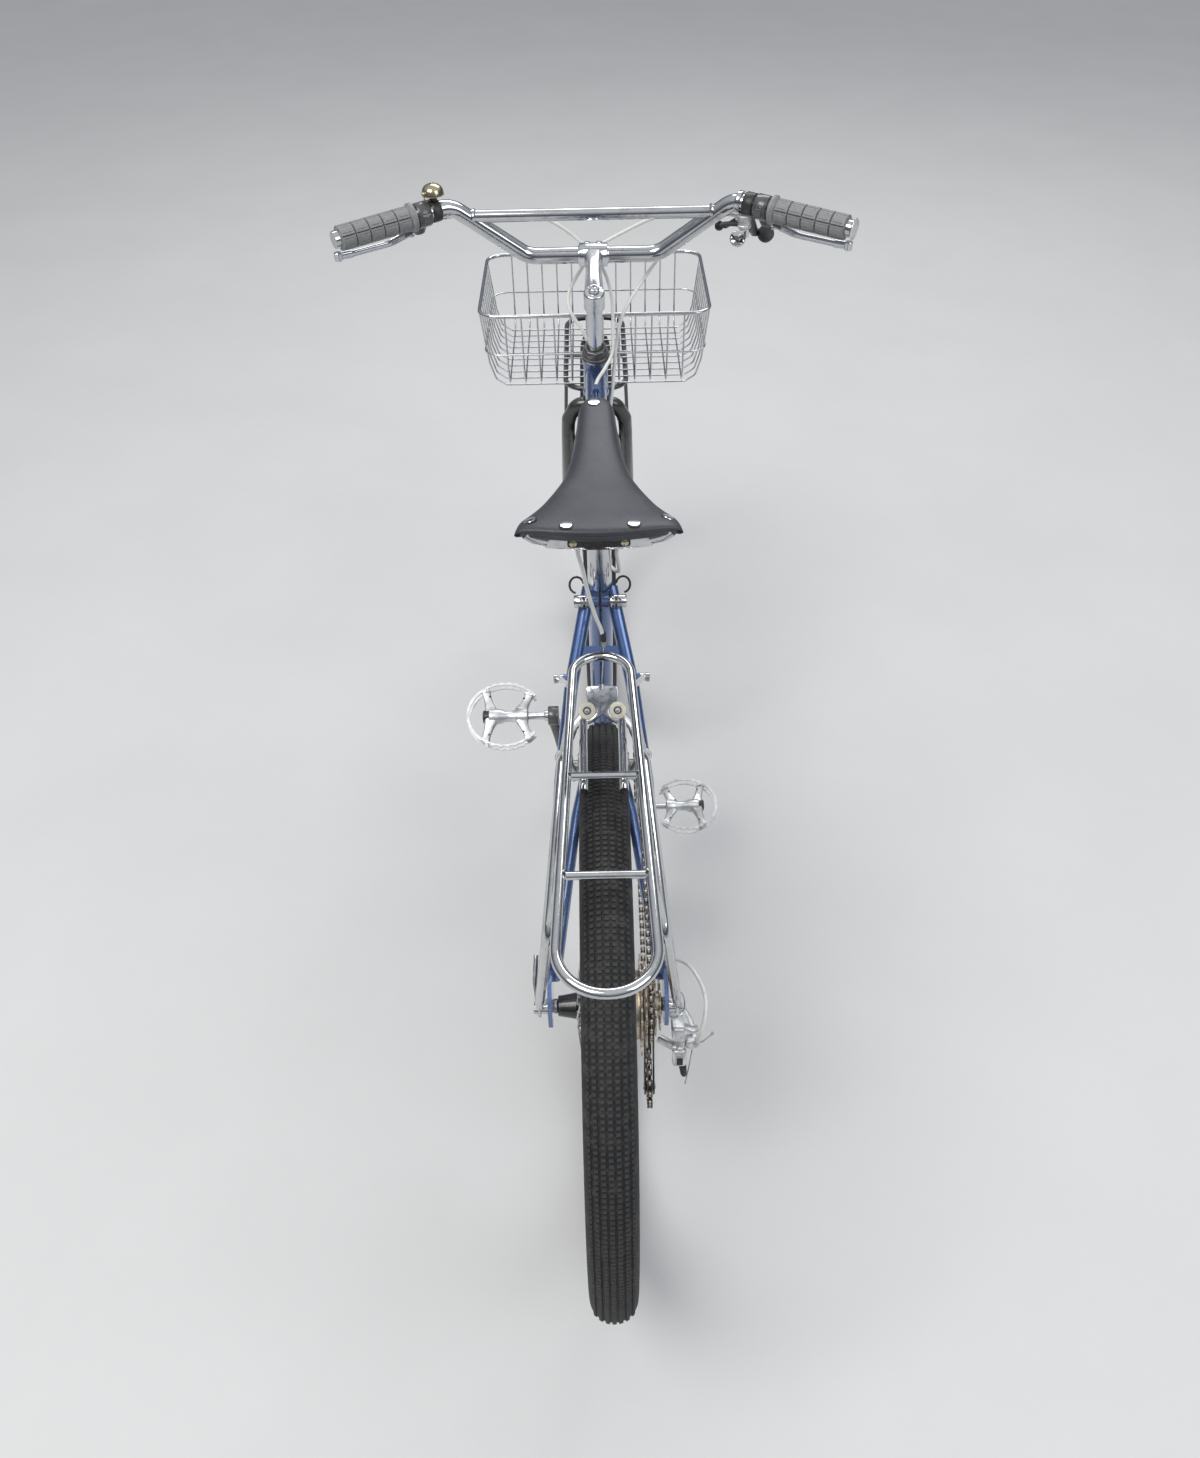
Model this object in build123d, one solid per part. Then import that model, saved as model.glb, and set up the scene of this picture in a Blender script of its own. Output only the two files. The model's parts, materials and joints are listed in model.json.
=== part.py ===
from build123d import *
import os
from math import acos, atan2, cos, hypot, pi, radians, sin, sqrt

# A small-framed bicycle with 26 inch wheels, high handlebar, wire basket and rear rack.
# Millimetres. +Y is forward, +X is the bicycle's right, +Z is up.
# While it is modelled, Y = 0 is the rear axle, Z = 0 is the ground and X = 0 is the middle plane.
# At the end every piece is moved so that the origin is the rider's seat point.

# Driving sizes: wheels
RIM_R = 286.0
RIM_DEPTH = 22.0
RIM_W = 28.0
RIM_WALL = 2.0
WELL_DEPTH = 7.0
TYRE_W = 51.2
TYRE_H = 47.0
TREAD_W = 24.0
SPOKE_COUNT = 36
SPOKE_W = 1.8
REAR_HUB_W = 130.0
FRONT_HUB_W = 100.0
FLANGE_R = 24.0
AXLE_R = 5.0
WHEEL_R = RIM_R + TYRE_H
RIM_INNER_R = RIM_R - RIM_DEPTH

# Driving sizes: frame
BRACKET_Y = 440.0
BRACKET_Z = 290.0
FRONT_AXLE_Y = 1017.0
SEAT_ANGLE = radians(72.0)
HEAD_ANGLE = radians(70.0)
FORK_RAKE = 45.0
SEAT_TUBE_L = 455.0
TOP_TUBE_R = 14.3
DOWN_TUBE_R = 15.9
CHAINSTAY_R = 7.5
SEATSTAY_R = 8.0
TUBE_WALL = 1.0
STAY_DROP = 10.0
DROPOUT_T = 5.0

# Driving sizes: stations along the steering axis, from the foot of the front axle
CROWN_S = 362.0
RACE_S = 377.0
HEAD_LOW_S = 388.0
HEAD_HIGH_S = 458.0
LOCKNUT_S = 468.3
STEM_LOW_S = 480.0
STEM_TOP_S = 574.0
QUILL_R = 11.1
QUILL_IN = 65.0

# Driving sizes: handlebar
CLAMP_S = 554.72
CLAMP_AHEAD = 96.85
BAR_R = 11.1
BAR_LOW_X = 91.0
BAR_BEND_X = 191.0
BAR_END_X = 336.0
BAR_RISE = 78.0
BAR_SETBACK = 25.0
GRIP_SWEEP = 91.0
GRIP_DROP = 8.5
GRIP_L = 118.0
GRIP_R = 15.8

# Driving sizes: drive
CHAIN_X = REAR_HUB_W / 2 - 16.0
PITCH = 12.7
CHAIN_H = 8.2
CHAIN_W = 6.6
RING_TEETH = 36
COG_TEETH = (28, 24, 20, 17, 14)
COG_STEP = 5.5
COG_T = 2.0
CHAIN_TEETH = 20
RING_T = 2.5
PULLEY_TEETH = 11
GUIDE_PULLEY = (10.0, WHEEL_R - 71.0)
TENSION_PULLEY = (-24.0, WHEEL_R - 145.0)
CRANK_L = 172.0
CRANK_ANGLE = radians(111.5)
PEDAL_X = 131.0
PEDAL_W = 103.0
PEDAL_L = 95.0
PEDAL_TILT_LEFT = 24.0
PEDAL_TILT_RIGHT = 14.0

# Driving sizes: rear rack
DECK_RISE = 34.0
DECK_FRONT_Y = 199.0
DECK_REAR_Y = -228.0
DECK_FRONT_R = 31.0
DECK_REAR_R = 43.0
RACK_R = 5.0
RAIL_DROP = 60.0

# Driving sizes: basket and front rack
BASKET_H = 122.0
BASKET_MID_H = 62.0
BASKET_BACK = 143.0
BASKET_L = 236.0
BASKET_W = 340.0
FLOOR_W = 290.0
FLOOR_BACK = 130.0
FLOOR_L = 210.0
WIRE_W = 2.6
FRONT_RACK_DROP = 2.0
FRONT_RACK_X = 47.0
FRONT_RACK_R = 4.0
FRONT_RACK_BACK = 129.0
FRONT_RACK_L = 258.0
FRONT_LEG_BACK = 15.0
FRONT_LEG_R = 4.0
FORK_END_T = 5.0
CROWN_R = 13.0

# Driving sizes: saddle and seat post
SEAT_HEIGHT = 884.0
SEAT_BACK = 22.395
RAIL_BED = 32.0
RAIL_X = 20.0
RAIL_R = 3.5
LEATHER_T = 4.5
SEATPOST_R = 13.3
SEATPOST_IN = 103.0

# Driving sizes: cable housings
HOUSING_R = 2.5

# Small gap that keeps curved neighbours apart
GAP = 0.3

# Heights and places that follow
DECK_Z = 2 * WHEEL_R + DECK_RISE
RAIL_Z = DECK_Z - RAIL_DROP
FRONT_RACK_Z = 2 * WHEEL_R - FRONT_RACK_DROP
FRONT_RACK_NEAR_Y = FRONT_AXLE_Y - FRONT_RACK_BACK
FRONT_RACK_FAR_Y = FRONT_RACK_NEAR_Y + FRONT_RACK_L
BASKET_RIM_Z = FRONT_RACK_Z + BASKET_H
BASKET_MID_Z = FRONT_RACK_Z + BASKET_MID_H
BASKET_NEAR_Y = FRONT_AXLE_Y - BASKET_BACK
FLOOR_NEAR_Y = FRONT_AXLE_Y - FLOOR_BACK
FLOOR_FAR_Y = FLOOR_NEAR_Y + FLOOR_L
BASKET_FLOOR_Z = FRONT_RACK_Z + FRONT_RACK_R + GAP + WIRE_W / 2
RAIL_BED_Z = SEAT_HEIGHT - RAIL_BED
POST_CLAMP_Y = BRACKET_Y - (RAIL_BED_Z - BRACKET_Z) / sin(SEAT_ANGLE) * cos(SEAT_ANGLE)
SEAT_POINT = (0.0, POST_CLAMP_Y - SEAT_BACK, SEAT_HEIGHT)


# Places

SEAT_UP = Vector(0, -cos(SEAT_ANGLE), sin(SEAT_ANGLE))
SEAT_FORWARD = Vector(0, sin(SEAT_ANGLE), cos(SEAT_ANGLE))


def seat(s, forward=0.0):
    """Point s above the bottom bracket along the seat tube, and forward of its axis."""
    return Vector(0, BRACKET_Y, BRACKET_Z) + SEAT_UP * s + SEAT_FORWARD * forward


HEAD_UP = Vector(0, -cos(HEAD_ANGLE), sin(HEAD_ANGLE))
HEAD_FORWARD = Vector(0, sin(HEAD_ANGLE), cos(HEAD_ANGLE))
HEAD_FOOT = Vector(0, FRONT_AXLE_Y, WHEEL_R) - HEAD_FORWARD * FORK_RAKE


def head(s, x=0.0, forward=0.0):
    """Point s along the steering axis, x to the right and forward of it."""
    return HEAD_FOOT + HEAD_UP * s + HEAD_FORWARD * forward + Vector(x, 0, 0)


STAY_TOP = seat(SEAT_TUBE_L - STAY_DROP, 2.6)
STAY_FOOT = Vector(0, 20, WHEEL_R + 37)
STAY_UP = (STAY_TOP - STAY_FOOT).normalized()
STAY_BACK = Vector(0, -STAY_UP.Z, STAY_UP.Y)
BRAKE_PIVOT = STAY_FOOT + STAY_UP * 254.85 + STAY_BACK * 17.62
PIVOT_X = 46.0
FRONT_PIVOT = head(268, 0, 18)


def brake(x, up, back=0.0):
    """Point of the rear brake: x to the side, up along the seat stays and back from the arms."""
    return BRAKE_PIVOT + STAY_UP * up + STAY_BACK * back + Vector(x, 0, 0)


# Shapes

def rod(a, b, r, sides=0):
    """Round rod, or prism with so many sides, from a to b."""
    a, b = Vector(a), Vector(b)
    section = RegularPolygon(r, sides) if sides else Circle(r)
    return extrude(Plane(origin=a, z_dir=b - a) * section, (b - a).length)


def pipe(a, b, r, bore):
    """Round sleeve from a to b with a through bore."""
    a, b = Vector(a), Vector(b)
    return extrude(Plane(origin=a, z_dir=b - a) * (Circle(r) - Circle(bore)), (b - a).length)


def bent(points, bend, closed=False):
    """Wire through the points with an arc of radius bend at each corner."""
    points = [Vector(p) for p in points]
    count = len(points)
    corners = range(count) if closed else range(1, count - 1)
    cut = {}
    for i in corners:
        here, before, after = points[i], points[i - 1], points[(i + 1) % count]
        u, v = (before - here).normalized(), (after - here).normalized()
        half = acos(max(-1.0, min(1.0, u.dot(v)))) / 2
        back = bend / max(1e-6, sin(half)) * cos(half)
        middle = here + (u + v).normalized() * (bend / sin(half) - bend)
        cut[i] = (here + u * back, middle, here + v * back)
    edges = []
    for i in range(count if closed else count - 1):
        j = (i + 1) % count
        start = cut[i][2] if i in cut else points[i]
        end = cut[j][0] if j in cut else points[j]
        if (end - start).length > 1e-4:
            edges.append(Line(start, end))
        if j in cut:
            edges.append(ThreePointArc(*cut[j]))
    return Wire(edges)


def tube(points, r, bend, closed=False):
    """Round tube or wire along the points with rounded corners."""
    path = bent(points, bend, closed)
    section = Plane(origin=path @ 0, z_dir=path % 0) * Circle(r)
    return sweep(section, path=path)


def prism(points, r, sides=4, turn=45.0):
    """Wire with a section of few sides and mitred corners."""
    points = [Vector(p) for p in points]
    across = points[1] - points[0]
    plane = Plane(origin=points[0], x_dir=side_of(across), z_dir=across)
    section = plane * Rot(0, 0, turn) * RegularPolygon(r, sides)
    return sweep(section, path=Polyline(*points), transition=Transition.RIGHT)


def side_of(direction):
    """A direction square to the given one, level where that can be."""
    level = Vector(direction.Y, -direction.X, 0)
    return level.normalized() if level.length > 1e-6 else Vector(1, 0, 0)


def plate(outline, x_from, x_to):
    """Flat plate with its outline in the Y-Z plane."""
    x_low, x_high = min(x_from, x_to), max(x_from, x_to)
    return extrude(Plane.YZ.offset(x_low) * make_face(Polyline(*outline, close=True)), x_high - x_low)


def disc(y, z, x_from, x_to, r, bore=0.0):
    """Disc or ring about an axis across the bicycle."""
    x_low, x_high = min(x_from, x_to), max(x_from, x_to)
    shape = Circle(r) - Circle(bore) if bore else Circle(r)
    return extrude(Plane.YZ.offset(x_low) * Pos(y, z) * shape, x_high - x_low)


def turned(y, z, profile):
    """Body of revolution about the cross axis at y, z. The profile is (x, radius)."""
    face = make_face(Polyline(*[(x, r) for x, r in profile], close=True))
    axis = Axis((0, 0, 0), (1, 0, 0))
    return Pos(0, y, z) * revolve(face, axis)


def block(centre, size, up=None, side=None):
    """Box with its centre given, its third side along up."""
    plane = Plane(origin=centre, x_dir=side or (1, 0, 0), z_dir=up or (0, 0, 1))
    return plane * Box(*size)


def joined(shapes):
    """One shape from shapes that meet."""
    first, *rest = shapes
    return first + rest


def strap_face(a, b, ra, rb):
    """Outline of a bar with round ends of two radii about two points of a plane."""
    span = hypot(b[0] - a[0], b[1] - a[1])
    along = atan2(b[1] - a[1], b[0] - a[0])
    open_angle = acos((ra - rb) / span)

    def rim(centre, r, turn):
        return (centre[0] + r * cos(along + turn), centre[1] + r * sin(along + turn))

    a_left, a_right, a_end = rim(a, ra, open_angle), rim(a, ra, -open_angle), rim(a, ra, pi)
    b_left, b_right, b_end = rim(b, rb, open_angle), rim(b, rb, -open_angle), rim(b, rb, 0)
    outline = [Line(a_right, b_right), ThreePointArc(b_right, b_end, b_left),
               Line(b_left, a_left), ThreePointArc(a_left, a_end, a_right)]
    return make_face(Wire(outline))


def strap(a, b, ra, rb, normal, thick):
    """Flat bar with round ends about a and b, with half its thickness on each side of them."""
    a, b = Vector(a), Vector(b)
    plane = Plane(origin=a - normal.normalized() * (thick / 2), x_dir=b - a, z_dir=normal)
    return extrude(plane * strap_face((0, 0), ((b - a).length, 0), ra, rb), thick)


def link_plate(a, b, ra, rb, x_from, x_to):
    """Upright plate with round ends about two points of the Y-Z plane."""
    x_low, x_high = min(x_from, x_to), max(x_from, x_to)
    return extrude(Plane.YZ.offset(x_low) * strap_face(a, b, ra, rb), x_high - x_low)


def spun(start, along, profile):
    """Body of revolution about a line from start. The profile is (distance, radius)."""
    start, along = Vector(start), Vector(along).normalized()
    plane = Plane(origin=start, x_dir=along, z_dir=side_of(along))
    return revolve(plane * make_face(Polyline(*profile, close=True)), Axis(start, along))


NODES = {}


def add(name, *shapes):
    """Keeps a named piece, made of one or more solids that don't touch."""
    solids = [solid for shape in shapes for solid in shape.solids()]
    NODES[name] = Compound(children=solids) if len(solids) > 1 else solids[0]


# Frame: tubes joined without lugs, plate dropouts, a stay bridge and a chain hanger

def chainstay(side):
    foot_x = REAR_HUB_W / 2 - 1.5
    points = [(side * 26, BRACKET_Y - 12, BRACKET_Z + 1.2), (side * 39.5, BRACKET_Y - 109, BRACKET_Z + 10.7),
              (side * foot_x, 42, WHEEL_R - 4)]
    return tube(points, CHAINSTAY_R, 120)


STAY_STATIONS = ((0.0, 12.5), (0.25, 35.0), (0.5, 49.5), (1.0, REAR_HUB_W / 2 - 1.5))


def stay_point(side, t):
    """Point on a seat stay's centre line, t from its top to its foot."""
    for (t0, x0), (t1, x1) in zip(STAY_STATIONS, STAY_STATIONS[1:]):
        if t <= t1:
            x = x0 + (x1 - x0) * (t - t0) / (t1 - t0)
            break
    return STAY_TOP + (STAY_FOOT - STAY_TOP) * t + Vector(side * x, 0, 0)


def dropout(side):
    """Plate that holds the axle and its eyelets. The right one carries the derailleur's hanger."""
    outline = [(52, -14), (52, 4), (32, 47), (12, 45), (-20, 23), (-22, -11), (-12, -20), (10, -22), (24, -15)]
    if side > 0:
        outline[7:8] = [(-2, -35), (12, -41), (24, -33)]
    outline = [(y, WHEEL_R + z) for y, z in outline]
    inner = side * REAR_HUB_W / 2
    middle = inner + side * DROPOUT_T / 2
    shape = plate(outline, inner, inner + side * DROPOUT_T)
    slot_size = (DROPOUT_T + 2, 2 * AXLE_R + 0.4, 40)
    slot = block((middle, 0, WHEEL_R - 20), slot_size)
    if side > 0:
        slot = block((middle, 14.6, WHEEL_R - 10.95), slot_size, up=(0, 0.8, -0.6))
    hole = disc(0, WHEEL_R, inner - side, inner + side * (DROPOUT_T + 1), AXLE_R + 0.2)
    shape -= slot
    shape -= hole
    for y, z in (RACK_EYELET, FREE_EYELET):
        shape -= disc(y, z, inner - side, inner + side * (DROPOUT_T + 1), EYELET_R)
    return shape


EYELET_R = 2.1
RACK_EYELET = (-14.0, WHEEL_R + 15.0)
FREE_EYELET = (-14.0, WHEEL_R - 8.0)
BRIDGE_T = 0.17
RACK_TAB_T = 0.232


BINDER_X = 10.0
BINDER_BOLT_R = 3.8
BINDER = seat(SEAT_TUBE_L - 7) - Vector(0, TOP_TUBE_R + 8, 3)
PIVOT_BOSS_R = 6.0


def make_frame():
    bridge_x = stay_point(1, BRIDGE_T).X
    bridge = block(stay_point(0, BRIDGE_T) + STAY_BACK * 2, (2 * bridge_x, 5, 18), up=STAY_UP)
    pieces = [
        rod(seat(0), seat(SEAT_TUBE_L), TOP_TUBE_R),
        rod(seat(SEAT_TUBE_L - 25), head(TOP_TUBE_S), TOP_TUBE_R),
        rod(seat(0), head(DOWN_TUBE_S), DOWN_TUBE_R),
        rod(head(HEAD_LOW_S), head(HEAD_HIGH_S), 18),
        rod(head(HEAD_LOW_S), head(HEAD_LOW_S + 8), 19.5),
        rod(head(HEAD_HIGH_S - 8), head(HEAD_HIGH_S), 19.5),
        disc(BRACKET_Y, BRACKET_Z, -34, 34, 20),
        bridge,
    ]
    for side in (-1, 1):
        pieces.append(chainstay(side))
        pieces.append(tube([stay_point(side, t) for t, _ in STAY_STATIONS], SEATSTAY_R, 90))
        pieces.append(dropout(side))
        pieces.append(rod(brake(side * PIVOT_X, 0, -15), brake(side * PIVOT_X, 0, -5.5), PIVOT_BOSS_R))
        tab = stay_point(side, RACK_TAB_T)
        pieces.append(rod(tab, tab + Vector(side * 10.5, 0, 0), 5))
        ear_x = Vector(side * (BINDER_X - GAP + SLOT_W / 2) / 2, 0, 0)
        ear_root = seat(SEAT_TUBE_L - 7, -TOP_TUBE_R + 2)
        ear_t = BINDER_X - GAP - SLOT_W / 2
        pieces.append(strap(ear_root + ear_x, BINDER + ear_x, 9, 7.5, Vector(1, 0, 0), ear_t))
    for stop, way in ((TOP_STOP, TOP_DIR), (DOWN_STOP, DOWN_DIR)):
        pieces.append(rod(stop, stop + way * 12, 4.5))
    shape = joined(pieces)
    bore_from = SEAT_TUBE_L - SEATPOST_IN - 7
    shape -= rod(seat(bore_from), seat(SEAT_TUBE_L + 5), SEATPOST_R + GAP)
    shape -= block(seat(SEAT_TUBE_L - 12, -TOP_TUBE_R - 8), (SLOT_W, 30, 44), up=SEAT_UP)
    shape -= disc(BINDER.Y, BINDER.Z, -BINDER_X, BINDER_X, BINDER_BOLT_R + GAP)
    shape -= rod(head(HEAD_LOW_S - 5), head(HEAD_HIGH_S + 5), 15)
    shape -= disc(BRACKET_Y, BRACKET_Z, -40, 40, 17)
    return shape


SLOT_W = 3.0


def make_headset_cups():
    """Lower and upper cup, pressed on the ends of the head tube, each flared towards its bearing."""
    low = HEAD_LOW_S - RACE_S - GAP
    high = LOCKNUT_S - GAP - HEAD_HIGH_S
    bore = CUP_BORE_R
    low_profile = [(0, bore), (0, 19), (1.5, 20), (low - 4, 20), (low, 18.6), (low, bore)]
    high_profile = [(0, bore), (0, 18.6), (4, 20), (high - 1.5, 20), (high, 19), (high, bore)]
    return spun(head(RACE_S + GAP), HEAD_UP, low_profile), spun(head(HEAD_HIGH_S), HEAD_UP, high_profile)


CUP_BORE_R = 13.6


def make_bracket_cups():
    left = disc(BRACKET_Y, BRACKET_Z, -34, -38, 19, 9)
    right = disc(BRACKET_Y, BRACKET_Z, 34, 38, 19, 9)
    return left, right


# Seat: post with its clamp, quick release, rails and leather cover

def saddle(x, y, z):
    """Point measured from the rider's seat point."""
    return Vector(SEAT_POINT) + Vector(x, y, z)


def rail_points(side):
    bed = -RAIL_BED
    return [saddle(side * 24, -61, -18), saddle(side * RAIL_X, -21, bed), saddle(side * RAIL_X, 49, bed),
            saddle(side * 11, 103, bed + 3), saddle(side * 6, 159, -15)]


def make_seatpost():
    """Post with a cross head whose grooves hold the rails."""
    post_top = (RAIL_BED_Z - 1 - BRACKET_Z) / sin(SEAT_ANGLE)
    head_x = RAIL_X + RAIL_R + 2
    pieces = [rod(seat(SEAT_TUBE_L - SEATPOST_IN), seat(post_top), SEATPOST_R),
              disc(POST_CLAMP_Y, RAIL_BED_Z - 1, -head_x, head_x, 11)]
    shape = joined(pieces)
    for side in (-1, 1):
        near = Vector(side * RAIL_X, POST_CLAMP_Y - 31, RAIL_BED_Z)
        shape -= rod(near, near + Vector(0, 56, 0), RAIL_R + 0.2)
    return shape


def make_seat_binder():
    """Cross bolt behind the seat tube with a barrel nut on each side of the split ears."""
    barrels = []
    for side in (-1, 1):
        start = BINDER + Vector(side * BINDER_X, 0, 0)
        profile = [(0, 0), (0, 6.5), (14, 6.5), (15, 5.6), (17, 5.6), (18, 6.5), (20, 6), (20, 0)]
        barrels.append(spun(start, (side, 0, 0), profile))
    bolt = rod(BINDER - Vector(BINDER_X + 1, 0, 0), BINDER + Vector(BINDER_X + 1, 0, 0), BINDER_BOLT_R)
    return joined([bolt, *barrels])


def make_saddle_rails():
    """Two rails, the nose piece and the rear plate that carries the cover."""
    rails = [tube(rail_points(side), RAIL_R, 18) for side in (-1, 1)]
    nose = block(saddle(0, 160, -15), (17, 9, 11))
    rear_plane = Plane(origin=saddle(0, -61, -19), x_dir=(1, 0, 0), z_dir=(0, -1, 0))
    rear = extrude(rear_plane * RectangleRounded(104, 17, 6), 4)
    return joined([*rails, nose, rear])


# Saddle cover sections from the seat point: place, half width, crown height, skirt depth
SADDLE_SECTIONS = (
    (-81.0, 81.0, 6.0, 26.0),
    (-57.0, 71.0, 5.0, 36.0),
    (-28.0, 53.0, 1.0, 44.0),
    (28.0, 33.0, -2.0, 50.0),
    (95.0, 23.5, -1.0, 46.0),
    (153.0, 18.5, 3.0, 36.0),
    (184.0, 13.0, 4.0, 24.0),
)


def saddle_arch(half, crown, skirt, inset):
    """Cross section's curve from one skirt's lower edge over the crown to the other."""
    w = half - inset
    z = crown - inset
    right = [(w, crown - skirt), (w * 0.97, crown - skirt * 0.5), (w * 0.8, z - skirt * 0.16),
             (w * 0.4, z - skirt * 0.02)]
    return right + [(0.0, z)] + [(-x, high) for x, high in reversed(right)]


def make_saddle_cover():
    """Leather of even thickness drawn over smooth sections, open below."""
    faces = []
    for y, half, crown, skirt in SADDLE_SECTIONS:
        outer = [saddle(x, y, z) for x, z in saddle_arch(half, crown, skirt, 0)]
        inner = [saddle(x, y, z) for x, z in saddle_arch(half, crown, skirt, LEATHER_T)]
        edges = [Spline(*outer), Line(outer[-1], inner[-1]), Spline(*inner[::-1]), Line(inner[0], outer[0])]
        faces.append(make_face(Wire(edges)))
    return loft(faces)


# Rear rack: bent round tube, hoop deck, side rails with legs, struts to the seat stays

def make_rear_rack():
    front_c, rear_c = DECK_FRONT_Y - DECK_FRONT_R, DECK_REAR_Y + DECK_REAR_R
    lean = (DECK_REAR_R - DECK_FRONT_R) / (front_c - rear_c)
    level = sqrt(1 - lean * lean)

    def on(centre, r, side):
        return Vector(side * r * level, centre + r * lean, DECK_Z)

    hoop = Wire([
        Line(on(rear_c, DECK_REAR_R, 1), on(front_c, DECK_FRONT_R, 1)),
        ThreePointArc(on(front_c, DECK_FRONT_R, 1), (0, DECK_FRONT_Y, DECK_Z), on(front_c, DECK_FRONT_R, -1)),
        Line(on(front_c, DECK_FRONT_R, -1), on(rear_c, DECK_REAR_R, -1)),
        ThreePointArc(on(rear_c, DECK_REAR_R, -1), (0, DECK_REAR_Y, DECK_Z), on(rear_c, DECK_REAR_R, 1)),
    ])
    pieces = [sweep(Plane(origin=hoop @ 0, z_dir=hoop % 0) * Circle(RACK_R), path=hoop)]
    for y, half in ((18.0, 35.5), (-105.0, 39.5)):
        pieces.append(rod((-half, y, DECK_Z), (half, y, DECK_Z), 4))
    for side in (-1, 1):
        pieces.append(tube(side_rail_points(side), RACK_R, 22))
        pieces.append(rod((side * 33.5, 108, DECK_Z), (side * 43.3, 108, RAIL_Z), 3.5))
        pieces.append(rod((side * 41.5, -112, DECK_Z), (side * 52.2, -112, RAIL_Z), 3.5))
        tab = stay_point(side, RACK_TAB_T) + Vector(side * 15.6, 0, 0)
        pieces.append(rod((side * 33.5, 150, DECK_Z), tab, 3.5))
        pieces.append(rod(tab - Vector(side * 5, 0, 0), tab + Vector(side * 9, 0, 0), 5))
        foot_x = REAR_HUB_W / 2 + DROPOUT_T
        pieces.append(disc(*RACK_EYELET, side * (foot_x + 0.1), side * (foot_x + 16), 5))
        pieces.append(rod((side * 19.5, 24, DECK_Z - 7), (side * 20.5, 128, DECK_Z - 32), 4.5))
        pieces.append(rod((side * 19.5, 4, DECK_Z - 7), (side * 19.5, 30, DECK_Z - 7), 4.5))
    return joined(pieces)


def side_rail_points(side):
    """Front leg, lower rail and rear leg of one side, both legs ending at the eyelet."""
    foot_x = REAR_HUB_W / 2 + DROPOUT_T + 9
    eye_y, eye_z = RACK_EYELET
    return [(side * foot_x, eye_y + 4, eye_z + 2), (side * 42.5, 128, RAIL_Z), (side * 53, -128, RAIL_Z),
            (side * foot_x, eye_y - 4, eye_z)]


# Rear brake: a cam plate drawn up between two rollers spreads the long arms

ROLLER_X = 17.3
ROLLER_UP = 52.0
ROLLER_R = 9.8
ROLLER_BACK = 5.5
ROLLER_T = 3.5
PAD_X = 19.5
PAD_T = 9.0
PAD_UP = -22.0
FRONT_PAD_UP = -2.0


def pad_clamp(side, at, up):
    """Cylinder on the arm's end that holds the pad's back."""
    face = PAD_X + PAD_T / 2 + GAP
    return rod(at(side * face, up), at(side * (face + 11), up), 6.5)


ARM_T = 8.0
PIVOT_EYE_R = 8.0


def brake_arm(side, at, tip_x, tip_up, elbow_x, elbow_up, pivot_x):
    """Forged arm: slender tip, elbow, pivot eye and a short reach to the pad."""
    normal = at(0, 0, 1) - at(0, 0, 0)
    tip, elbow = at(side * tip_x, tip_up), at(side * elbow_x, elbow_up)
    pivot = at(side * pivot_x, 0)
    pad_root = at(side * 30, PAD_UP if tip_x == ROLLER_X else FRONT_PAD_UP)
    upper = strap(elbow, tip, 6.0, 4.5, normal, ARM_T)
    lower = strap(pivot, elbow, PIVOT_EYE_R, 6.0, normal, ARM_T)
    reach = strap(pivot, pad_root, PIVOT_EYE_R, 6.0, normal, ARM_T)
    eye = rod(at(side * pivot_x, 0, -5), at(side * pivot_x, 0, 7), PIVOT_EYE_R)
    return joined([lower, upper, reach, eye])


def make_rear_brake_arms():
    arms = []
    for side in (-1, 1):
        pin = rod(brake(side * ROLLER_X, ROLLER_UP, -4), brake(side * ROLLER_X, ROLLER_UP, 10), 3)
        arm = brake_arm(side, brake, ROLLER_X, ROLLER_UP, 37, ROLLER_UP - 22, PIVOT_X + 1)
        arms.append(joined([arm, pin, pad_clamp(side, brake, PAD_UP)]))
    return arms


def make_rear_brake_rollers():
    rollers = []
    for side in (-1, 1):
        near = brake(side * ROLLER_X, ROLLER_UP, ROLLER_BACK)
        rollers.append(pipe(near, near + STAY_BACK * ROLLER_T, ROLLER_R, 3.1))
    return rollers


def make_rear_brake_cam():
    """Hourglass plate that the wire draws up between the rollers."""
    plane = Plane(origin=brake(0, 0, ROLLER_BACK + 0.25), x_dir=(1, 0, 0), z_dir=STAY_BACK)
    left = Polyline((-17, 77), (-13, 64), (-13, 45), (-21, 39), (-15, 35))
    right = Polyline((15, 35), (21, 39), (13, 45), (13, 64), (17, 77))
    top = ThreePointArc((17, 77), (0, 83), (-17, 77))
    foot = ThreePointArc((-15, 35), (0, 46), (15, 35))
    face = make_face(Wire([*top.edges(), *left.edges(), *foot.edges(), *right.edges()]))
    for side in (-1, 1):
        face -= Pos(side * ROLLER_X, ROLLER_UP) * Circle(ROLLER_R + GAP)
    bolt = rod(brake(0, 71, ROLLER_BACK + 3), brake(0, 71, ROLLER_BACK + 7), 5)
    return joined([extrude(plane * face, 3), bolt])


def make_brake_pads(at, up, tangent):
    pads = []
    for side in (-1, 1):
        centre = at(side * PAD_X, up)
        pads.append(block(centre, (PAD_T, 11, 46), up=tangent))
    return pads


def fork_brake(x, up, back=0.0):
    """Point of the front brake: x to the side, up along the fork and forward of the arms."""
    return FRONT_PIVOT + HEAD_UP * up + HEAD_FORWARD * back + Vector(x, 0, 0)


def make_front_brake_arms():
    arms = []
    for side in (-1, 1):
        arm = brake_arm(side, fork_brake, 23, 66, 39, 44, 48)
        arms.append(joined([arm, pad_clamp(side, fork_brake, FRONT_PAD_UP)]))
    return arms


# Rear derailleur: knuckle under the hanger, outer plates, cage with two pulleys

HANGER = (12.0, WHEEL_R - 31.0)


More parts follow.
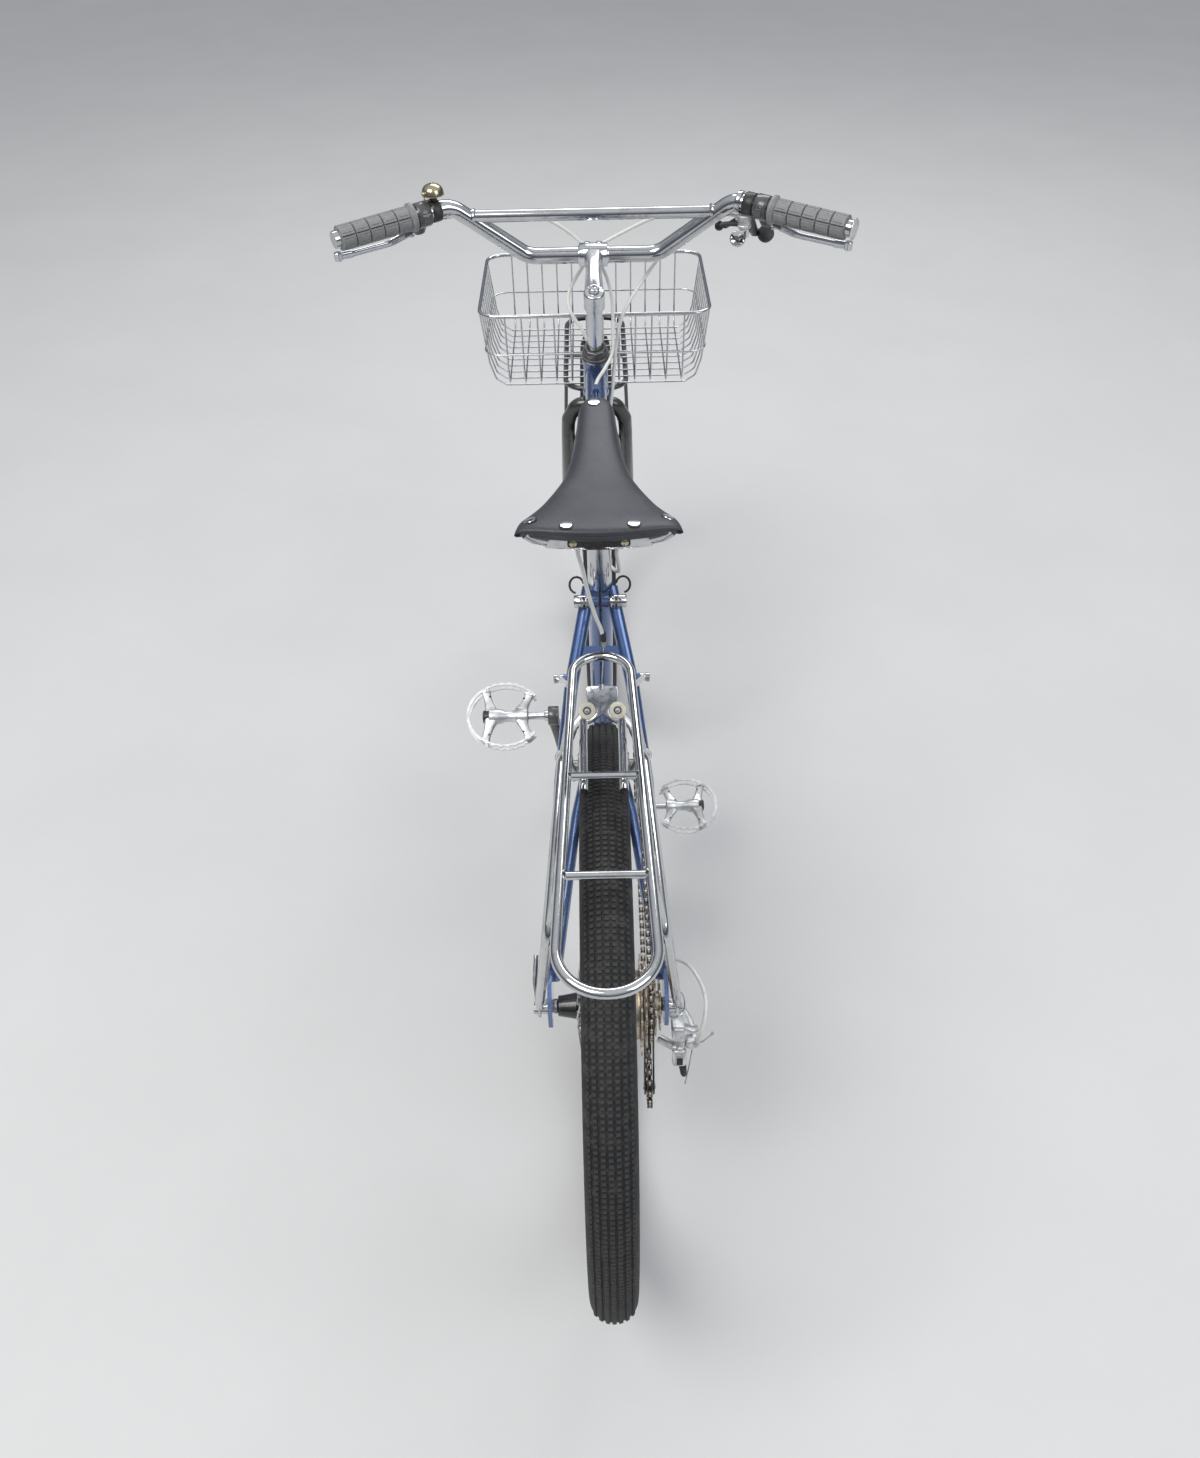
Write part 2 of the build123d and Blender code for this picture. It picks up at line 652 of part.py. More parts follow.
def make_rear_derailleur():
    """Knuckle on the hanger, boxy outer body, cable arm, lower knuckle and its pivot to the cage."""
    y, z = HANGER
    knuckle_x = REAR_HUB_W / 2 + DROPOUT_T + 0.2
    body_plane = Plane(origin=(84, y - 14, z - 12), x_dir=(1, 0, 0), z_dir=(0, 0.35, 0.9))
    arm_plane = Plane(origin=(96, y - 22, z - 24), x_dir=(1, 0, 0), z_dir=(0, 0.35, 0.9))
    return joined([
        disc(y, z, knuckle_x, 84, 9),
        extrude(body_plane * RectangleRounded(15, 46, 5), 10, both=True),
        extrude(arm_plane * RectangleRounded(16, 26, 5), 6, both=True),
        rod((84, y - 30, z - 26), (84, y - 30, z - 44), 8),
        rod((86, y - 30, z - 40), (CHAIN_X + 8.2, y - 12, z - 40), 5.5),
    ])


CAGE_T = 2.0
CAGE_R = 11.0


def make_derailleur_cage():
    """Two side plates with an open window, two pulleys and their bolts."""
    pieces = []
    (gy, gz), (ty, tz) = GUIDE_PULLEY, TENSION_PULLEY

    def between_pulleys(t):
        return (gy + (ty - gy) * t, gz + (tz - gz) * t)

    for x in (CHAIN_X - 4.5 - CAGE_T, CHAIN_X + 4.5):
        side_plate = link_plate(GUIDE_PULLEY, TENSION_PULLEY, CAGE_R, CAGE_R - 1, x, x + CAGE_T)
        side_plate -= link_plate(between_pulleys(0.33), between_pulleys(0.67), 5, 4, x - 1, x + CAGE_T + 1)
        pieces.append(side_plate)
    for y, z in (GUIDE_PULLEY, TENSION_PULLEY):
        pieces.append(disc(y, z, CHAIN_X - 4.5 - CAGE_T, CHAIN_X + 4.5 + CAGE_T, 3))
        pieces.append(disc(y, z, CHAIN_X - 4.6, CHAIN_X + 4.6, 5.5))
        pieces.append(disc(y, z, CHAIN_X - 1.5, CHAIN_X + 1.5, tooth_root(PULLEY_TEETH)))
    return joined(pieces)


# Chain: one loop over ring, cog and both pulleys

def pitch_radius(teeth):
    return PITCH / (2 * sin(pi / teeth))


def tooth_root(teeth):
    """Radius that stays just inside the chain's plates."""
    return pitch_radius(teeth) - CHAIN_H / 2 - GAP - 0.2


CHAIN_WHEELS = (
    ((BRACKET_Y, BRACKET_Z), RING_TEETH, 1),
    ((0.0, WHEEL_R), CHAIN_TEETH, 1),
    (GUIDE_PULLEY, PULLEY_TEETH, -1),
    (TENSION_PULLEY, PULLEY_TEETH, 1),
)


def belt(offset):
    """Closed wire round the chain wheels, offset outward from the chain's middle."""
    wheels = [(c, pitch_radius(teeth) + turn * offset, turn) for c, teeth, turn in CHAIN_WHEELS]
    count = len(wheels)
    leave, arrive = {}, {}
    for i in range(count):
        j = (i + 1) % count
        (cy, cz), r, turn = wheels[i]
        (dy, dz), q, other = wheels[j]
        span = hypot(dy - cy, dz - cz)
        angle = atan2(dz - cz, dy - cy) - acos((turn * r - other * q) / span)
        ny, nz = cos(angle), sin(angle)
        leave[i] = (cy + turn * r * ny, cz + turn * r * nz)
        arrive[j] = (dy + other * q * ny, dz + other * q * nz)
    edges = []
    for i, ((cy, cz), r, turn) in enumerate(wheels):
        start = atan2(arrive[i][1] - cz, arrive[i][0] - cy)
        end = atan2(leave[i][1] - cz, leave[i][0] - cy)
        sweep_angle = (turn * (end - start)) % (2 * pi)
        mid = start + turn * sweep_angle / 2
        edges.append(ThreePointArc(arrive[i], (cy + r * cos(mid), cz + r * sin(mid)), leave[i]))
        edges.append(Line(leave[i], arrive[(i + 1) % count]))
    return Wire(edges)


def make_chain():
    face = make_face(belt(CHAIN_H / 2)) - make_face(belt(-CHAIN_H / 2))
    return extrude(Plane.YZ.offset(CHAIN_X - CHAIN_W / 2) * face, CHAIN_W)


# Crankset: spindle, arms, spider, ring and pedal axles

def crank_point(side, reach, x):
    """Point reach out along a crank. The left crank is the upper one."""
    sign = -side
    y = BRACKET_Y + sign * reach * cos(CRANK_ANGLE)
    return Vector(side * x, y, BRACKET_Z + sign * reach * sin(CRANK_ANGLE))


def crank_arm(side, root_x, tip_x):
    out = crank_point(side, 1, 0) - crank_point(side, 0, 0)
    sections = []
    for reach, x, wide in ((0, root_x, 30.0), (CRANK_L, tip_x, 21.0)):
        plane = Plane(origin=crank_point(side, reach, x), x_dir=(1, 0, 0), z_dir=out)
        sections.append(plane * Rectangle(14, wide))
    arm = loft(sections, ruled=True)
    hub = disc(BRACKET_Y, BRACKET_Z, side * (root_x - 8), side * (root_x + 7), 17)
    eye_y, eye_z = crank_point(side, CRANK_L, 0).Y, crank_point(side, CRANK_L, 0).Z
    eye = disc(eye_y, eye_z, side * (tip_x - 7), side * (tip_x + 7), 13)
    hole = disc(eye_y, eye_z, side * (tip_x - 9), side * (tip_x + 9), PEDAL_AXLE_R)
    seat_hole = disc(BRACKET_Y, BRACKET_Z, side * 30, side * root_x, SPINDLE_R + GAP)
    return joined([arm, hub, eye]) - hole - seat_hole


PEDAL_AXLE_R = 5.0
SPIDER_R = 60.0
SPIDER_T = 4.0
SPINDLE_R = 8.5
CRANK_ROOT_LEFT = 53.0
CRANK_ROOT_RIGHT = CHAIN_X + 13.0


def make_crank_right():
    """Right arm with a five-armed spider that carries the ring."""
    inner_x = CHAIN_X + RING_T / 2
    centre = disc(BRACKET_Y, BRACKET_Z, inner_x, inner_x + 5.75, 20)
    pieces = [crank_arm(1, CRANK_ROOT_RIGHT, CRANK_TIP_X), centre]
    for i in range(5):
        angle = CRANK_ANGLE + pi + (i + 0.5) * 2 * pi / 5
        tip = (BRACKET_Y + SPIDER_R * cos(angle), BRACKET_Z + SPIDER_R * sin(angle))
        pieces.append(link_plate((BRACKET_Y, BRACKET_Z), tip, 9, 6.5, inner_x, inner_x + SPIDER_T))
    return joined(pieces) - disc(BRACKET_Y, BRACKET_Z, 30, CRANK_ROOT_RIGHT, SPINDLE_R + GAP)


CRANK_TIP_X = 66.0


def make_chainring():
    return disc(BRACKET_Y, BRACKET_Z, CHAIN_X - RING_T / 2, CHAIN_X + RING_T / 2, tooth_root(RING_TEETH), 52)


def make_crank_spindle():
    return disc(BRACKET_Y, BRACKET_Z, GAP - CRANK_ROOT_LEFT, CRANK_ROOT_RIGHT - GAP, SPINDLE_R)


def make_pedal_axles():
    axles = []
    for side in (-1, 1):
        centre = crank_point(side, CRANK_L, 0)
        axles.append(disc(centre.Y, centre.Z, side * 60, side * (PEDAL_X + PEDAL_AXLE_IN), PEDAL_AXLE_R - 0.02))
    return axles


PEDAL_H = 16.5
PEDAL_RING_W = 4.0
PEDAL_RING_T = 2.5
PEDAL_TEETH = 15


def pedal_ring():
    """Thin oval ring whose front and rear arcs are cut into grip teeth."""
    a, b = PEDAL_W / 2, PEDAL_L / 2
    outline = Ellipse(a, b) - Ellipse(a - PEDAL_RING_W, b - PEDAL_RING_W)
    for end in (90, -90):
        for i in range(PEDAL_TEETH):
            t = radians(end + (i - (PEDAL_TEETH - 1) / 2) * 4.6)
            outline -= Pos(a * cos(t), b * sin(t)) * Circle(1.4)
    return extrude(outline, PEDAL_RING_T)


def make_pedal(side, tilt):
    """Cage of two toothed rings, open at the crank, on four posts and crossed arms round a barrel."""
    a, b = PEDAL_W / 2, PEDAL_L / 2
    half_h = PEDAL_H / 2
    ring = pedal_ring()
    pieces = [Pos(0, 0, half_h - PEDAL_RING_T) * ring, Pos(0, 0, -half_h) * ring]
    mouth = Pos(-side * a, 0, 0) * Box(24, 2 * b * 0.56, PEDAL_H + 2)
    cage = [piece - mouth for piece in pieces]
    arms = []
    for degrees_round in (47, 133, -47, -133):
        t = radians(degrees_round)
        post = Vector((a - 3) * cos(t), (b - 3) * sin(t), 0)
        arms.append(rod(post - Vector(0, 0, half_h - 0.5), post + Vector(0, 0, half_h - 0.5), 3.5))
        arms.append(strap((0, 0, 0), post, 7, 3.5, Vector(0, 0, 1), 6))
    barrel = spun((-side * (a - 3.5), 0, 0), (side, 0, 0), [
        (0, 0), (0, 9.5), (12, 9.5), (20, 8), (2 * a - 20, 8), (2 * a - 17, 11.5), (2 * a - 5, 11),
        (2 * a - 4, 10), (2 * a - 4, 0),
    ])
    bore_end = side * (PEDAL_AXLE_IN + 2)
    shape = joined([*cage, *arms, barrel]) - rod((-side * PEDAL_W, 0, 0), (bore_end, 0, 0), PEDAL_AXLE_R + 0.05)
    centre = crank_point(side, CRANK_L, PEDAL_X)
    return Pos(*centre) * Rot(tilt, 0, 0) * shape


PEDAL_AXLE_IN = 34.0


# Wheels: tyre, rim, crossed spokes and hub shell

BEAD_X = RIM_W / 2 - RIM_WALL - GAP
WELL_R = RIM_R - WELL_DEPTH


def mirrored(right):
    """Closed profile from its right half, which runs from the inside outwards."""
    return [(-x, r) for x, r in right] + right[::-1]


TYRE_PROFILE = mirrored([
    (BEAD_X, WELL_R + GAP), (BEAD_X, RIM_R + 0.6), (TYRE_W / 2, RIM_R + 0.235 * TYRE_H),
    (TYRE_W / 2, RIM_R + 0.64 * TYRE_H), (TREAD_W / 2, WHEEL_R),
])
RIM_PROFILE = mirrored([
    (RIM_W / 2 - 6, RIM_INNER_R), (RIM_W / 2, RIM_INNER_R + 7), (RIM_W / 2, RIM_R),
    (RIM_W / 2 - RIM_WALL, RIM_R), (RIM_W / 2 - RIM_WALL, WELL_R),
])


def make_spokes(y, flange_left, flange_right, flange_r):
    """Straight square spokes, alternately ahead of and behind their hub hole."""
    solids = []
    per_side = SPOKE_COUNT // 2
    for side, flange_x, start in ((-1, flange_left, 0.0), (1, flange_right, pi / per_side)):
        for k in range(per_side):
            lean = 1 if k % 2 else -1
            a = start + 2 * pi * k / per_side
            b = a + lean * radians(58)
            x = flange_x + lean * 2.4
            root = Vector(x, y + flange_r * cos(a), WHEEL_R + flange_r * sin(a))
            tip = Vector(side * 3.5, y + RIM_INNER_R * cos(b), WHEEL_R + RIM_INNER_R * sin(b))
            along = (tip - root).normalized()
            solids.append(rod(root, tip - along * 1.2, SPOKE_W / 2 * sqrt(2), 4))
    return solids


def make_hub(y, left_end, right_end, flange_left, flange_right, flange_r, barrel_r):
    profile = [
        (left_end, 12), (left_end, AXLE_R + GAP), (right_end, AXLE_R + GAP), (right_end, 12),
        (flange_right + 1.2, barrel_r), (flange_right + 1.2, flange_r), (flange_right - 1.2, flange_r),
        (flange_right - 1.2, barrel_r), (flange_left + 1.2, barrel_r), (flange_left + 1.2, flange_r),
        (flange_left - 1.2, flange_r), (flange_left - 1.2, barrel_r),
    ]
    return turned(y, WHEEL_R, profile)


REAR_FLANGES = (31.0 - REAR_HUB_W / 2, REAR_HUB_W / 2 - 41.0)
FRONT_FLANGES = (17.0 - FRONT_HUB_W / 2, FRONT_HUB_W / 2 - 17.0)
FREEWHEEL_IN = REAR_HUB_W / 2 - 34.0
FREEWHEEL_OUT = REAR_HUB_W / 2 - 2.5


def cog_outline(teeth):
    """Outline of a cog with blunt teeth and open roots, about the wheel's axis."""
    middle, points = pitch_radius(teeth), []
    for i in range(teeth):
        for share, rise in ((-0.12, 1.5), (0.12, 1.5), (0.34, -3.4), (0.66, -3.4)):
            angle = 2 * pi * (i + share) / teeth
            points.append(((middle + rise) * cos(angle), WHEEL_R + (middle + rise) * sin(angle)))
    return points


def make_freewheel():
    """Five cogs on a stepped carrier. The one that carries the chain ends under its plates."""
    carrier_profile = [(FREEWHEEL_IN, AXLE_R + GAP)]
    plates = []
    for i, teeth in enumerate(COG_TEETH):
        x = CHAIN_X + (i - COG_TEETH.index(CHAIN_TEETH)) * COG_STEP
        carrier = max(15.0, pitch_radius(teeth) - 14)
        start = FREEWHEEL_IN if i == 0 else x - COG_STEP + COG_T / 2
        carrier_profile += [(start, carrier), (x + COG_T / 2, carrier)]
        if teeth == CHAIN_TEETH:
            plates.append(disc(0, WHEEL_R, x - COG_T / 2, x + COG_T / 2, tooth_root(teeth)))
        else:
            plates.append(plate(cog_outline(teeth), x - COG_T / 2, x + COG_T / 2))
    carrier_profile += [(FREEWHEEL_OUT, carrier), (FREEWHEEL_OUT, AXLE_R + GAP)]
    core = turned(0, WHEEL_R, carrier_profile)
    return joined([core, *plates]) - disc(0, WHEEL_R, FREEWHEEL_IN - 1, FREEWHEEL_OUT + 1, AXLE_R + GAP)


def make_axle(y, half, nut_in_left, nut_in_right, plate_t):
    """Axle with its inner lock nuts, outer nuts and a release lever on the left."""
    outer = half + plate_t
    left = [disc(y, WHEEL_R, -half, -nut_in_left, 8.5), disc(y, WHEEL_R, -outer - 0.1, -outer - 9, 9)]
    right = [disc(y, WHEEL_R, nut_in_right, half, 8.5), disc(y, WHEEL_R, outer + 0.1, outer + 9, 9)]
    core = disc(y, WHEEL_R, -outer - 10, outer + 10, AXLE_R)
    lever_x = -outer - 9
    lever = prism([(lever_x - 4, y, WHEEL_R), (lever_x - 7, y + 22, WHEEL_R + 14),
                   (lever_x - 5, y + 50, WHEEL_R + 34)], 5)
    head_disc = disc(y, WHEEL_R, lever_x - 8, lever_x, 7)
    return joined([core, *left, *right, head_disc, lever])


# Fork, stem, bar and what is fixed to them

# Fork blade stations: along the steering axis, to the side, forward, radius
BLADE_STATIONS = (
    (365.0, 43.5, 0.0, 10.5),
    (300.0, 45.0, 0.0, 10.5),
    (220.0, 47.5, 1.5, 10.2),
    (140.0, 50.0, 7.0, 9.2),
    (70.0, 52.2, 21.0, 8.0),
    (16.0, 53.5, 40.0, 7.2),
)


def fork_blade(side):
    """Blade that tapers and curves forward towards its end."""
    centres = [head(s, side * x, forward) for s, x, forward, _ in BLADE_STATIONS]
    sections = []
    for i, (_, _, _, r) in enumerate(BLADE_STATIONS):
        before, after = centres[max(0, i - 1)], centres[min(len(centres) - 1, i + 1)]
        sections.append(Plane(origin=centres[i], x_dir=(1, 0, 0), z_dir=after - before) * Circle(r))
    return loft(sections)


def make_fork():
    pieces = [
        rod(head(CROWN_S - 6), head(LOCKNUT_S + 8), STEERER_R),
        rod(head(CROWN_S + 4), head(RACE_S), 18),
        rod(head(CROWN_S, -46), head(CROWN_S, 46), CROWN_R),
        rod(CROWN_STOP, CROWN_STOP + CROWN_STOP_WAY * 10, 4),
        rod(CROWN_STOP + CROWN_STOP_WAY * 8, head(CROWN_S), 4),
    ]
    for side in (-1, 1):
        inner = side * FRONT_HUB_W / 2
        tip = Vector(inner + side * FORK_END_T / 2, FRONT_AXLE_Y, WHEEL_R)
        lower = head(24, tip.X, 39)
        pieces.append(fork_blade(side))
        pieces.append(disc(FRONT_AXLE_Y, WHEEL_R, inner, inner + side * FORK_END_T, 13))
        pieces.append(strap(tip, lower, 12, 8, Vector(1, 0, 0), FORK_END_T))
        pieces.append(rod(head(268, side * 48, 0), head(268, side * 48, 12.5), PIVOT_BOSS_R))
    shape = joined(pieces) - rod(head(CROWN_S + 10), head(LOCKNUT_S + 10), QUILL_R + GAP)
    for side in (-1, 1):
        inner = side * FRONT_HUB_W / 2
        shape -= disc(FRONT_AXLE_Y, WHEEL_R, inner - side * 8, inner + side * 14, AXLE_R + 0.2)
        shape -= disc(FRONT_AXLE_Y, WHEEL_R, inner + side * FORK_END_T, inner + side * 20, 13)
        shape -= disc(FRONT_AXLE_Y, WHEEL_R, inner, inner - side * 20, 16)
    return shape


STEERER_R = 12.7


def make_headset_nuts():
    """Adjusting race, keyed washer and six-sided lock nut on top of the steerer."""
    nut_from = LOCKNUT_S + 6.2
    race_profile = [(0, 0), (0, 18.5), (3.5, 18.5), (5, 17), (5, 18), (6.2, 18), (6.2, 0)]
    race = spun(head(LOCKNUT_S), HEAD_UP, race_profile)
    nut = rod(head(nut_from), head(STEM_LOW_S), 17.8, 6)
    return joined([race, nut]) - rod(head(LOCKNUT_S - 2), head(STEM_LOW_S + 2), STEERER_R + 0.02)


CLAMP = head(CLAMP_S, 0, CLAMP_AHEAD)
STEM_CLAMP_W = 40.0
STEM_CLAMP_R = 16.0


def make_stem():
    """Forged stem: quill, collar with its top bolt, tapering arm and a split bar clamp with two studs."""
    top = head(STEM_TOP_S)
    half_w = STEM_CLAMP_W / 2
    clamp = rod(CLAMP - Vector(half_w, 0, 0), CLAMP + Vector(half_w, 0, 0), STEM_CLAMP_R)
    root, tip = top - HEAD_UP * 10, CLAMP - Vector(0, 8, 0)
    along = tip - root
    section = []
    for share, r in ((0.0, 14.5), (0.5, 11.0), (1.0, 11.5)):
        section.append(Plane(origin=root + along * share, x_dir=(1, 0, 0), z_dir=along) * Circle(r))
    quill = rod(head(STEM_LOW_S - QUILL_IN), top, QUILL_R)
    collar = spun(top - HEAD_UP * 24, HEAD_UP, [(0, 0), (0, 14.5), (25, 14.5), (28, 12), (28, 0)])
    top_bolt = rod(top + HEAD_UP * 3, top + HEAD_UP * 8, 6.5, 6)
    pieces = [quill, collar, loft(section), clamp, top_bolt]
    for side in (-1, 1):
        stud = CLAMP + Vector(side * 9, 13, 0)
        pieces.append(rod(stud - Vector(0, 0, 14), stud + Vector(0, 0, 13), 5.5))
        pieces.append(rod(stud - Vector(0, 0, 15), stud + Vector(0, 0, 16.5), 3.2))
    shape = joined(pieces)
    shape -= rod(CLAMP - Vector(30, 0, 0), CLAMP + Vector(30, 0, 0), BAR_R + 0.05)
    return shape - block(CLAMP + Vector(0, 20, 0), (STEM_CLAMP_W + 2, 24, 1.6))


def bar_points(side):
    """Low centre, top bend and end of one side of the bar."""
    return [CLAMP + Vector(side * BAR_LOW_X, 0, 0),
            CLAMP + Vector(side * BAR_BEND_X, -BAR_SETBACK, BAR_RISE),
            CLAMP + Vector(side * BAR_END_X, -BAR_SETBACK - GRIP_SWEEP, BAR_RISE - GRIP_DROP)]


def on_grip(side, s):
    """Point on the grip stretch of the bar, s out from the top bend."""
    _, bend, end = bar_points(side)
    return bend + (end - bend).normalized() * s


def grip_dir(side):
    _, bend, end = bar_points(side)
    return (end - bend).normalized()


def ahead(side):
    """Level direction square to the grip, pointing forward."""
    along = grip_dir(side)
    return Vector(-side * along.Y, side * along.X, 0).normalized()


GRIP_FROM = 56.0


def make_handlebar():
    points = bar_points(-1)[::-1] + bar_points(1)
    bar = tube(points, BAR_R, 38)
    low, bend, _ = bar_points(1)
    joint = low + (bend - low) * 0.8
    crossbar = rod((-joint.X, joint.Y, joint.Z), joint, 8)
    return joined([bar, crossbar])


def make_grip(side):
    """Soft sleeve with a flange, ring grooves and a bulged end over the bar's end."""
    start, along = on_grip(side, GRIP_FROM), grip_dir(side)
    bore, bar_in = BAR_R + 0.1, (bar_points(side)[2] - start).length + GAP
    profile = [(0, bore), (0, 18.5), (5, 18.5), (6.5, GRIP_R)]
    for i in range(GRIP_GROOVES):
        x = 16 + i * (GRIP_L - 30) / GRIP_GROOVES
        profile += [(x, GRIP_R), (x + 0.8, GRIP_R - 1.3), (x + 2.2, GRIP_R - 1.3), (x + 3, GRIP_R)]
    profile += [(GRIP_L - 7, GRIP_R), (GRIP_L - 5, 17.5), (GRIP_L - 1, 17.5), (GRIP_L, 16.5), (GRIP_L, 0),
                (bar_in, 0), (bar_in, bore)]
    return spun(start, along, profile)


GRIP_GROOVES = 6
BARREL_L = 16.0


def lever_outlet(side):
    """Where the brake housing meets the lever's barrel."""
    return on_grip(side, 43) + ahead(side) * 20 - Vector(0, 0, 18) - grip_dir(side) * (BARREL_L + GAP)


def shifter_outlet():
    """Where the shift housing meets the shifter's ferrule."""
    return on_grip(1, 22.5) + ahead(1) * SHIFTER_BACK - Vector(0, 0, 20) + shifter_way() * (20 + GAP)


def shifter_way():
    """Direction in which the shift housing leaves."""
    return ahead(1) * 0.6 - grip_dir(1) * 0.8


SHIFTER_BACK = -12.0


def make_brake_lever(side):
    """Split bar clamp, forged perch with its cable barrel and a long blade under the grip."""
    along, forward, down = grip_dir(side), ahead(side), Vector(0, 0, -1)
    at = on_grip(side, 34)
    out = (forward * 20 + down * 18).normalized()
    across = along.cross(out)
    middle = at + along * 9
    perch = middle + forward * 20 + down * 18
    pivot = perch + along * 12 + out * 5
    knee = pivot + along * 30 + out * 12
    tip = pivot + along * 106 + out * 6
    pieces = [
        rod(at, at + along * 18, 16),
        strap(middle, perch, 9, 8.5, across, 13),
        strap(perch, pivot, 8.5, 7.5, across, 13),
        strap(pivot, knee, 6.5, 5.5, across, 9),
        strap(knee, tip, 5.5, 5.0, across, 8),
        Pos(*tip) * Sphere(6.2),
        rod(pivot - across * 8.5, pivot + across * 8.5, 4),
        spun(perch, -along, [(0, 0), (0, 5), (9, 5), (9, 4.5), (BARREL_L, 4.5), (BARREL_L, 0)]),
    ]
    return joined(pieces) - rod(at - along * 5, at + along * 25, BAR_R + 0.05)


def make_shifter():
    """Thumb shifter: clamp, drum with its cap, ratchet screw, paddle and cable ferrule."""
    along, forward, down = grip_dir(1), ahead(1), Vector(0, 0, -1)
    at = on_grip(1, 17.5)
    mount = at + along * 5 + forward * SHIFTER_BACK + down * 14
    drum = spun(mount - down * 4, down, [(0, 0), (0, 8.5), (2, 10), (13, 10), (13, 11.5), (16, 11.5), (16, 0)])
    ferrule = rod(mount + down * 6, mount + down * 6 + shifter_way() * 20, 4.2)
    thumb_root = mount + down * 8
    thumb_tip = thumb_root - along * 26 - forward * 14 + down * 2
    pieces = [
        rod(at, at + along * 14, 15),
        drum,
        ferrule,
        strap(thumb_root, thumb_tip, 8, 5.5, down, 4.5),
        spun(thumb_tip + down * 2, down, [(0, 0), (0, 5.5), (3, 4.5), (4, 0)]),
    ]
    return joined(pieces) - rod(at - along * 5, at + along * 25, BAR_R + 0.05)


BELL_R = 15.0
BELL_H = 14.0


def make_bell():
    """Clamp, neck and a round dome whose inside is hollow."""
    along = grip_dir(-1)
    at = on_grip(-1, 18)
    middle = at + along * 6
    up = Vector(0, 0, 1)
    clamp = rod(at, at + along * 12, 14)
    base = middle + up * 21
    neck = rod(middle + up * 10, base + up * (BELL_H - 1), 4)

    shell = [(BELL_R - 1.5, 0), (BELL_R, 0), (BELL_R - 0.6, 5), (12, 9.6), (8, 12.7), (3.5, BELL_H),
             (0, BELL_H + 0.2), (0, BELL_H - 1.4), (3.3, BELL_H - 1.6), (7.2, 11.3), (10.8, 8.5), (BELL_R - 2, 4.6)]
    dome = spun(base, up, [(z, r) for r, z in shell])
    return joined([clamp, neck, dome]) - rod(at - along * 5, at + along * 20, BAR_R + 0.05)


def make_front_rack():
    """Tube hoop under the basket with struts to the crown and legs to the fork ends."""
    near, far, x, z = FRONT_RACK_NEAR_Y, FRONT_RACK_FAR_Y, FRONT_RACK_X, FRONT_RACK_Z
    corners = [(x, near, z), (x, far, z), (-x, far, z), (-x, near, z)]
    pieces = [tube(corners, FRONT_RACK_R, 32, closed=True)]
    leg_x = FRONT_HUB_W / 2 + FORK_END_T + FRONT_LEG_R + GAP
    for side in (-1, 1):
        crown = head(CROWN_S, side * 14)
        start = Vector(side * 14, near, z)
        pieces.append(rod(start, crown + (start - crown).normalized() * (CROWN_R + GAP), 3))
        foot = Vector(side * leg_x, FRONT_AXLE_Y + 4, WHEEL_R + 22)
        pieces.append(rod((side * x, FRONT_AXLE_Y - FRONT_LEG_BACK, z), foot, 3))
        pieces.append(rod(foot, (side * leg_x, FRONT_AXLE_Y + 2, WHEEL_R + 10), FRONT_LEG_R))
    return joined(pieces)


# Basket: a thick rim, two layers of U-shaped wires and a middle ring

BASKET_CROSS = 10
BASKET_LONG_X = (12.0, 36.0, 60.0, 84.0, 108.0, 132.0)
CORNER = 24.0


def ring(half_x, near, far, z, r, sides):
    """Level wire ring with bevelled corners."""
    c, k = CORNER * 0.3, CORNER
    right = [(half_x - k, near), (half_x - c, near + c), (half_x, near + k), (half_x, far - k),
             (half_x - c, far - c), (half_x - k, far)]
    outline = right + [(-x, y) for x, y in reversed(right)]
    start = (0, near)
    points = [(x, y, z) for x, y in [start, *outline, start]]
    return prism(points, r, sides, 180 / sides)


def make_basket():
    """Cross wires and long wires, each bent as a U, a thick rim and a middle ring."""
    near, far = BASKET_NEAR_Y, BASKET_NEAR_Y + BASKET_L
    half = BASKET_W / 2
    w = WIRE_W / 2 * sqrt(2)
    low = BASKET_FLOOR_Z
    high = low + WIRE_W + GAP
    wall_z = FRONT_RACK_Z + 42
    wires = []
    for i in range(BASKET_CROSS):
        y = FLOOR_NEAR_Y + 8 + (FLOOR_L - 16) * i / (BASKET_CROSS - 1)
        side = [(half, BASKET_RIM_Z), (half - 9, wall_z), (FLOOR_W / 2 + 8, wall_z - 26),
                (FLOOR_W / 2 - 8, low)]
        wires.append(prism([(x, y, z) for x, z in side] + [(-x, y, z) for x, z in reversed(side)], w))
    for x in [s * x for x in BASKET_LONG_X for s in (-1, 1)]:
        front = [(near, BASKET_RIM_Z), (near + 7, wall_z), (FLOOR_NEAR_Y + 1, wall_z - 22),
                 (FLOOR_NEAR_Y + 10, high)]
        back = [(far, BASKET_RIM_Z), (far - 6, wall_z), (FLOOR_FAR_Y + 2, wall_z - 22),
                (FLOOR_FAR_Y - 10, high)]
        wires.append(prism([(x, y, z) for y, z in front + back[::-1]], w))
    rim = ring(half, near, far, BASKET_RIM_Z, 2.6, 8)
    t = (BASKET_RIM_Z - BASKET_MID_Z) / (BASKET_RIM_Z - wall_z)
    out = WIRE_W + GAP
    middle = ring(half - 9 * t + out, near + 7 * t - out, far - 6 * t + out, BASKET_MID_Z, w, 4)
    return joined([rim, *wires]), middle


# Cable housings

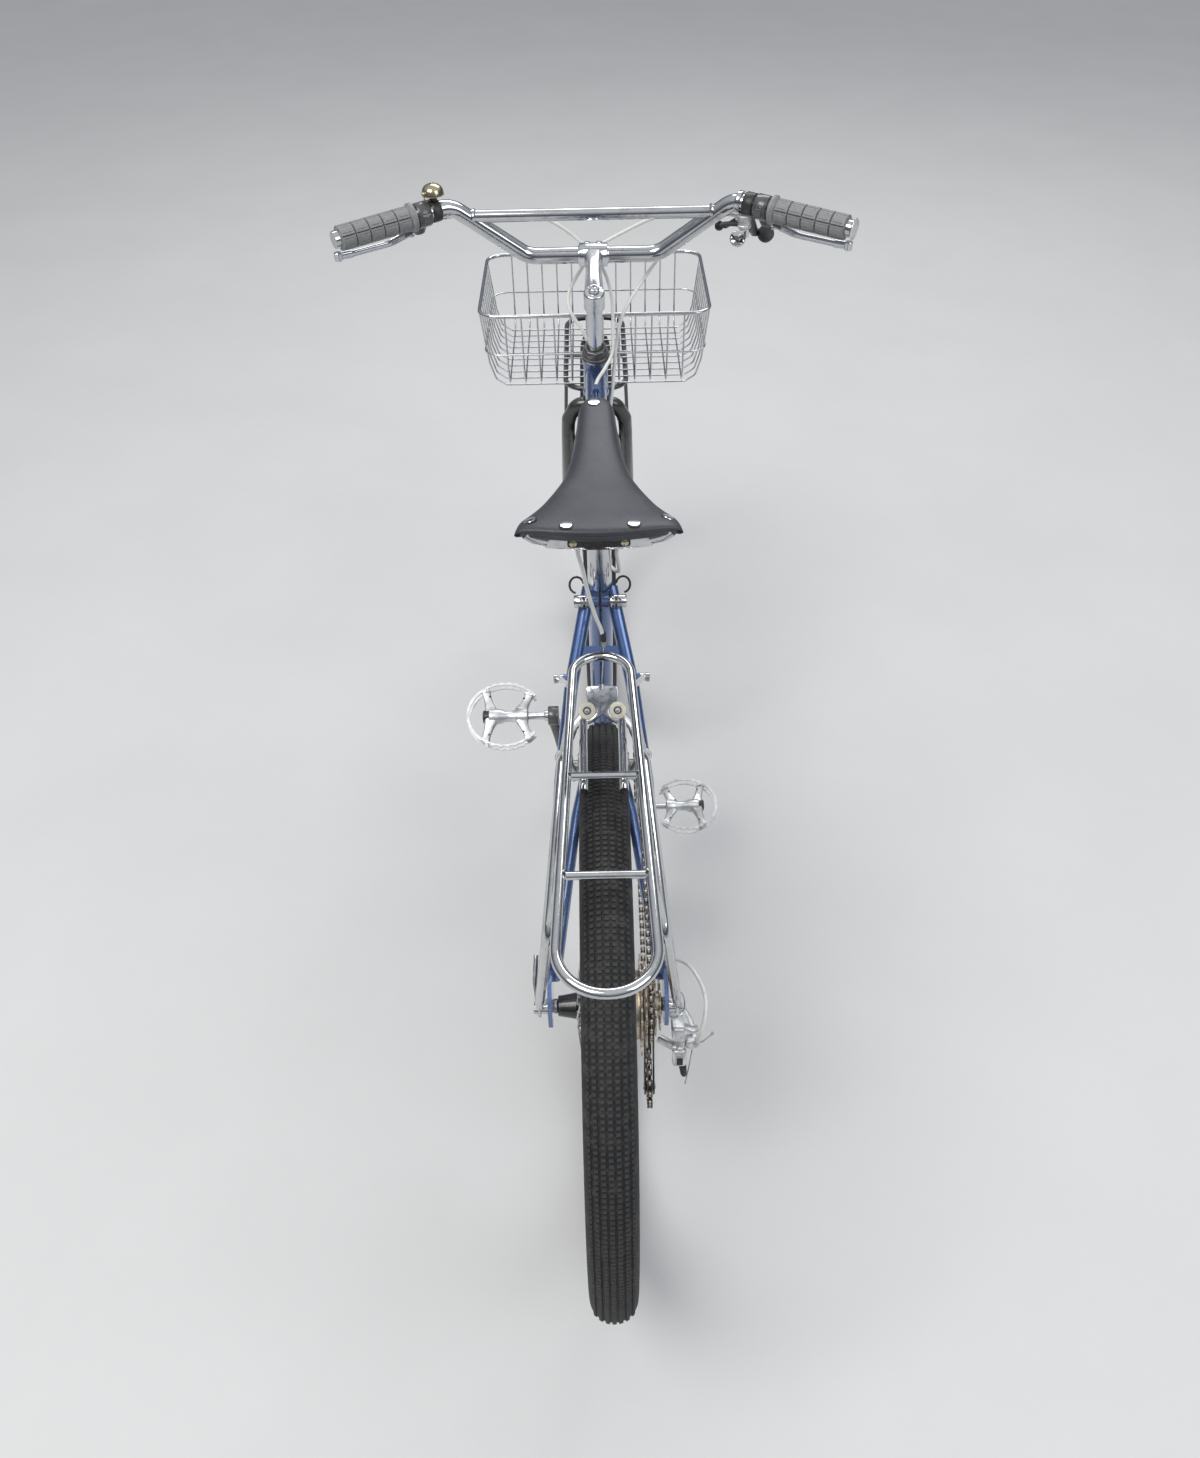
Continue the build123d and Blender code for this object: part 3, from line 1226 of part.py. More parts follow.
TOP_TUBE_S = HEAD_LOW_S + 48.0
DOWN_TUBE_S = HEAD_LOW_S + 28.0
TOP_DIR = (seat(SEAT_TUBE_L - 25) - head(TOP_TUBE_S)).normalized()
TOP_NORMAL = Vector(0, TOP_DIR.Z, -TOP_DIR.Y)
DOWN_DIR = (seat(0) - head(DOWN_TUBE_S)).normalized()
TOP_STOP = head(TOP_TUBE_S) + TOP_DIR * 85 + TOP_NORMAL * (TOP_TUBE_R + HOUSING_R + 4 * GAP)
DOWN_STOP = head(DOWN_TUBE_S) + DOWN_DIR * 70 + Vector(DOWN_TUBE_R + HOUSING_R + 2 * GAP, 0, 0)
CROWN_STOP = head(CROWN_S + 18, 0, 28)
CROWN_STOP_WAY = Vector(0, 0.1, -1).normalized()

# Points of each housing between its two ends, measured from the bar's clamp,
# with the direction it leaves and arrives in
CABLE_ROUTES = {
    "rear_brake_cable": (lever_outlet(-1), -grip_dir(-1), [
        (-150, 17, 55), (-81, 38, 45), (-46, 49, 24), (-14, 48, -2), (15, 29, -30), (26, 8, -60),
        (27, -14, -87), (26, -31, -105), (25, -58, -120), (14, -90, -126),
    ], TOP_STOP, TOP_DIR),
    "shift_cable": (shifter_outlet(), shifter_way(), [
        (160, 24, 40), (115, 36, 6), (88, 28, -24), (66, 14, -50), (43, -8, -76), (34, -18, -102),
        (28, -34, -142), (24, -61, -179),
    ], DOWN_STOP, DOWN_DIR),
    "front_brake_cable": (lever_outlet(1), -grip_dir(1), [
        (150, 19, 56), (90, 46, 36), (38, 56, 8), (2, 54, -10), (-20, 36, -36), (-38, 12, -57),
        (-38, -6, -72), (-30, -12, -86), (-12, -13, -112),
    ], CROWN_STOP, CROWN_STOP_WAY),
}


def housing(start, start_way, between, end, end_way):
    """Cable housing that leaves its first seat and meets its last one straight."""
    last = end - end_way * 2 * GAP
    way = [CLAMP + Vector(p) for p in between]
    points = [start, start + start_way * 14, *way, last - end_way * 14, last]
    path = Spline(*points)
    return sweep(Plane(origin=path @ 0, z_dir=path % 0) * RegularPolygon(HOUSING_R, 8), path=path)


# Assembly

add("frame", make_frame())
add("headset_cups", *make_headset_cups())
add("bracket_cups", *make_bracket_cups())
add("seatpost", make_seatpost())
add("seat_binder", make_seat_binder())
add("saddle_rails", make_saddle_rails())
add("saddle_cover", make_saddle_cover())
add("rear_rack", make_rear_rack())
add("rear_brake_arms", *make_rear_brake_arms())
add("rear_brake_rollers", *make_rear_brake_rollers())
add("rear_brake_cam", make_rear_brake_cam())
REAR_TANGENT = Vector(0, -(BRAKE_PIVOT.Z - WHEEL_R), BRAKE_PIVOT.Y)
add("rear_brake_pads", *make_brake_pads(brake, PAD_UP, REAR_TANGENT))
add("rear_derailleur", make_rear_derailleur())
add("derailleur_cage", make_derailleur_cage())
add("chain", make_chain())
add("rear_axle", make_axle(0.0, REAR_HUB_W / 2, REAR_HUB_W / 2 - 6, REAR_HUB_W / 2 - 2.2, DROPOUT_T))
add("rear_tyre", turned(0, WHEEL_R, TYRE_PROFILE))
add("rear_rim", turned(0, WHEEL_R, RIM_PROFILE))
add("rear_spokes", *make_spokes(0, *REAR_FLANGES, FLANGE_R + GAP))
add("rear_hub", make_hub(0, 6.3 - REAR_HUB_W / 2, FREEWHEEL_IN - GAP, *REAR_FLANGES, FLANGE_R, 15))
add("freewheel", make_freewheel())
add("crank_spindle", make_crank_spindle())
add("crank_left", crank_arm(-1, CRANK_ROOT_LEFT, CRANK_TIP_X))
add("crank_right", make_crank_right())
add("chainring", make_chainring())
add("pedal_axles", *make_pedal_axles())
add("pedal_left", make_pedal(-1, PEDAL_TILT_LEFT))
add("pedal_right", make_pedal(1, PEDAL_TILT_RIGHT))
add("fork", make_fork())
add("headset_nuts", make_headset_nuts())
add("front_brake_arms", *make_front_brake_arms())
FRONT_REACH = fork_brake(0, FRONT_PAD_UP) - Vector(0, FRONT_AXLE_Y, WHEEL_R)
FRONT_TANGENT = Vector(0, -FRONT_REACH.Z, FRONT_REACH.Y)
add("front_brake_pads", *make_brake_pads(fork_brake, FRONT_PAD_UP, FRONT_TANGENT))
add("stem", make_stem())
add("handlebar", make_handlebar())
for word, side in (("left", -1), ("right", 1)):
    add(f"grip_{word}", make_grip(side))
    add(f"brake_lever_{word}", make_brake_lever(side))
add("shifter", make_shifter())
add("bell", make_bell())
add("front_rack", make_front_rack())
add("basket", *make_basket())
FRONT_NUT_X = FRONT_HUB_W / 2 - 7
add("front_axle", make_axle(FRONT_AXLE_Y, FRONT_HUB_W / 2, FRONT_NUT_X, FRONT_NUT_X, FORK_END_T))
add("front_tyre", turned(FRONT_AXLE_Y, WHEEL_R, TYRE_PROFILE))
add("front_rim", turned(FRONT_AXLE_Y, WHEEL_R, RIM_PROFILE))
add("front_spokes", *make_spokes(FRONT_AXLE_Y, *FRONT_FLANGES, FLANGE_R - 4 + GAP))
add("front_hub", make_hub(FRONT_AXLE_Y, GAP - FRONT_NUT_X, FRONT_NUT_X - GAP, *FRONT_FLANGES, FLANGE_R - 4, 13))
for name, route in CABLE_ROUTES.items():
    add(name, housing(*route))

os.makedirs("parts", exist_ok=True)
for name, shape in NODES.items():
    export_step(shape.moved(Location(-Vector(SEAT_POINT))), f"parts/{name}.step")
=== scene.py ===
import bmesh
import bpy
import json
from math import acos, atan2, cos, hypot, pi, radians, sin, sqrt
from mathutils import Matrix, Vector

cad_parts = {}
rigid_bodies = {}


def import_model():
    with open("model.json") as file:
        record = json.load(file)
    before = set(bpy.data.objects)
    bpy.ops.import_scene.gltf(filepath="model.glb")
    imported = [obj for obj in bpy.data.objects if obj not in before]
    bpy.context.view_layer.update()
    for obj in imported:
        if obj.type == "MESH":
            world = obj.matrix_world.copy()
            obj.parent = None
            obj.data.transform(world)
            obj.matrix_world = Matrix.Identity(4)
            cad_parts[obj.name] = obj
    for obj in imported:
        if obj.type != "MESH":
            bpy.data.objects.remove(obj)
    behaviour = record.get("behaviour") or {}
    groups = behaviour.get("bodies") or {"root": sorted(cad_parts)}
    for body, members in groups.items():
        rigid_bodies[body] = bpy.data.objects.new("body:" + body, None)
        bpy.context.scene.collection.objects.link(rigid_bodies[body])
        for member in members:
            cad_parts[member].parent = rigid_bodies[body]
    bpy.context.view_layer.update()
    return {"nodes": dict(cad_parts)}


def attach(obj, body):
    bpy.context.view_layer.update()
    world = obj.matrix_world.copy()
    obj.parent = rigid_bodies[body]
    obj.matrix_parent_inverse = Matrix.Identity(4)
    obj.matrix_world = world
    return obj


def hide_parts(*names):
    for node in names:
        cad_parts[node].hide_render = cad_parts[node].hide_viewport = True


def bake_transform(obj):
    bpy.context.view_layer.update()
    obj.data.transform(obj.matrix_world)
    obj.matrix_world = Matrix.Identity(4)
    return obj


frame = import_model()
for unwanted in [o for o in bpy.data.objects if o.name in ("Cube", "Light", "Camera")]:
    bpy.data.objects.remove(unwanted)

# Camera: the photograph's fitted view, set first because cords are checked against it. Places are in
# workshop millimetres, as in the part's source, with the rear axle at Y = 0 and the ground at Z = 0.
# metres() brings them to the shared frame, whose origin is the rider's seat point.
SEAT_POINT = Vector((0, 235, 884))
TO_FRAME = Matrix.Scale(0.001, 4) @ Matrix.Translation(-SEAT_POINT)


def metres(point):
    return TO_FRAME @ Vector(point)


CAMERA_AT = metres((0.5, -749.2, 1485.8))
YAW, PITCH, ROLL = radians(-0.22), radians(43.33), radians(-1.3)
SENSOR, FOCAL_PIXELS, PHOTO_WIDTH = 36.0, 1136.9, 1200.0
look = Vector((sin(YAW) * cos(PITCH), cos(YAW) * cos(PITCH), -sin(PITCH)))
level = Vector((cos(YAW), -sin(YAW), 0))
upward = level.cross(look)
right = level * cos(ROLL) + upward * sin(ROLL)
above = upward * cos(ROLL) - level * sin(ROLL)
camera_data = bpy.data.cameras.new("camera")
camera_data.sensor_fit = "HORIZONTAL"
camera_data.sensor_width = SENSOR
camera_data.lens = SENSOR * FOCAL_PIXELS / PHOTO_WIDTH
camera_data.clip_end = 60.0
camera = bpy.data.objects.new("camera", camera_data)
bpy.context.scene.collection.objects.link(camera)
turn = Matrix((right, above, -look)).transposed().to_4x4()
camera.matrix_world = Matrix.Translation(CAMERA_AT) @ turn
bpy.context.scene.camera = camera

# Frame tubes and crank spindle: these two solids are shown as the CAD has them. The tubes get blue
# metallic lacquer under a clear coat, and the spindle plain steel.


def finish_material(name, colour, roughness, metallic=0.0, vary=0.12, vary_scale=60.0, grain=900.0,
                    bump=0.0, rough_vary=0.08, dirt=None, dirt_share=0.0, dirt_scale=35.0,
                    wear=None, wear_share=0.0, coat=0.0, coat_rough=0.05, stretch=(1, 1, 1)):
    """Surface with uneven colour and gloss, fine grain, grime in patches and wear on edges. All of it
    is made of nodes in object coordinates, so that every scale counts per metre."""
    material = bpy.data.materials.new(name)
    material.use_nodes = True
    tree = material.node_tree
    nodes, links = tree.nodes, tree.links
    shader = nodes["Principled BSDF"]
    shader.inputs["Metallic"].default_value = metallic
    shader.inputs["Coat Weight"].default_value = coat
    shader.inputs["Coat Roughness"].default_value = coat_rough
    place = nodes.new("ShaderNodeTexCoord")
    mapping = nodes.new("ShaderNodeMapping")
    mapping.inputs["Scale"].default_value = stretch
    links.new(place.outputs["Object"], mapping.inputs["Vector"])

    def cloud(scale, detail=4.0, rough=0.55):
        node = nodes.new("ShaderNodeTexNoise")
        node.inputs["Scale"].default_value = scale
        node.inputs["Detail"].default_value = detail
        node.inputs["Roughness"].default_value = rough
        links.new(mapping.outputs["Vector"], node.inputs["Vector"])
        return node.outputs["Fac"]

    def spread(value, low, high, to_low, to_high):
        node = nodes.new("ShaderNodeMapRange")
        for socket, number in zip(("From Min", "From Max", "To Min", "To Max"), (low, high, to_low, to_high)):
            node.inputs[socket].default_value = number
        links.new(value, node.inputs["Value"])
        return node.outputs["Result"]

    def mixed(share, a, b):
        node = nodes.new("ShaderNodeMix")
        node.data_type = "RGBA"
        for socket, value in ((node.inputs["Factor"], share), (node.inputs["A"], a), (node.inputs["B"], b)):
            if isinstance(value, bpy.types.NodeSocket):
                links.new(value, socket)
            else:
                socket.default_value = value
        return node.outputs["Result"]

    dark = tuple(max(0.0, c * (1 - vary)) for c in colour) + (1,)
    light = tuple(min(1.0, c * (1 + vary)) for c in colour) + (1,)
    base = mixed(spread(cloud(vary_scale), 0.3, 0.7, 0.0, 1.0), dark, light)
    fine = cloud(grain, 3.0, 0.6)
    gloss = spread(fine, 0.3, 0.7, max(0.02, roughness - rough_vary), min(1.0, roughness + rough_vary))
    if dirt_share:
        patches = spread(cloud(dirt_scale, 8.0, 0.7), 0.62 - 0.3 * dirt_share, 0.72 - 0.2 * dirt_share, 0.0,
                         dirt_share)
        base = mixed(patches, base, tuple(dirt) + (1,))
        add = nodes.new("ShaderNodeMath")
        add.operation = "MULTIPLY_ADD"
        add.use_clamp = True
        links.new(patches, add.inputs[0])
        add.inputs[1].default_value = 0.35
        links.new(gloss, add.inputs[2])
        gloss = add.outputs[0]
    if wear_share:
        geometry = nodes.new("ShaderNodeNewGeometry")
        edges = spread(geometry.outputs["Pointiness"], 0.52, 0.62, 0.0, wear_share)
        base = mixed(edges, base, tuple(wear) + (1,))
    links.new(base, shader.inputs["Base Color"])
    links.new(gloss, shader.inputs["Roughness"])
    if bump:
        node = nodes.new("ShaderNodeBump")
        node.inputs["Strength"].default_value = 0.6
        node.inputs["Distance"].default_value = bump
        links.new(cloud(grain, 4.0, 0.6), node.inputs["Height"])
        links.new(node.outputs["Normal"], shader.inputs["Normal"])
    return material


GRIME = (0.05, 0.04, 0.03)
blue = finish_material("blue_paint", (0.07, 0.13, 0.30), 0.28, 0.75, vary=0.18, vary_scale=2600, grain=2600,
                       coat=1.0, coat_rough=0.04, rough_vary=0.1, dirt=(0.02, 0.03, 0.08), dirt_share=0.25,
                       dirt_scale=14, wear=(0.2, 0.26, 0.45), wear_share=0.3)
steel = finish_material("steel", (0.50, 0.50, 0.50), 0.36, 1.0, vary=0.15, grain=1200, rough_vary=0.12,
                        dirt=GRIME, dirt_share=0.5, bump=0.0001)
for node, material in (("frame", blue), ("crank_spindle", steel)):
    kept = frame["nodes"][node]
    kept.data.materials.clear()
    kept.data.materials.append(material)
    kept.data.shade_smooth()
    kept.data.set_sharp_from_angle(angle=radians(32))

# Weld beads: the frame is fillet-brazed, so a thin raised ring shows under the paint at both ends of
# the top tube and at the head end of the down tube.
WHEEL_R = 333.0
BRACKET = Vector((0, 440, 290))
FRONT_AXLE = Vector((0, 1017, WHEEL_R))
SEAT_ANGLE = radians(72)
HEAD_ANGLE = radians(70)
SEAT_UP = Vector((0, -cos(SEAT_ANGLE), sin(SEAT_ANGLE)))
HEAD_UP = Vector((0, -cos(HEAD_ANGLE), sin(HEAD_ANGLE)))
HEAD_FORWARD = Vector((0, sin(HEAD_ANGLE), cos(HEAD_ANGLE)))
RAKE = 45.0
HEAD_FOOT = FRONT_AXLE - HEAD_FORWARD * RAKE
RIGHT = Vector((1, 0, 0))


def seat(s):
    """Point s above the bottom bracket on the seat tube's axis."""
    return BRACKET + SEAT_UP * s


def head(s, x=0.0, forward=0.0):
    """Point s along the steering axis, x to the right and forward of it."""
    return HEAD_FOOT + HEAD_UP * s + HEAD_FORWARD * forward + Vector((x, 0, 0))


def turns(count, shift=0):
    """Angles that share out a full turn, a part of a step on from zero."""
    return [2 * pi * (k + shift) / count for k in range(count)]


def skin(bm, rings, closed=False, capped=True):
    """Quads between neighbouring rings with as many points, and a face at each open end."""
    for a, b in zip(rings, rings[1:] + rings[:1] if closed else rings[1:]):
        for k in range(len(a)):
            j = (k + 1) % len(a)
            bm.faces.new((a[k], a[j], b[j], b[k]))
    if capped and not closed:
        bm.faces.new(rings[0][::-1])
        bm.faces.new(rings[-1])


def piece(name, bm, body, materials, replaces=(), angle=38.0, subdivide=0):
    """Turns a mesh in workshop millimetres into a piece that rides on a body."""
    bm.transform(TO_FRAME)
    mesh = bpy.data.meshes.new(name)
    bm.to_mesh(mesh)
    bm.free()
    for material in materials if isinstance(materials, (list, tuple)) else [materials]:
        mesh.materials.append(material)
    mesh.shade_smooth()
    mesh.set_sharp_from_angle(angle=radians(angle))
    obj = bpy.data.objects.new(name, mesh)
    bpy.context.scene.collection.objects.link(obj)
    if subdivide:
        modifier = obj.modifiers.new("subdivision", "SUBSURF")
        modifier.levels = subdivide
        modifier.render_levels = subdivide
    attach(obj, body)
    if replaces:
        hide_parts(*replaces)
    return obj


def tube(bm, points, radius, sides, closed=False, flat=1.0, flat_way=None):
    """Tube along the points, made flat one way if wanted. Its radius may follow the share of the way."""
    points = [Vector(p) for p in points]
    count = len(points)
    rings, normal = [], None
    for i, point in enumerate(points):
        before = points[i - 1] if i or closed else point
        after = points[(i + 1) % count] if i < count - 1 or closed else point
        along = (after - before).normalized()
        if normal is None:
            normal = flat_way.copy() if flat_way else along.orthogonal()
        normal = (normal - along * normal.dot(along)).normalized()
        side = along.cross(normal)
        r = radius(i / max(1, count - 1)) if callable(radius) else radius
        rings.append([bm.verts.new(point + normal * (cos(a) * r * flat) + side * (sin(a) * r))
                      for a in turns(sides, 0.5)])
    skin(bm, rings, closed)


TUBE_R, DOWN_TUBE_R = 14.3, 15.9
TOP_REAR, TOP_FRONT, DOWN_FRONT = seat(430), head(436), head(416)
top_way = (TOP_FRONT - TOP_REAR).normalized()
down_way = (DOWN_FRONT - BRACKET).normalized()
bm = bmesh.new()
for foot, way, tube_r in ((TOP_REAR + top_way * TUBE_R, top_way, TUBE_R),
                          (TOP_FRONT - top_way * 18.6, -top_way, TUBE_R),
                          (DOWN_FRONT - down_way * 20.5, -down_way, DOWN_TUBE_R)):
    across = way.cross(RIGHT).normalized()
    ring = []
    for a in turns(40):
        curve = tube_r * (1 - sqrt(max(0.0, 1 - (0.72 * cos(a)) ** 2)))
        ring.append(foot + RIGHT * (cos(a) * tube_r) + across * (sin(a) * tube_r) - way * (curve * 0.9))
    tube(bm, ring, 1.5, 8, closed=True)
piece("frame_joint_beads", bm, "frame", blue)

# Cable guides: two small brazed arches on the top tube's upper side, on the line of the rear brake's
# bare wire.
TOP_NORMAL = Vector((0, -top_way.z, top_way.y))
bm = bmesh.new()
for share in (0.42, 0.8):
    spot = TOP_FRONT + (TOP_REAR - TOP_FRONT) * share + TOP_NORMAL * 14.0
    arch = [spot + RIGHT * (4.6 * cos(a)) + TOP_NORMAL * (4.2 * sin(a)) for a in turns(16)[:9]]
    tube(bm, arch, 1.1, 8, flat=2.6, flat_way=top_way)
piece("top_tube_guides", bm, "frame", blue)

# Headset: black steel cups pressed into the head tube, with a stack of races and an eight-sided lock
# nut on the steerer, which turn with the fork.


def lathe(bm, profile, origin, axis, sides, ring_shape=False, index=0):
    """Body of revolution. The profile is (along, radius); a ring shape closes on itself."""
    origin, axis = Vector(origin), Vector(axis).normalized()
    first = axis.orthogonal().normalized()
    second = axis.cross(first)
    rings = []
    for along, r in profile:
        centre = origin + axis * along
        if r < 1e-6:
            rings.append([bm.verts.new(centre)])
            continue
        rings.append([bm.verts.new(centre + (first * cos(a) + second * sin(a)) * r) for a in turns(sides)])
    for a, b in zip(rings, rings[1:] + rings[:1] if ring_shape else rings[1:]):
        for k in range(sides):
            j = (k + 1) % sides
            if len(a) == 1 and len(b) == 1:
                continue
            if len(a) == 1:
                corners = (a[0], b[j], b[k])
            elif len(b) == 1:
                corners = (a[k], a[j], b[0])
            else:
                corners = (a[k], a[j], b[j], b[k])
            bm.faces.new(corners).material_index = index
    if not ring_shape:
        if len(rings[0]) > 1:
            bm.faces.new(rings[0][::-1]).material_index = index
        if len(rings[-1]) > 1:
            bm.faces.new(rings[-1]).material_index = index


def loft(bm, sections, capped=True):
    """Skin over closed sections with the same number of points."""
    skin(bm, [[bm.verts.new(p) for p in section] for section in sections], capped=capped)


black_paint = finish_material("black_paint", (0.012, 0.012, 0.013), 0.32, 0.0, vary=0.3, grain=900,
                              rough_vary=0.1, coat=0.5, coat_rough=0.12, dirt=(0.09, 0.085, 0.075),
                              dirt_share=0.2, wear=(0.35, 0.35, 0.36), wear_share=0.35)
bm = bmesh.new()
lathe(bm, [(388.1, 15.2), (388.1, 20), (385, 20), (383.6, 18.7), (381.5, 18.7), (380.4, 19.8), (377.6, 19.8),
           (377.3, 13.8), (388.1, 13.8)], HEAD_FOOT, HEAD_UP, 56, ring_shape=True)
lathe(bm, [(458, 13.8), (458, 19.6), (459.5, 20), (461.6, 20), (462.4, 18.6), (464, 18.6), (464.9, 19.7),
           (467.4, 19.7), (468, 19), (468, 13.8)], HEAD_FOOT, HEAD_UP, 56, ring_shape=True)
piece("headset_cup_pair", bm, "frame", black_paint, ["headset_cups"])
bm = bmesh.new()
lathe(bm, [(468.3, 12.75), (468.3, 17.2), (469.3, 17.5), (471.6, 17.5), (472.2, 16.3), (472.8, 16.3),
           (473.4, 17.4), (474.6, 17.4), (475, 15.6), (475.5, 15.6), (475.5, 12.75)], HEAD_FOOT, HEAD_UP, 56,
      ring_shape=True)
flats = [(a, min(17.4, 15.4 / max(0.2, cos((a % (pi / 4)) - pi / 8)))) for a in turns(48)]
rings = []
for s, cut in ((475.5, 0.4), (476, 0.0), (478.6, 0.0), (479.2, 0.9)):
    rings.append([head(s, (r - cut) * cos(a), (r - cut) * sin(a)) for a, r in flats])
inner = [[head(s, 12.75 * cos(a), 12.75 * sin(a)) for a in turns(48)] for s in (479.2, 475.5)]
loft(bm, rings + inner + [rings[0]], capped=False)
bmesh.ops.remove_doubles(bm, verts=bm.verts[:], dist=1e-4)
bmesh.ops.recalc_face_normals(bm, faces=bm.faces[:])
piece("headset_lock_stack", bm, "steering", black_paint, ["headset_nuts"], angle=30)

# Bottom bracket: a threaded cup on each side of the shell, with six raised lugs for the spanner. The
# crank spindle runs through both.


def box(bm, centre, size, x_way, up_way, bevel, segments):
    """Box with rounded edges, its first side along x_way and its third along up_way."""
    up_way = Vector(up_way).normalized()
    x_way = (Vector(x_way) - up_way * Vector(x_way).dot(up_way)).normalized()
    y_way = up_way.cross(x_way)
    place = Matrix((x_way * size[0], y_way * size[1], up_way * size[2])).transposed().to_4x4()
    made = bmesh.ops.create_cube(bm, size=1.0, matrix=Matrix.Translation(Vector(centre)) @ place)
    edges = list(set(e for v in made["verts"] for e in v.link_edges))
    bmesh.ops.bevel(bm, geom=edges, offset=bevel, segments=segments, affect="EDGES", profile=0.5)


bm = bmesh.new()
for side in (-1, 1):
    lathe(bm, [(34.05, 9.2), (34.05, 19), (36.6, 19), (37.4, 18.2), (37.4, 14), (36, 13.4), (36, 9.2)],
          BRACKET, RIGHT * side, 48, ring_shape=True)
    for a in turns(6):
        box(bm, BRACKET + Vector((side * 37.2, 16.2 * cos(a), 16.2 * sin(a))), (1.4, 3.4, 5.0), RIGHT,
            Vector((0, cos(a), sin(a))), 0.4, 1)
piece("bracket_cup_pair", bm, "frame", steel, ["bracket_cups"])

# Seat post: a polished alloy pillar with a forged head; two half clamps hold the saddle's rails
# on a cross bolt.
UP = Vector((0, 0, 1))


def bolt(bm, at, way, r, height, socket=True):
    """Socket-headed or domed bolt whose head stands out along way from at."""
    if socket:
        profile = [(0, 0), (0, r), (height - 0.6, r), (height, r - 0.6), (height, r * 0.55),
                   (height - 1.6, r * 0.5), (height - 1.6, 0)]
    else:
        profile = [(0, 0), (0, r), (height * 0.45, r), (height * 0.8, r * 0.75), (height, r * 0.3),
                   (height, 0)]
    lathe(bm, profile, at, way, 20)


polished = finish_material("polished_alloy", (0.62, 0.63, 0.65), 0.16, 1.0, vary=0.06, vary_scale=30,
                           grain=1300, stretch=(1, 1, 0.12), rough_vary=0.07, dirt=(0.42, 0.41, 0.39),
                           dirt_share=0.25)
bm = bmesh.new()
lathe(bm, [(0, 0), (0, 13.0), (0.6, 13.3), (222, 13.3), (226, 12.9), (233, 11.0), (240, 8.0), (240, 0)],
      seat(352), SEAT_UP, 64)
bed = Vector((0, 440 - 562 / sin(SEAT_ANGLE) * cos(SEAT_ANGLE), 852))
for side in (-1, 1):
    lathe(bm, [(14.5, 0), (14.5, 10.2), (15.5, 11), (24.6, 11), (25.5, 10), (25.5, 0)], bed - UP,
          RIGHT * side, 40)
    bolt(bm, bed - UP + RIGHT * side * 25.4, RIGHT * side, 5.2, 3.4, socket=side > 0)
lathe(bm, [(-15, 0), (-15, 9), (15, 9), (15, 0)], bed - UP, RIGHT, 32)
piece("seat_pillar", bm, "frame", polished, ["seatpost"])

# Seat clamp: the chromed pinch bolt of the frame's two ears. Its round ends stand out on both sides,
# the left one turned with rings, and a black rubber loop hangs from each.
chrome = finish_material("chrome", (0.58, 0.59, 0.60), 0.07, 1.0, vary=0.05, grain=500, rough_vary=0.05,
                         dirt=(0.24, 0.21, 0.18), dirt_share=0.35, dirt_scale=45)
black_plastic = finish_material("black_plastic", (0.022, 0.022, 0.023), 0.42, 0.0, vary=0.2, grain=2200,
                                bump=0.00012, rough_vary=0.08, dirt=(0.1, 0.095, 0.085), dirt_share=0.2)
bm = bmesh.new()
back = seat(448) + Vector((0, -22.3, -3))
for side in (-1, 1):
    lathe(bm, [(10.3, 0), (10.3, 5.2), (11.5, 5.2), (12, 7.0), (13, 7.4), (28.4, 7.4), (29.6, 6.6),
               (29.6, 3.2), (27.6, 2.8), (27.6, 0)], back, RIGHT * side, 40)
    for k in range(3):
        lathe(bm, [(15.5 + 4.2 * k, 7.35), (15.7 + 4.2 * k, 7.5), (16.3 + 4.2 * k, 7.5),
                   (16.5 + 4.2 * k, 7.35)], back, RIGHT * side, 40)
piece("seat_clamp_bolt", bm, "frame", chrome, ["seat_binder"])
bm = bmesh.new()
for side in (-1, 1):
    loop = [back + Vector((side * (26 + 8 * cos(a)), 8 + 3 * sin(a), 17 + 9 * sin(a)))
            for a in [radians(-80 + 25 * k) for k in range(11)]]
    tube(bm, loop, 1.3, 8)
piece("seat_clamp_rubber_loops", bm, "frame", black_plastic, ())

# Saddle rails: chromed wire, bent in at the nose and out to the rear plate, whose ends curl back. A
# small dark plate without writing and two brass rivets sit on that plate.


def rounded(points, bend, steps=7, closed=False):
    """The points with an arc of radius bend at each corner."""
    points = [Vector(p) for p in points]
    count = len(points)
    path = []
    for i, here in enumerate(points):
        if not closed and i in (0, count - 1):
            path.append(here)
            continue
        before, after = points[i - 1], points[(i + 1) % count]
        u, v = (before - here).normalized(), (after - here).normalized()
        half = acos(max(-1.0, min(1.0, u.dot(v)))) / 2
        if half > pi / 2 - 0.02:
            path.append(here)
            continue
        back = bend / sin(half) * cos(half)
        centre = here + (u + v).normalized() * (bend / sin(half))
        first, last = here + u * back - centre, here + v * back - centre
        sweep = first.angle(last)
        for k in range(steps + 1):
            t = k / steps
            arm = (first * sin((1 - t) * sweep) + last * sin(t * sweep)) / sin(sweep)
            path.append(centre + arm)
    return path


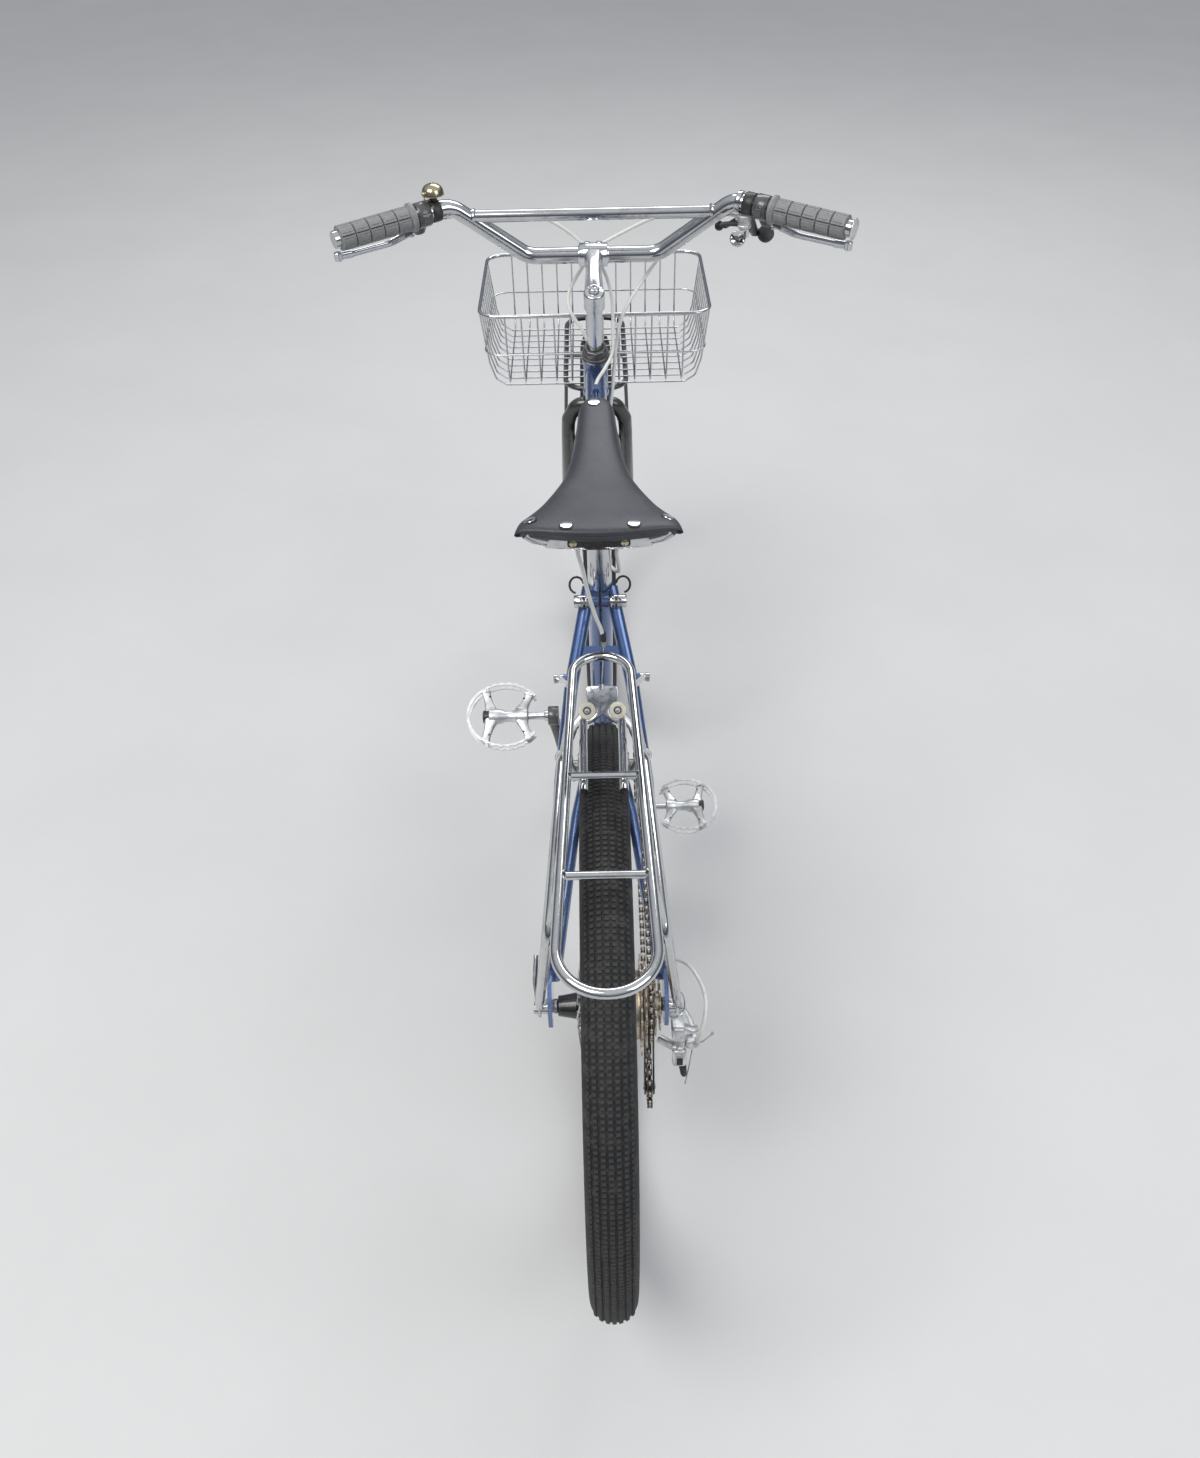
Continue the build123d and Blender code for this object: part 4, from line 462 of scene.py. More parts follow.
def slab(bm, outline, origin, x_way, y_way, thick, bevel, holes=()):
    """Flat plate from an outline, its thickness centred on the plane, with round holes."""
    origin, x_way, y_way = Vector(origin), Vector(x_way).normalized(), Vector(y_way).normalized()
    z_way = x_way.cross(y_way)
    scrap = bmesh.new()
    loops = []
    rings = [outline]
    for hx, hy, hr in holes:
        rings.append([(hx + hr * cos(a), hy + hr * sin(a)) for a in turns(20)])
    for ring in rings:
        verts = [scrap.verts.new((x, y, 0)) for x, y in ring]
        loops += [scrap.edges.new((a, b)) for a, b in zip(verts, verts[1:] + verts[:1])]
    bmesh.ops.triangle_fill(scrap, use_beauty=True, use_dissolve=True, edges=loops, normal=(0, 0, 1))
    made = bmesh.ops.extrude_face_region(scrap, geom=scrap.faces[:])
    raised = [v for v in made["geom"] if isinstance(v, bmesh.types.BMVert)]
    bmesh.ops.translate(scrap, vec=(0, 0, thick), verts=raised)
    bmesh.ops.recalc_face_normals(scrap, faces=scrap.faces[:])
    rim = [e for e in scrap.edges if len(e.link_faces) == 2 and e.calc_face_angle(0) > radians(60)
           and abs(e.verts[0].co.z - e.verts[1].co.z) < 1e-6]
    bmesh.ops.bevel(scrap, geom=rim, offset=bevel, segments=2, affect="EDGES", profile=0.5)
    bmesh.ops.translate(scrap, vec=(0, 0, -thick / 2), verts=scrap.verts[:])
    place = Matrix((x_way, y_way, z_way)).transposed().to_4x4()
    place.translation = origin
    scrap.transform(place)
    copies = {v: bm.verts.new(v.co) for v in scrap.verts}
    for face in scrap.faces:
        bm.faces.new([copies[v] for v in face.verts])
    scrap.free()


def oval(centre, x_way, y_way, half_x, half_y, power, sides):
    """Points of a rounded section; a power over 2 makes it squarer."""
    points = []
    for a in turns(sides, 0.5):
        c, s = cos(a), sin(a)
        u = abs(c) ** (2 / power) * (1 if c > 0 else -1)
        v = abs(s) ** (2 / power) * (1 if s > 0 else -1)
        points.append(Vector(centre) + Vector(x_way) * (half_x * u) + Vector(y_way) * (half_y * v))
    return points


brass = finish_material("brass", (0.50, 0.44, 0.29), 0.2, 1.0, vary=0.12, vary_scale=60, grain=900,
                        rough_vary=0.1, dirt=(0.25, 0.16, 0.06), dirt_share=0.35)
bare_plate = finish_material("bare_plate", (0.03, 0.028, 0.026), 0.36, 0.3, vary=0.3, vary_scale=500,
                             grain=1500, rough_vary=0.12, dirt=(0.12, 0.1, 0.08), dirt_share=0.4,
                             dirt_scale=250)
bm = bmesh.new()
for side in (-1, 1):
    tube(bm, rounded([(side * 24, 175, 866), (side * 20, 214, 852), (side * 20, 284, 852),
                      (side * 11, 338, 855), (side * 6, 392, 869)], 18), 3.5, 16)
box(bm, (0, 395, 869), (17, 9, 11), RIGHT, UP, 2.0, 3)
outline = []
for k in range(25):
    t = -1 + k / 12
    outline.append((52 * t, 8.4 - 4.5 * t * t))
for k in range(25):
    t = 1 - k / 12
    outline.append((52 * t, -8.4 + 3.5 * t * t))
slab(bm, outline, (0, 171.6, 865), RIGHT, UP, 3.0, 0.6)
for side in (-1, 1):
    tube(bm, rounded([(side * 50, 172, 866), (side * 62, 168, 872), (side * 70, 166, 879)], 10), 3.0, 12,
         flat=1.6, flat_way=UP)
piece("saddle_rail_set", bm, "frame", chrome, ["saddle_rails"])
bm = bmesh.new()
badge = [(p.x, p.y) for p in oval((0, 0, 0), (1, 0, 0), (0, 1, 0), 30.5, 5.2, 7.0, 40)]
slab(bm, badge, (0, 169.6, 865.5), RIGHT, UP, 1.6, 0.5)
piece("saddle_rear_bare_plate", bm, "frame", bare_plate, ())
bm = bmesh.new()
for side in (-1, 1):
    lathe(bm, [(0, 0), (0, 3.5), (0.8, 3.6), (1.6, 2.6), (2.0, 0)], (side * 25, 168.9, 865.5), (0, -1, 0), 24)
piece("saddle_plate_rivets", bm, "frame", brass, ())

# Saddle cover: one thick hide, moulded over the rails, with a rolled rear rim, deep side skirts cut
# away in the middle and a narrow nose. It is held by flush rivets at the rear plate and the nose.


def leather_material():
    """Black hide: pebbled grain, fine creases and a paler bloom in scattered patches."""
    material = finish_material("saddle_leather", (0.034, 0.036, 0.044), 0.46, 0.0, vary=0.25, vary_scale=18,
                               grain=1400, rough_vary=0.1, dirt=(0.10, 0.10, 0.105), dirt_share=0.3,
                               dirt_scale=30)
    tree = material.node_tree
    nodes, links = tree.nodes, tree.links
    place = nodes.new("ShaderNodeTexCoord")
    pebbles = nodes.new("ShaderNodeTexVoronoi")
    pebbles.inputs["Scale"].default_value = 620
    pebbles.feature = "SMOOTH_F1"
    creases = nodes.new("ShaderNodeTexNoise")
    creases.inputs["Scale"].default_value = 160
    creases.inputs["Detail"].default_value = 8
    add = nodes.new("ShaderNodeMath")
    add.operation = "ADD"
    bump = nodes.new("ShaderNodeBump")
    bump.inputs["Strength"].default_value = 0.5
    bump.inputs["Distance"].default_value = 0.0003
    links.new(place.outputs["Object"], pebbles.inputs["Vector"])
    links.new(place.outputs["Object"], creases.inputs["Vector"])
    links.new(pebbles.outputs["Distance"], add.inputs[0])
    links.new(creases.outputs["Fac"], add.inputs[1])
    links.new(add.outputs[0], bump.inputs["Height"])
    links.new(bump.outputs["Normal"], nodes["Principled BSDF"].inputs["Normal"])
    return material


leather = leather_material()
SADDLE = ((154, 81, 889, 14), (178, 78.5, 888, 18), (200, 71, 886, 26), (225, 60, 884, 34),
          (250, 49.5, 882.5, 38), (280, 38.5, 882, 48), (330, 28.5, 883, 46), (388, 22.5, 887, 36),
          (410, 21, 888, 28), (430, 20, 888, 22))
ACROSS = ((1.0, 1.0), (1.0, 0.8), (0.985, 0.55), (0.94, 0.34), (0.84, 0.17), (0.66, 0.06), (0.42, 0.018),
          (0.2, 0.004), (0.0, 0.0))
HIDE = 4.5


def between(table, y):
    """What a table's rows say at y, straight between its neighbours."""
    for low, high in zip(table, table[1:]):
        if y <= high[0]:
            t = (y - low[0]) / (high[0] - low[0])
            return [a + (b - a) * t for a, b in zip(low[1:], high[1:])]
    return table[-1][1:]


def saddle_point(x, y):
    """Point on top of the cover over x and y."""
    half, crown, skirt = between(SADDLE, y)
    share = min(1.0, abs(x) / half)
    for (wide, drop), (narrow, rise) in zip(ACROSS, ACROSS[1:]):
        if narrow <= share <= wide:
            t = (share - narrow) / max(1e-6, wide - narrow)
            return Vector((x, y, crown - skirt * (rise + (drop - rise) * t)))
    return Vector((x, y, crown))


def on_hide(x, y):
    """Point and normal on top of the cover over x and y."""
    across = saddle_point(x + 1, y) - saddle_point(x - 1, y)
    along = saddle_point(x, y + 2) - saddle_point(x, y - 2)
    return saddle_point(x, y), across.cross(along).normalized()


bm = bmesh.new()
level_rows = (166, 178, 190, 200, 212, 225, 238, 250, 265, 280, 305, 330, 360, 388, 400)
rows = [(158.5, -11), (154.6, -7.5), (154.4, -3), (158, -0.6)] + [(y, 0) for y in level_rows]
rows += [(408, 0), (415, -0.3), (421, -1.0), (425.5, -2.2), (428.6, -4.0), (430, -6.5)]
sections = []
for y, sink in rows:
    half, crown, skirt = between(SADDLE, max(154, y))
    nose = sqrt(max(0.1, 1 - (max(0.0, y - 405) / 25.6) ** 2))
    half, skirt = half * nose, skirt * (0.4 + 0.6 * nose)
    outer = [(half * fx, crown + sink - (skirt + sink) * fz) for fx, fz in ACROSS]
    inner = [(max(0.6, half - HIDE) * fx, crown + sink - HIDE - (skirt + sink - HIDE) * fz)
             for fx, fz in ACROSS]
    loop = outer + [(-x, z) for x, z in outer[-2::-1]] + [(-x, z) for x, z in inner[:-1]] + inner[::-1]
    arc = max(0.0, 1 - (y - 154) / 60)
    sections.append([(x, y + 14 * (x / 81) ** 2 * arc, z) for x, z in loop])
loft(bm, sections)
bmesh.ops.recalc_face_normals(bm, faces=bm.faces[:])
piece("saddle_hide", bm, "frame", leather, ["saddle_cover"], angle=80, subdivide=2)
bm = bmesh.new()
rear_rivets = [(-65.5, 181), (-30.8, 166), (33.6, 167), (67.0, 184)]
for x, y, r in [(x, y, 6.2) for x, y in rear_rivets] + [(-2.5, 409, 6.6)]:
    top, out = on_hide(x, y)
    lathe(bm, [(-2.4, 0), (-2.4, r * 0.7), (0.1, r), (0.7, r * 0.95), (1.0, r * 0.6), (1.1, 0)],
          top + out * 0.5, out, 28)
piece("saddle_rivets", bm, "frame", polished, ())
bm = bmesh.new()
for x, y in rear_rivets:
    top, out = on_hide(x, y)
    lathe(bm, [(-1.0, 5.6), (-1.0, 7.0), (0.1, 7.2), (0.3, 6.51)], top - out * 0.1, out, 28, ring_shape=True)
piece("saddle_rivet_washers", bm, "frame", black_plastic, ())

# Rear rack: chromed steel tube. A long hoop with two cross tubes is the deck; lower side rails run
# down into legs whose flattened feet are bolted to the dropouts, and struts reach the seat stays.
STAY_TOP = Vector((0, 305, 714))
STAY_FOOT = Vector((0, 20, 370))
FRONT_Y, FRONT_R, REAR_Y, REAR_R = 168.0, 31.0, -185.0, 43.0
DECK_Z, FOOT_X = 700.0, 79
bm = bmesh.new()
bend = acos((REAR_R - FRONT_R) / (FRONT_Y - REAR_Y))
hoop = []
for centre, r, low, high in ((FRONT_Y, FRONT_R, -bend, bend), (REAR_Y, REAR_R, bend, 2 * pi - bend)):
    for k in range(25):
        a = low + (high - low) * k / 24
        hoop.append((r * sin(a), centre + r * cos(a), DECK_Z))
tube(bm, hoop, 5.0, 20, closed=True)
for y, half in ((18.0, 35.5), (-105.0, 39.5)):
    tube(bm, [(-half, y, DECK_Z), (half, y, DECK_Z)], 4.0, 16)
    for side in (-1, 1):
        lathe(bm, [(0, 4.2), (1.6, 6.0), (3.4, 4.2)], (side * (half - 4.2), y, DECK_Z), RIGHT * side, 20)
for side in (-1, 1):
    rail = [(side * FOOT_X, -11, 362), (side * 42.5, 128, 640), (side * 53, -128, 640),
            (side * FOOT_X, -19, 362)]
    tube(bm, rounded(rail, 22, 10), 5.0, 18)
    slab(bm, [(-15, 8), (-17, -3), (-9, -9), (1, -3), (3, 10), (5, 24), (-1, 24), (-6, 10), (-9, 22),
              (-15, 22)], (side * FOOT_X, -7, 350), (0, 1, 0), UP, 3.4, 0.6)
    tube(bm, [(side * 33.5, 108, DECK_Z), (side * 43.3, 108, 640)], 3.5, 14)
    tube(bm, [(side * 41.5, -112, DECK_Z), (side * 52.2, -112, 640)], 3.5, 14)
    tab = STAY_TOP + (STAY_FOOT - STAY_TOP) * 0.232 + RIGHT * (side * 49.0)
    tube(bm, [(side * 33.5, 150, DECK_Z), tab], 3.5, 14)
    lathe(bm, [(-5, 0), (-5, 5), (-1.5, 5), (-1.5, 3.6), (1.5, 3.6), (1.5, 5.4), (5.5, 5.4), (6, 4.8),
               (6, 2.6), (4, 2.4), (4, 0)], tab, RIGHT * side, 24)
    tube(bm, rounded([(side * 19.5, 4, 693), (side * 19.5, 26, 693), (side * 20.5, 128, 668)], 12), 4.5, 16)
    lathe(bm, [(70.1, 0), (70.1, 6.0), (71.2, 6.0), (71.2, 5.2), (81, 5.2), (81, 6.4), (82, 6.4), (82, 4.9),
               (85.6, 4.9), (86, 4.4), (86, 2.3), (83.6, 2.1), (83.6, 0)], (0, -14, 348), RIGHT * side, 24)
piece("rear_rack_tubes", bm, "frame", chrome, ["rear_rack"])
bm = bmesh.new()
ring_way = Vector((0, 0.69, 0.72))
ring = [Vector((82, -12, 352)) + RIGHT * (6.4 * cos(a)) + ring_way * (13.2 * sin(a)) for a in turns(32)]
tube(bm, ring, 0.9, 8, closed=True)
piece("rack_foot_wire_ring", bm, "frame", polished, ())

# Rear brake: two forged arms pivot on bosses of the seat stays. A wire draws the hourglass cam plate
# up between the rollers on their upper ends, which presses the pads against the rim.
STAY_UP = (STAY_TOP - STAY_FOOT).normalized()
STAY_BACK = Vector((0, -STAY_UP.z, STAY_UP.y))
BRAKE_PIVOT = Vector((0, 169, 577.5))


def brake(x, up, back=0.0):
    """Point of the rear brake: x to the side, up along the stays and back from its arms."""
    return BRAKE_PIVOT + STAY_UP * up + STAY_BACK * back + Vector((x, 0, 0))


satin = finish_material("satin_alloy", (0.74, 0.75, 0.75), 0.36, 0.9, vary=0.12, vary_scale=90, grain=1600,
                        bump=0.00012, rough_vary=0.1, dirt=(0.2, 0.18, 0.16), dirt_share=0.45)
cream = finish_material("cream_plastic", (0.62, 0.60, 0.50), 0.45, 0.0, vary=0.08, grain=1500, bump=0.0001,
                        dirt=(0.2, 0.17, 0.12), dirt_share=0.35, dirt_scale=120)
pad_rubber = finish_material("pad_rubber", (0.03, 0.03, 0.032), 0.8, 0.0, vary=0.2, grain=1500, bump=0.0001)
ROLLER_X, ROLLER_UP = 17.3, 52
PAD_STUD = [(0, 0), (0, 6.5), (3.2, 6.5), (4, 5.6), (7, 5.6), (7.6, 6.5), (10.4, 6.5), (11, 5.8), (11, 0)]
bm = bmesh.new()
for side in (-1, 1):
    path = rounded([brake(side * ROLLER_X, ROLLER_UP, 0), brake(side * 35, 31, 0), brake(side * 45.5, 4, 0),
                    brake(side * 33, -20, 0)], 14, 6)
    tube(bm, path, lambda t: 4.6 + 1.8 * sin(pi * min(1.0, t * 1.4)), 16, flat=0.72, flat_way=STAY_BACK)
    lathe(bm, [(-5, 0), (-5, 7.2), (-4, 8), (6, 8), (7, 7), (7, 0)], brake(side * 47, 0, 0), STAY_BACK, 32)
    lathe(bm, [(-1, 0), (-1, 5.6), (0, 6.4), (2.4, 6.4), (3, 5.6), (3, 0)],
          brake(side * ROLLER_X, ROLLER_UP, 0), STAY_BACK, 28)
    lathe(bm, [(3, 0), (3, 2.9), (9.4, 2.9), (9.4, 0)], brake(side * ROLLER_X, ROLLER_UP, 0), STAY_BACK, 20)
    lathe(bm, PAD_STUD, brake(side * 24.3, -22, 0), RIGHT * side, 28)
    lathe(bm, [(0, 0), (0, 3.4), (7.4, 3.4), (8, 2.6), (8, 0)], brake(side * 30, -22, -1), -STAY_BACK, 20)
piece("rear_brake_forged_arms", bm, "frame", satin, ["rear_brake_arms"])
bm = bmesh.new()
for side in (-1, 1):
    bolt(bm, brake(side * 47, 0, 7), STAY_BACK, 5.2, 2.8)
    bolt(bm, brake(side * ROLLER_X, ROLLER_UP, 8.4), STAY_BACK, 2.6, 1.6, socket=False)
piece("rear_brake_bolts", bm, "frame", steel, ())
bm = bmesh.new()
for side in (-1, 1):
    lathe(bm, [(5.5, 3.1), (5.5, 8.8), (6.1, 9.6), (6.6, 9.8), (8.0, 9.8), (8.6, 9.5), (9.0, 8.6), (9.0, 5.4),
               (8.5, 5.2), (8.5, 3.1)], brake(side * ROLLER_X, ROLLER_UP, 0), STAY_BACK, 48, ring_shape=True)
piece("rear_brake_cam_rollers", bm, "frame", cream, ["rear_brake_rollers"])
bm = bmesh.new()
for side in (-1, 1):
    lathe(bm, [(8.2, 2.7), (8.2, 4.4), (9.1, 4.4), (9.1, 3.6), (8.7, 2.7)],
          brake(side * ROLLER_X, ROLLER_UP, 0), STAY_BACK, 32, ring_shape=True)
piece("roller_bore_rings", bm, "frame", black_plastic, ())
bm = bmesh.new()
outline = [(0, 80), (12, 80), (16.5, 78.5), (18, 75), (17.6, 67.6)]
for k in range(13):
    a = radians(96 + 14.5 * k)
    outline.append((ROLLER_X + 10.2 * cos(a), ROLLER_UP + 10.2 * sin(a)))
outline += [(20.4, 40.4), (16, 36.4), (8, 40.5), (0, 48)]
outline += [(-x, y) for x, y in outline[-2:0:-1]]
slab(bm, outline, brake(0, 0, 7.25), RIGHT, STAY_UP, 3.0, 0.5)
lathe(bm, [(0, 0), (0, 4.4), (2.2, 4.4), (2.8, 3.8), (2.8, 0)], brake(0, 72, 8.7), STAY_BACK, 6)
lathe(bm, [(0, 0), (0, 3.2), (5.5, 3.2), (6.0, 2.6), (6, 0)], brake(0, 76, 7.25), STAY_UP, 16)
piece("rear_brake_cam_plate", bm, "frame", polished, ["rear_brake_cam"])


def brake_pad(bm, centre, along, side):
    """Moulded block with a plain back and three drain slots across its face."""
    x_way = RIGHT * side
    for low, high in ((-23, -12.5), (-11.5, -0.5), (0.5, 11.5), (12.5, 23)):
        middle = centre + along * ((low + high) / 2)
        box(bm, middle - x_way * 0.2, (8.2, 10.6, high - low), x_way, along, 1.2, 2)
    box(bm, centre + x_way * 1.0, (6.6, 9.4, 45), x_way, along, 1.6, 2)


bm = bmesh.new()
along = Vector((0, WHEEL_R - BRAKE_PIVOT.z, BRAKE_PIVOT.y)).normalized()
for side in (-1, 1):
    brake_pad(bm, brake(side * 19.5, -22, 0), along, side)
piece("rear_pad_blocks", bm, "frame", pad_rubber, ["rear_brake_pads"])

# Rear brake wire: bare along the top tube to a stop before the seat tube, and again from the stop
# between the stays down to the cam plate. The housing between these stops is made with the others.
BRIDGE_STOP = Vector((3.0, 259.5, 663.0))
REAR_STOP = Vector((11.2, 345.0, 714.4))
HOUSING_R = 2.5
TOP_STOP = TOP_FRONT - top_way * 85 + TOP_NORMAL * (TUBE_R + HOUSING_R + 1.2)
bm = bmesh.new()
tube(bm, [BRIDGE_STOP + UP * 2, brake(0, 82, 7.25)], 0.9, 8)
tube(bm, [TOP_STOP - top_way * 12, REAR_STOP + Vector((0, 14, 1.0))], 0.8, 8)
piece("rear_brake_wire", bm, "frame", steel, ())
bm = bmesh.new()
lathe(bm, [(0, 0), (0, 2.6), (1, 3.4), (8, 3.4), (9, 3.0), (9, 0)], BRIDGE_STOP, UP, 20)
lathe(bm, [(0, 0), (0, 3.2), (1, 4.0), (9, 4.0), (10, 3.2), (10, 0)], REAR_STOP + Vector((0, 4, 0.3)),
      top_way, 20)
piece("bridge_stop_barrel", bm, "frame", steel, ())
bm = bmesh.new()
lathe(bm, [(0, 0), (0, 3.3), (11, 3.3), (12, 2.9), (12, 0)], BRIDGE_STOP + UP * 9, Vector((-0.05, 0.0, 1)),
      20)
piece("bridge_stop_ferrule", bm, "frame", black_plastic, ())

# Rear derailleur: a brushed alloy parallelogram bolted under the hanger, with limit screws, a cable
# barrel and the clamped end of the wire; its lower knuckle carries the cage.


def hexagon(bm, at, way, r, height):
    """Nut with chamfered corners."""
    lathe(bm, [(0, 0), (0, r), (height - 0.8, r), (height, r * 0.9), (height, 0)], at, way, 6)


BARREL_AT, BARREL_WAY = Vector((104.5, -24, 286)), Vector((0.08, -0.25, 0.96)).normalized()
bm = bmesh.new()
body_at, box_way = Vector((82.6, -1, 290)), Vector((0, 0.35, 0.9)).normalized()
face_way = box_way.cross(RIGHT)
lathe(bm, [(70.2, 0), (70.2, 8), (71, 9), (79, 9), (80.5, 8.2), (84, 7.4), (84, 3.2), (82, 3.0), (82, 0)],
      (0, 12, 302), RIGHT, 32)
box(bm, body_at, (15, 45, 19), RIGHT, box_way, 3.2, 3)
slab(bm, [(-7, -20), (6.4, -20), (6.8, 6), (7, 21), (-6.6, 21.5)], body_at + box_way * 9.9, RIGHT, face_way,
     1.6, 0.5)
slab(bm, [(-2, -5), (11, -13), (17, -12), (18, -20), (11, -25), (-2, -17)],
     Vector((88.5, -2, 291)) + box_way * 6.5, RIGHT, face_way, 4.5, 1.2)
tube(bm, [(90, 18, 297), (99, 4, 290), (103, -14, 282)], 3.2, 14, flat=0.6, flat_way=UP)
box(bm, (98, -16, 277), (13, 16, 12), RIGHT, box_way, 3.0, 3)
lathe(bm, [(0, 0), (0, 6.8), (1, 7.8), (15, 7.8), (17.4, 6.6), (17.4, 0)], (84, -18, 276), -UP, 32)
lathe(bm, [(0, 0), (0, 5.4), (30, 5.4), (30, 0)], (86, -18, 262), (57.2 - 86, 18, 0), 24)
box(bm, (84, -27, 262), (17, 12, 24), RIGHT, box_way, 4.0, 3)
box(bm, (84, -33, 263), (11, 3, 15), RIGHT, box_way, 1.2, 2)
for x, y, z in ((77.5, -24, 277), (84.5, -26.5, 278)):
    lathe(bm, [(0, 0), (0, 2.6), (3.4, 2.6), (3.8, 2.0), (3.8, 0)], (x, y, z), (0, -0.73, 0.69), 14)
lathe(bm, [(0, 0), (0, 3.6), (5, 3.6), (5.6, 3.0), (13, 3.0), (13, 2.7), (5, 2.6), (5, 0)],
      BARREL_AT - BARREL_WAY * 7, BARREL_WAY, 20)
piece("derailleur_body", bm, "frame", satin, ["rear_derailleur"])
bm = bmesh.new()
hexagon(bm, (104.0, -18, 276), RIGHT, 4.0, 3.0)
tube(bm, rounded([(105.6, -18, 276), (112, -21, 284), (121.5, -27, 311)], 12), 0.7, 8)
lathe(bm, [(-1, 0), (-1, 1.2), (0, 1.9), (2.4, 1.9), (3.2, 1.2), (3.2, 0)], (121.0, -26.7, 310),
      (0.3, -0.2, 0.9), 14)
tube(bm, [(99, -25, 272), (95.5, -33, 246), (92, -36, 214)], 0.8, 8)
piece("derailleur_wire_end", bm, "frame", steel, ())
bm = bmesh.new()
lathe(bm, [(0, 0), (0, 4.0), (2, 4.6), (14, 3.8), (17, 2.8), (18, 0)], (88, -30, 248), (0.12, -0.3, -0.95),
      24)
box(bm, (84, -35.2, 263), (7.4, 2.0, 9.5), RIGHT, box_way, 0.8, 2)
piece("derailleur_rubber_boot", bm, "frame", black_plastic, ())

# Chain guide cage: two stamped black plates joined by the bolts of the toothed guide pulleys. The
# chain's middle plane lies at CHAIN_X, and LINK is its pitch.
CHAIN_X, LINK = 49.0, 12.7
GUIDE, TENSION = Vector((0, 10, 262)), Vector((0, -24, 188))


def pitch_radius(teeth):
    """Radius on which the rollers lie in a wheel's teeth."""
    return LINK / (2 * sin(pi / teeth))


def sprocket(teeth, phase):
    """Outline of a toothed wheel as (radius, angle) points; a gap lies at the phase angle."""
    r = pitch_radius(teeth)
    points = []
    for k in range(teeth):
        for share, out in ((-0.30, -2.6), (-0.14, -3.75), (0.0, -4.0), (0.14, -3.75), (0.30, -2.6),
                           (0.37, -0.4), (0.45, 2.0), (0.55, 2.0), (0.63, -0.4)):
            points.append((r + out, phase + 2 * pi * (k + share) / teeth))
    return points


def toothed(bm, centre, teeth, phase, x_low, x_high, hole):
    """Toothed wheel as a flat ring between two x places, with teeth thinned at their tips."""
    centre = Vector(centre)
    outline = sprocket(teeth, phase)
    r = pitch_radius(teeth)
    thin = (x_high - x_low) * 0.28

    def at(x, radius, a):
        return bm.verts.new((x, centre.y + radius * cos(a), centre.z + radius * sin(a)))

    rings = []
    for x, sign in ((x_low, 1), (x_high, -1)):
        rings.append([at(x + sign * (thin if radius > r + 1 else 0), radius, a) for radius, a in outline])
    inner = [[at(x, hole, a) for radius, a in outline] for x in (x_high, x_low)]
    middle = [[at(x, max(hole + 0.2, r - 5.0), a) for radius, a in outline] for x in (x_high, x_low)]
    skin(bm, [rings[0], rings[1], middle[0], inner[0], inner[1], middle[1]], closed=True)


bm = bmesh.new()
reach = TENSION - GUIDE
cage_up = -reach.normalized()
cage_across = RIGHT.cross(cage_up)
long = reach.length
for x, wide in ((CHAIN_X - 5.5, 0.0), (CHAIN_X + 5.5, 2.0)):
    outline = []
    for k in range(13):
        a = radians(-12 + 17 * k)
        outline.append((10.4 * cos(a), 10.4 * sin(a)))
    outline += [(-7.5 - wide, -long * 0.3), (-7.0 - wide, -long * 0.6)]
    for k in range(13):
        a = radians(168 + 17 * k)
        outline.append((10.4 * cos(a), -long + 10.4 * sin(a)))
    outline += [(4.5, -long * 0.62), (4.2, -long * 0.36)]
    slab(bm, outline, Vector((x, GUIDE.y, GUIDE.z)), cage_across, cage_up, 1.9, 0.4,
         holes=[(0, -long * 0.5, 2.6)])
piece("chain_guide_cage", bm, "frame", black_paint, ["derailleur_cage"])
bm = bmesh.new()
for centre in (GUIDE, TENSION):
    bolt(bm, centre + RIGHT * (CHAIN_X + 6.4), RIGHT, 4.0, 1.6)
    lathe(bm, [(-1.4, 0), (-1.4, 3.4), (0, 3.4), (0, 0)], centre + RIGHT * (CHAIN_X - 6.4), RIGHT, 20)
piece("cage_bolts", bm, "frame", steel, ())
bm = bmesh.new()
for k, centre in enumerate((GUIDE, TENSION)):
    toothed(bm, centre, 11, radians(14 + 9 * k), CHAIN_X - 1.4, CHAIN_X + 1.4, 3.2)
    lathe(bm, [(-4.2, 3.1), (-4.2, 6.4), (4.2, 6.4), (4.2, 3.1)], centre + RIGHT * CHAIN_X, RIGHT, 24,
          ring_shape=True)
piece("guide_pulleys", bm, "frame", black_plastic, ())

# Chain: a closed loop of rollers between outer and inner side plates, run over ring, cog and pulleys.
# Its path is an arc round each of these wheels and a straight line from each to the next.
REAR_AXLE = Vector((0, 0, WHEEL_R))
RUST = (0.16, 0.06, 0.025)
chain_bright = finish_material("chain_bright", (0.56, 0.50, 0.42), 0.27, 1.0, vary=0.2, vary_scale=400,
                               grain=1500, rough_vary=0.1, dirt=RUST, dirt_share=0.35, dirt_scale=150)
chain_dark = finish_material("chain_dark", (0.10, 0.09, 0.085), 0.38, 0.85, vary=0.2, vary_scale=300,
                             grain=1500, rough_vary=0.12, dirt=RUST, dirt_share=0.3, dirt_scale=200)
WHEELS = ((BRACKET, 36, 1), (REAR_AXLE, 20, 1), (GUIDE, 11, -1), (TENSION, 11, 1))
leave, arrive = {}, {}
for i in range(4):
    j = (i + 1) % 4
    (c, teeth, turn), (d, other_teeth, other) = WHEELS[i], WHEELS[j]
    r, q = pitch_radius(teeth), pitch_radius(other_teeth)
    span = hypot(d.y - c.y, d.z - c.z)
    angle = atan2(d.z - c.z, d.y - c.y) - acos((turn * r - other * q) / span)
    leave[i] = (c.y + turn * r * cos(angle), c.z + turn * r * sin(angle))
    arrive[j] = (d.y + other * q * cos(angle), d.z + other * q * sin(angle))
stretches = []
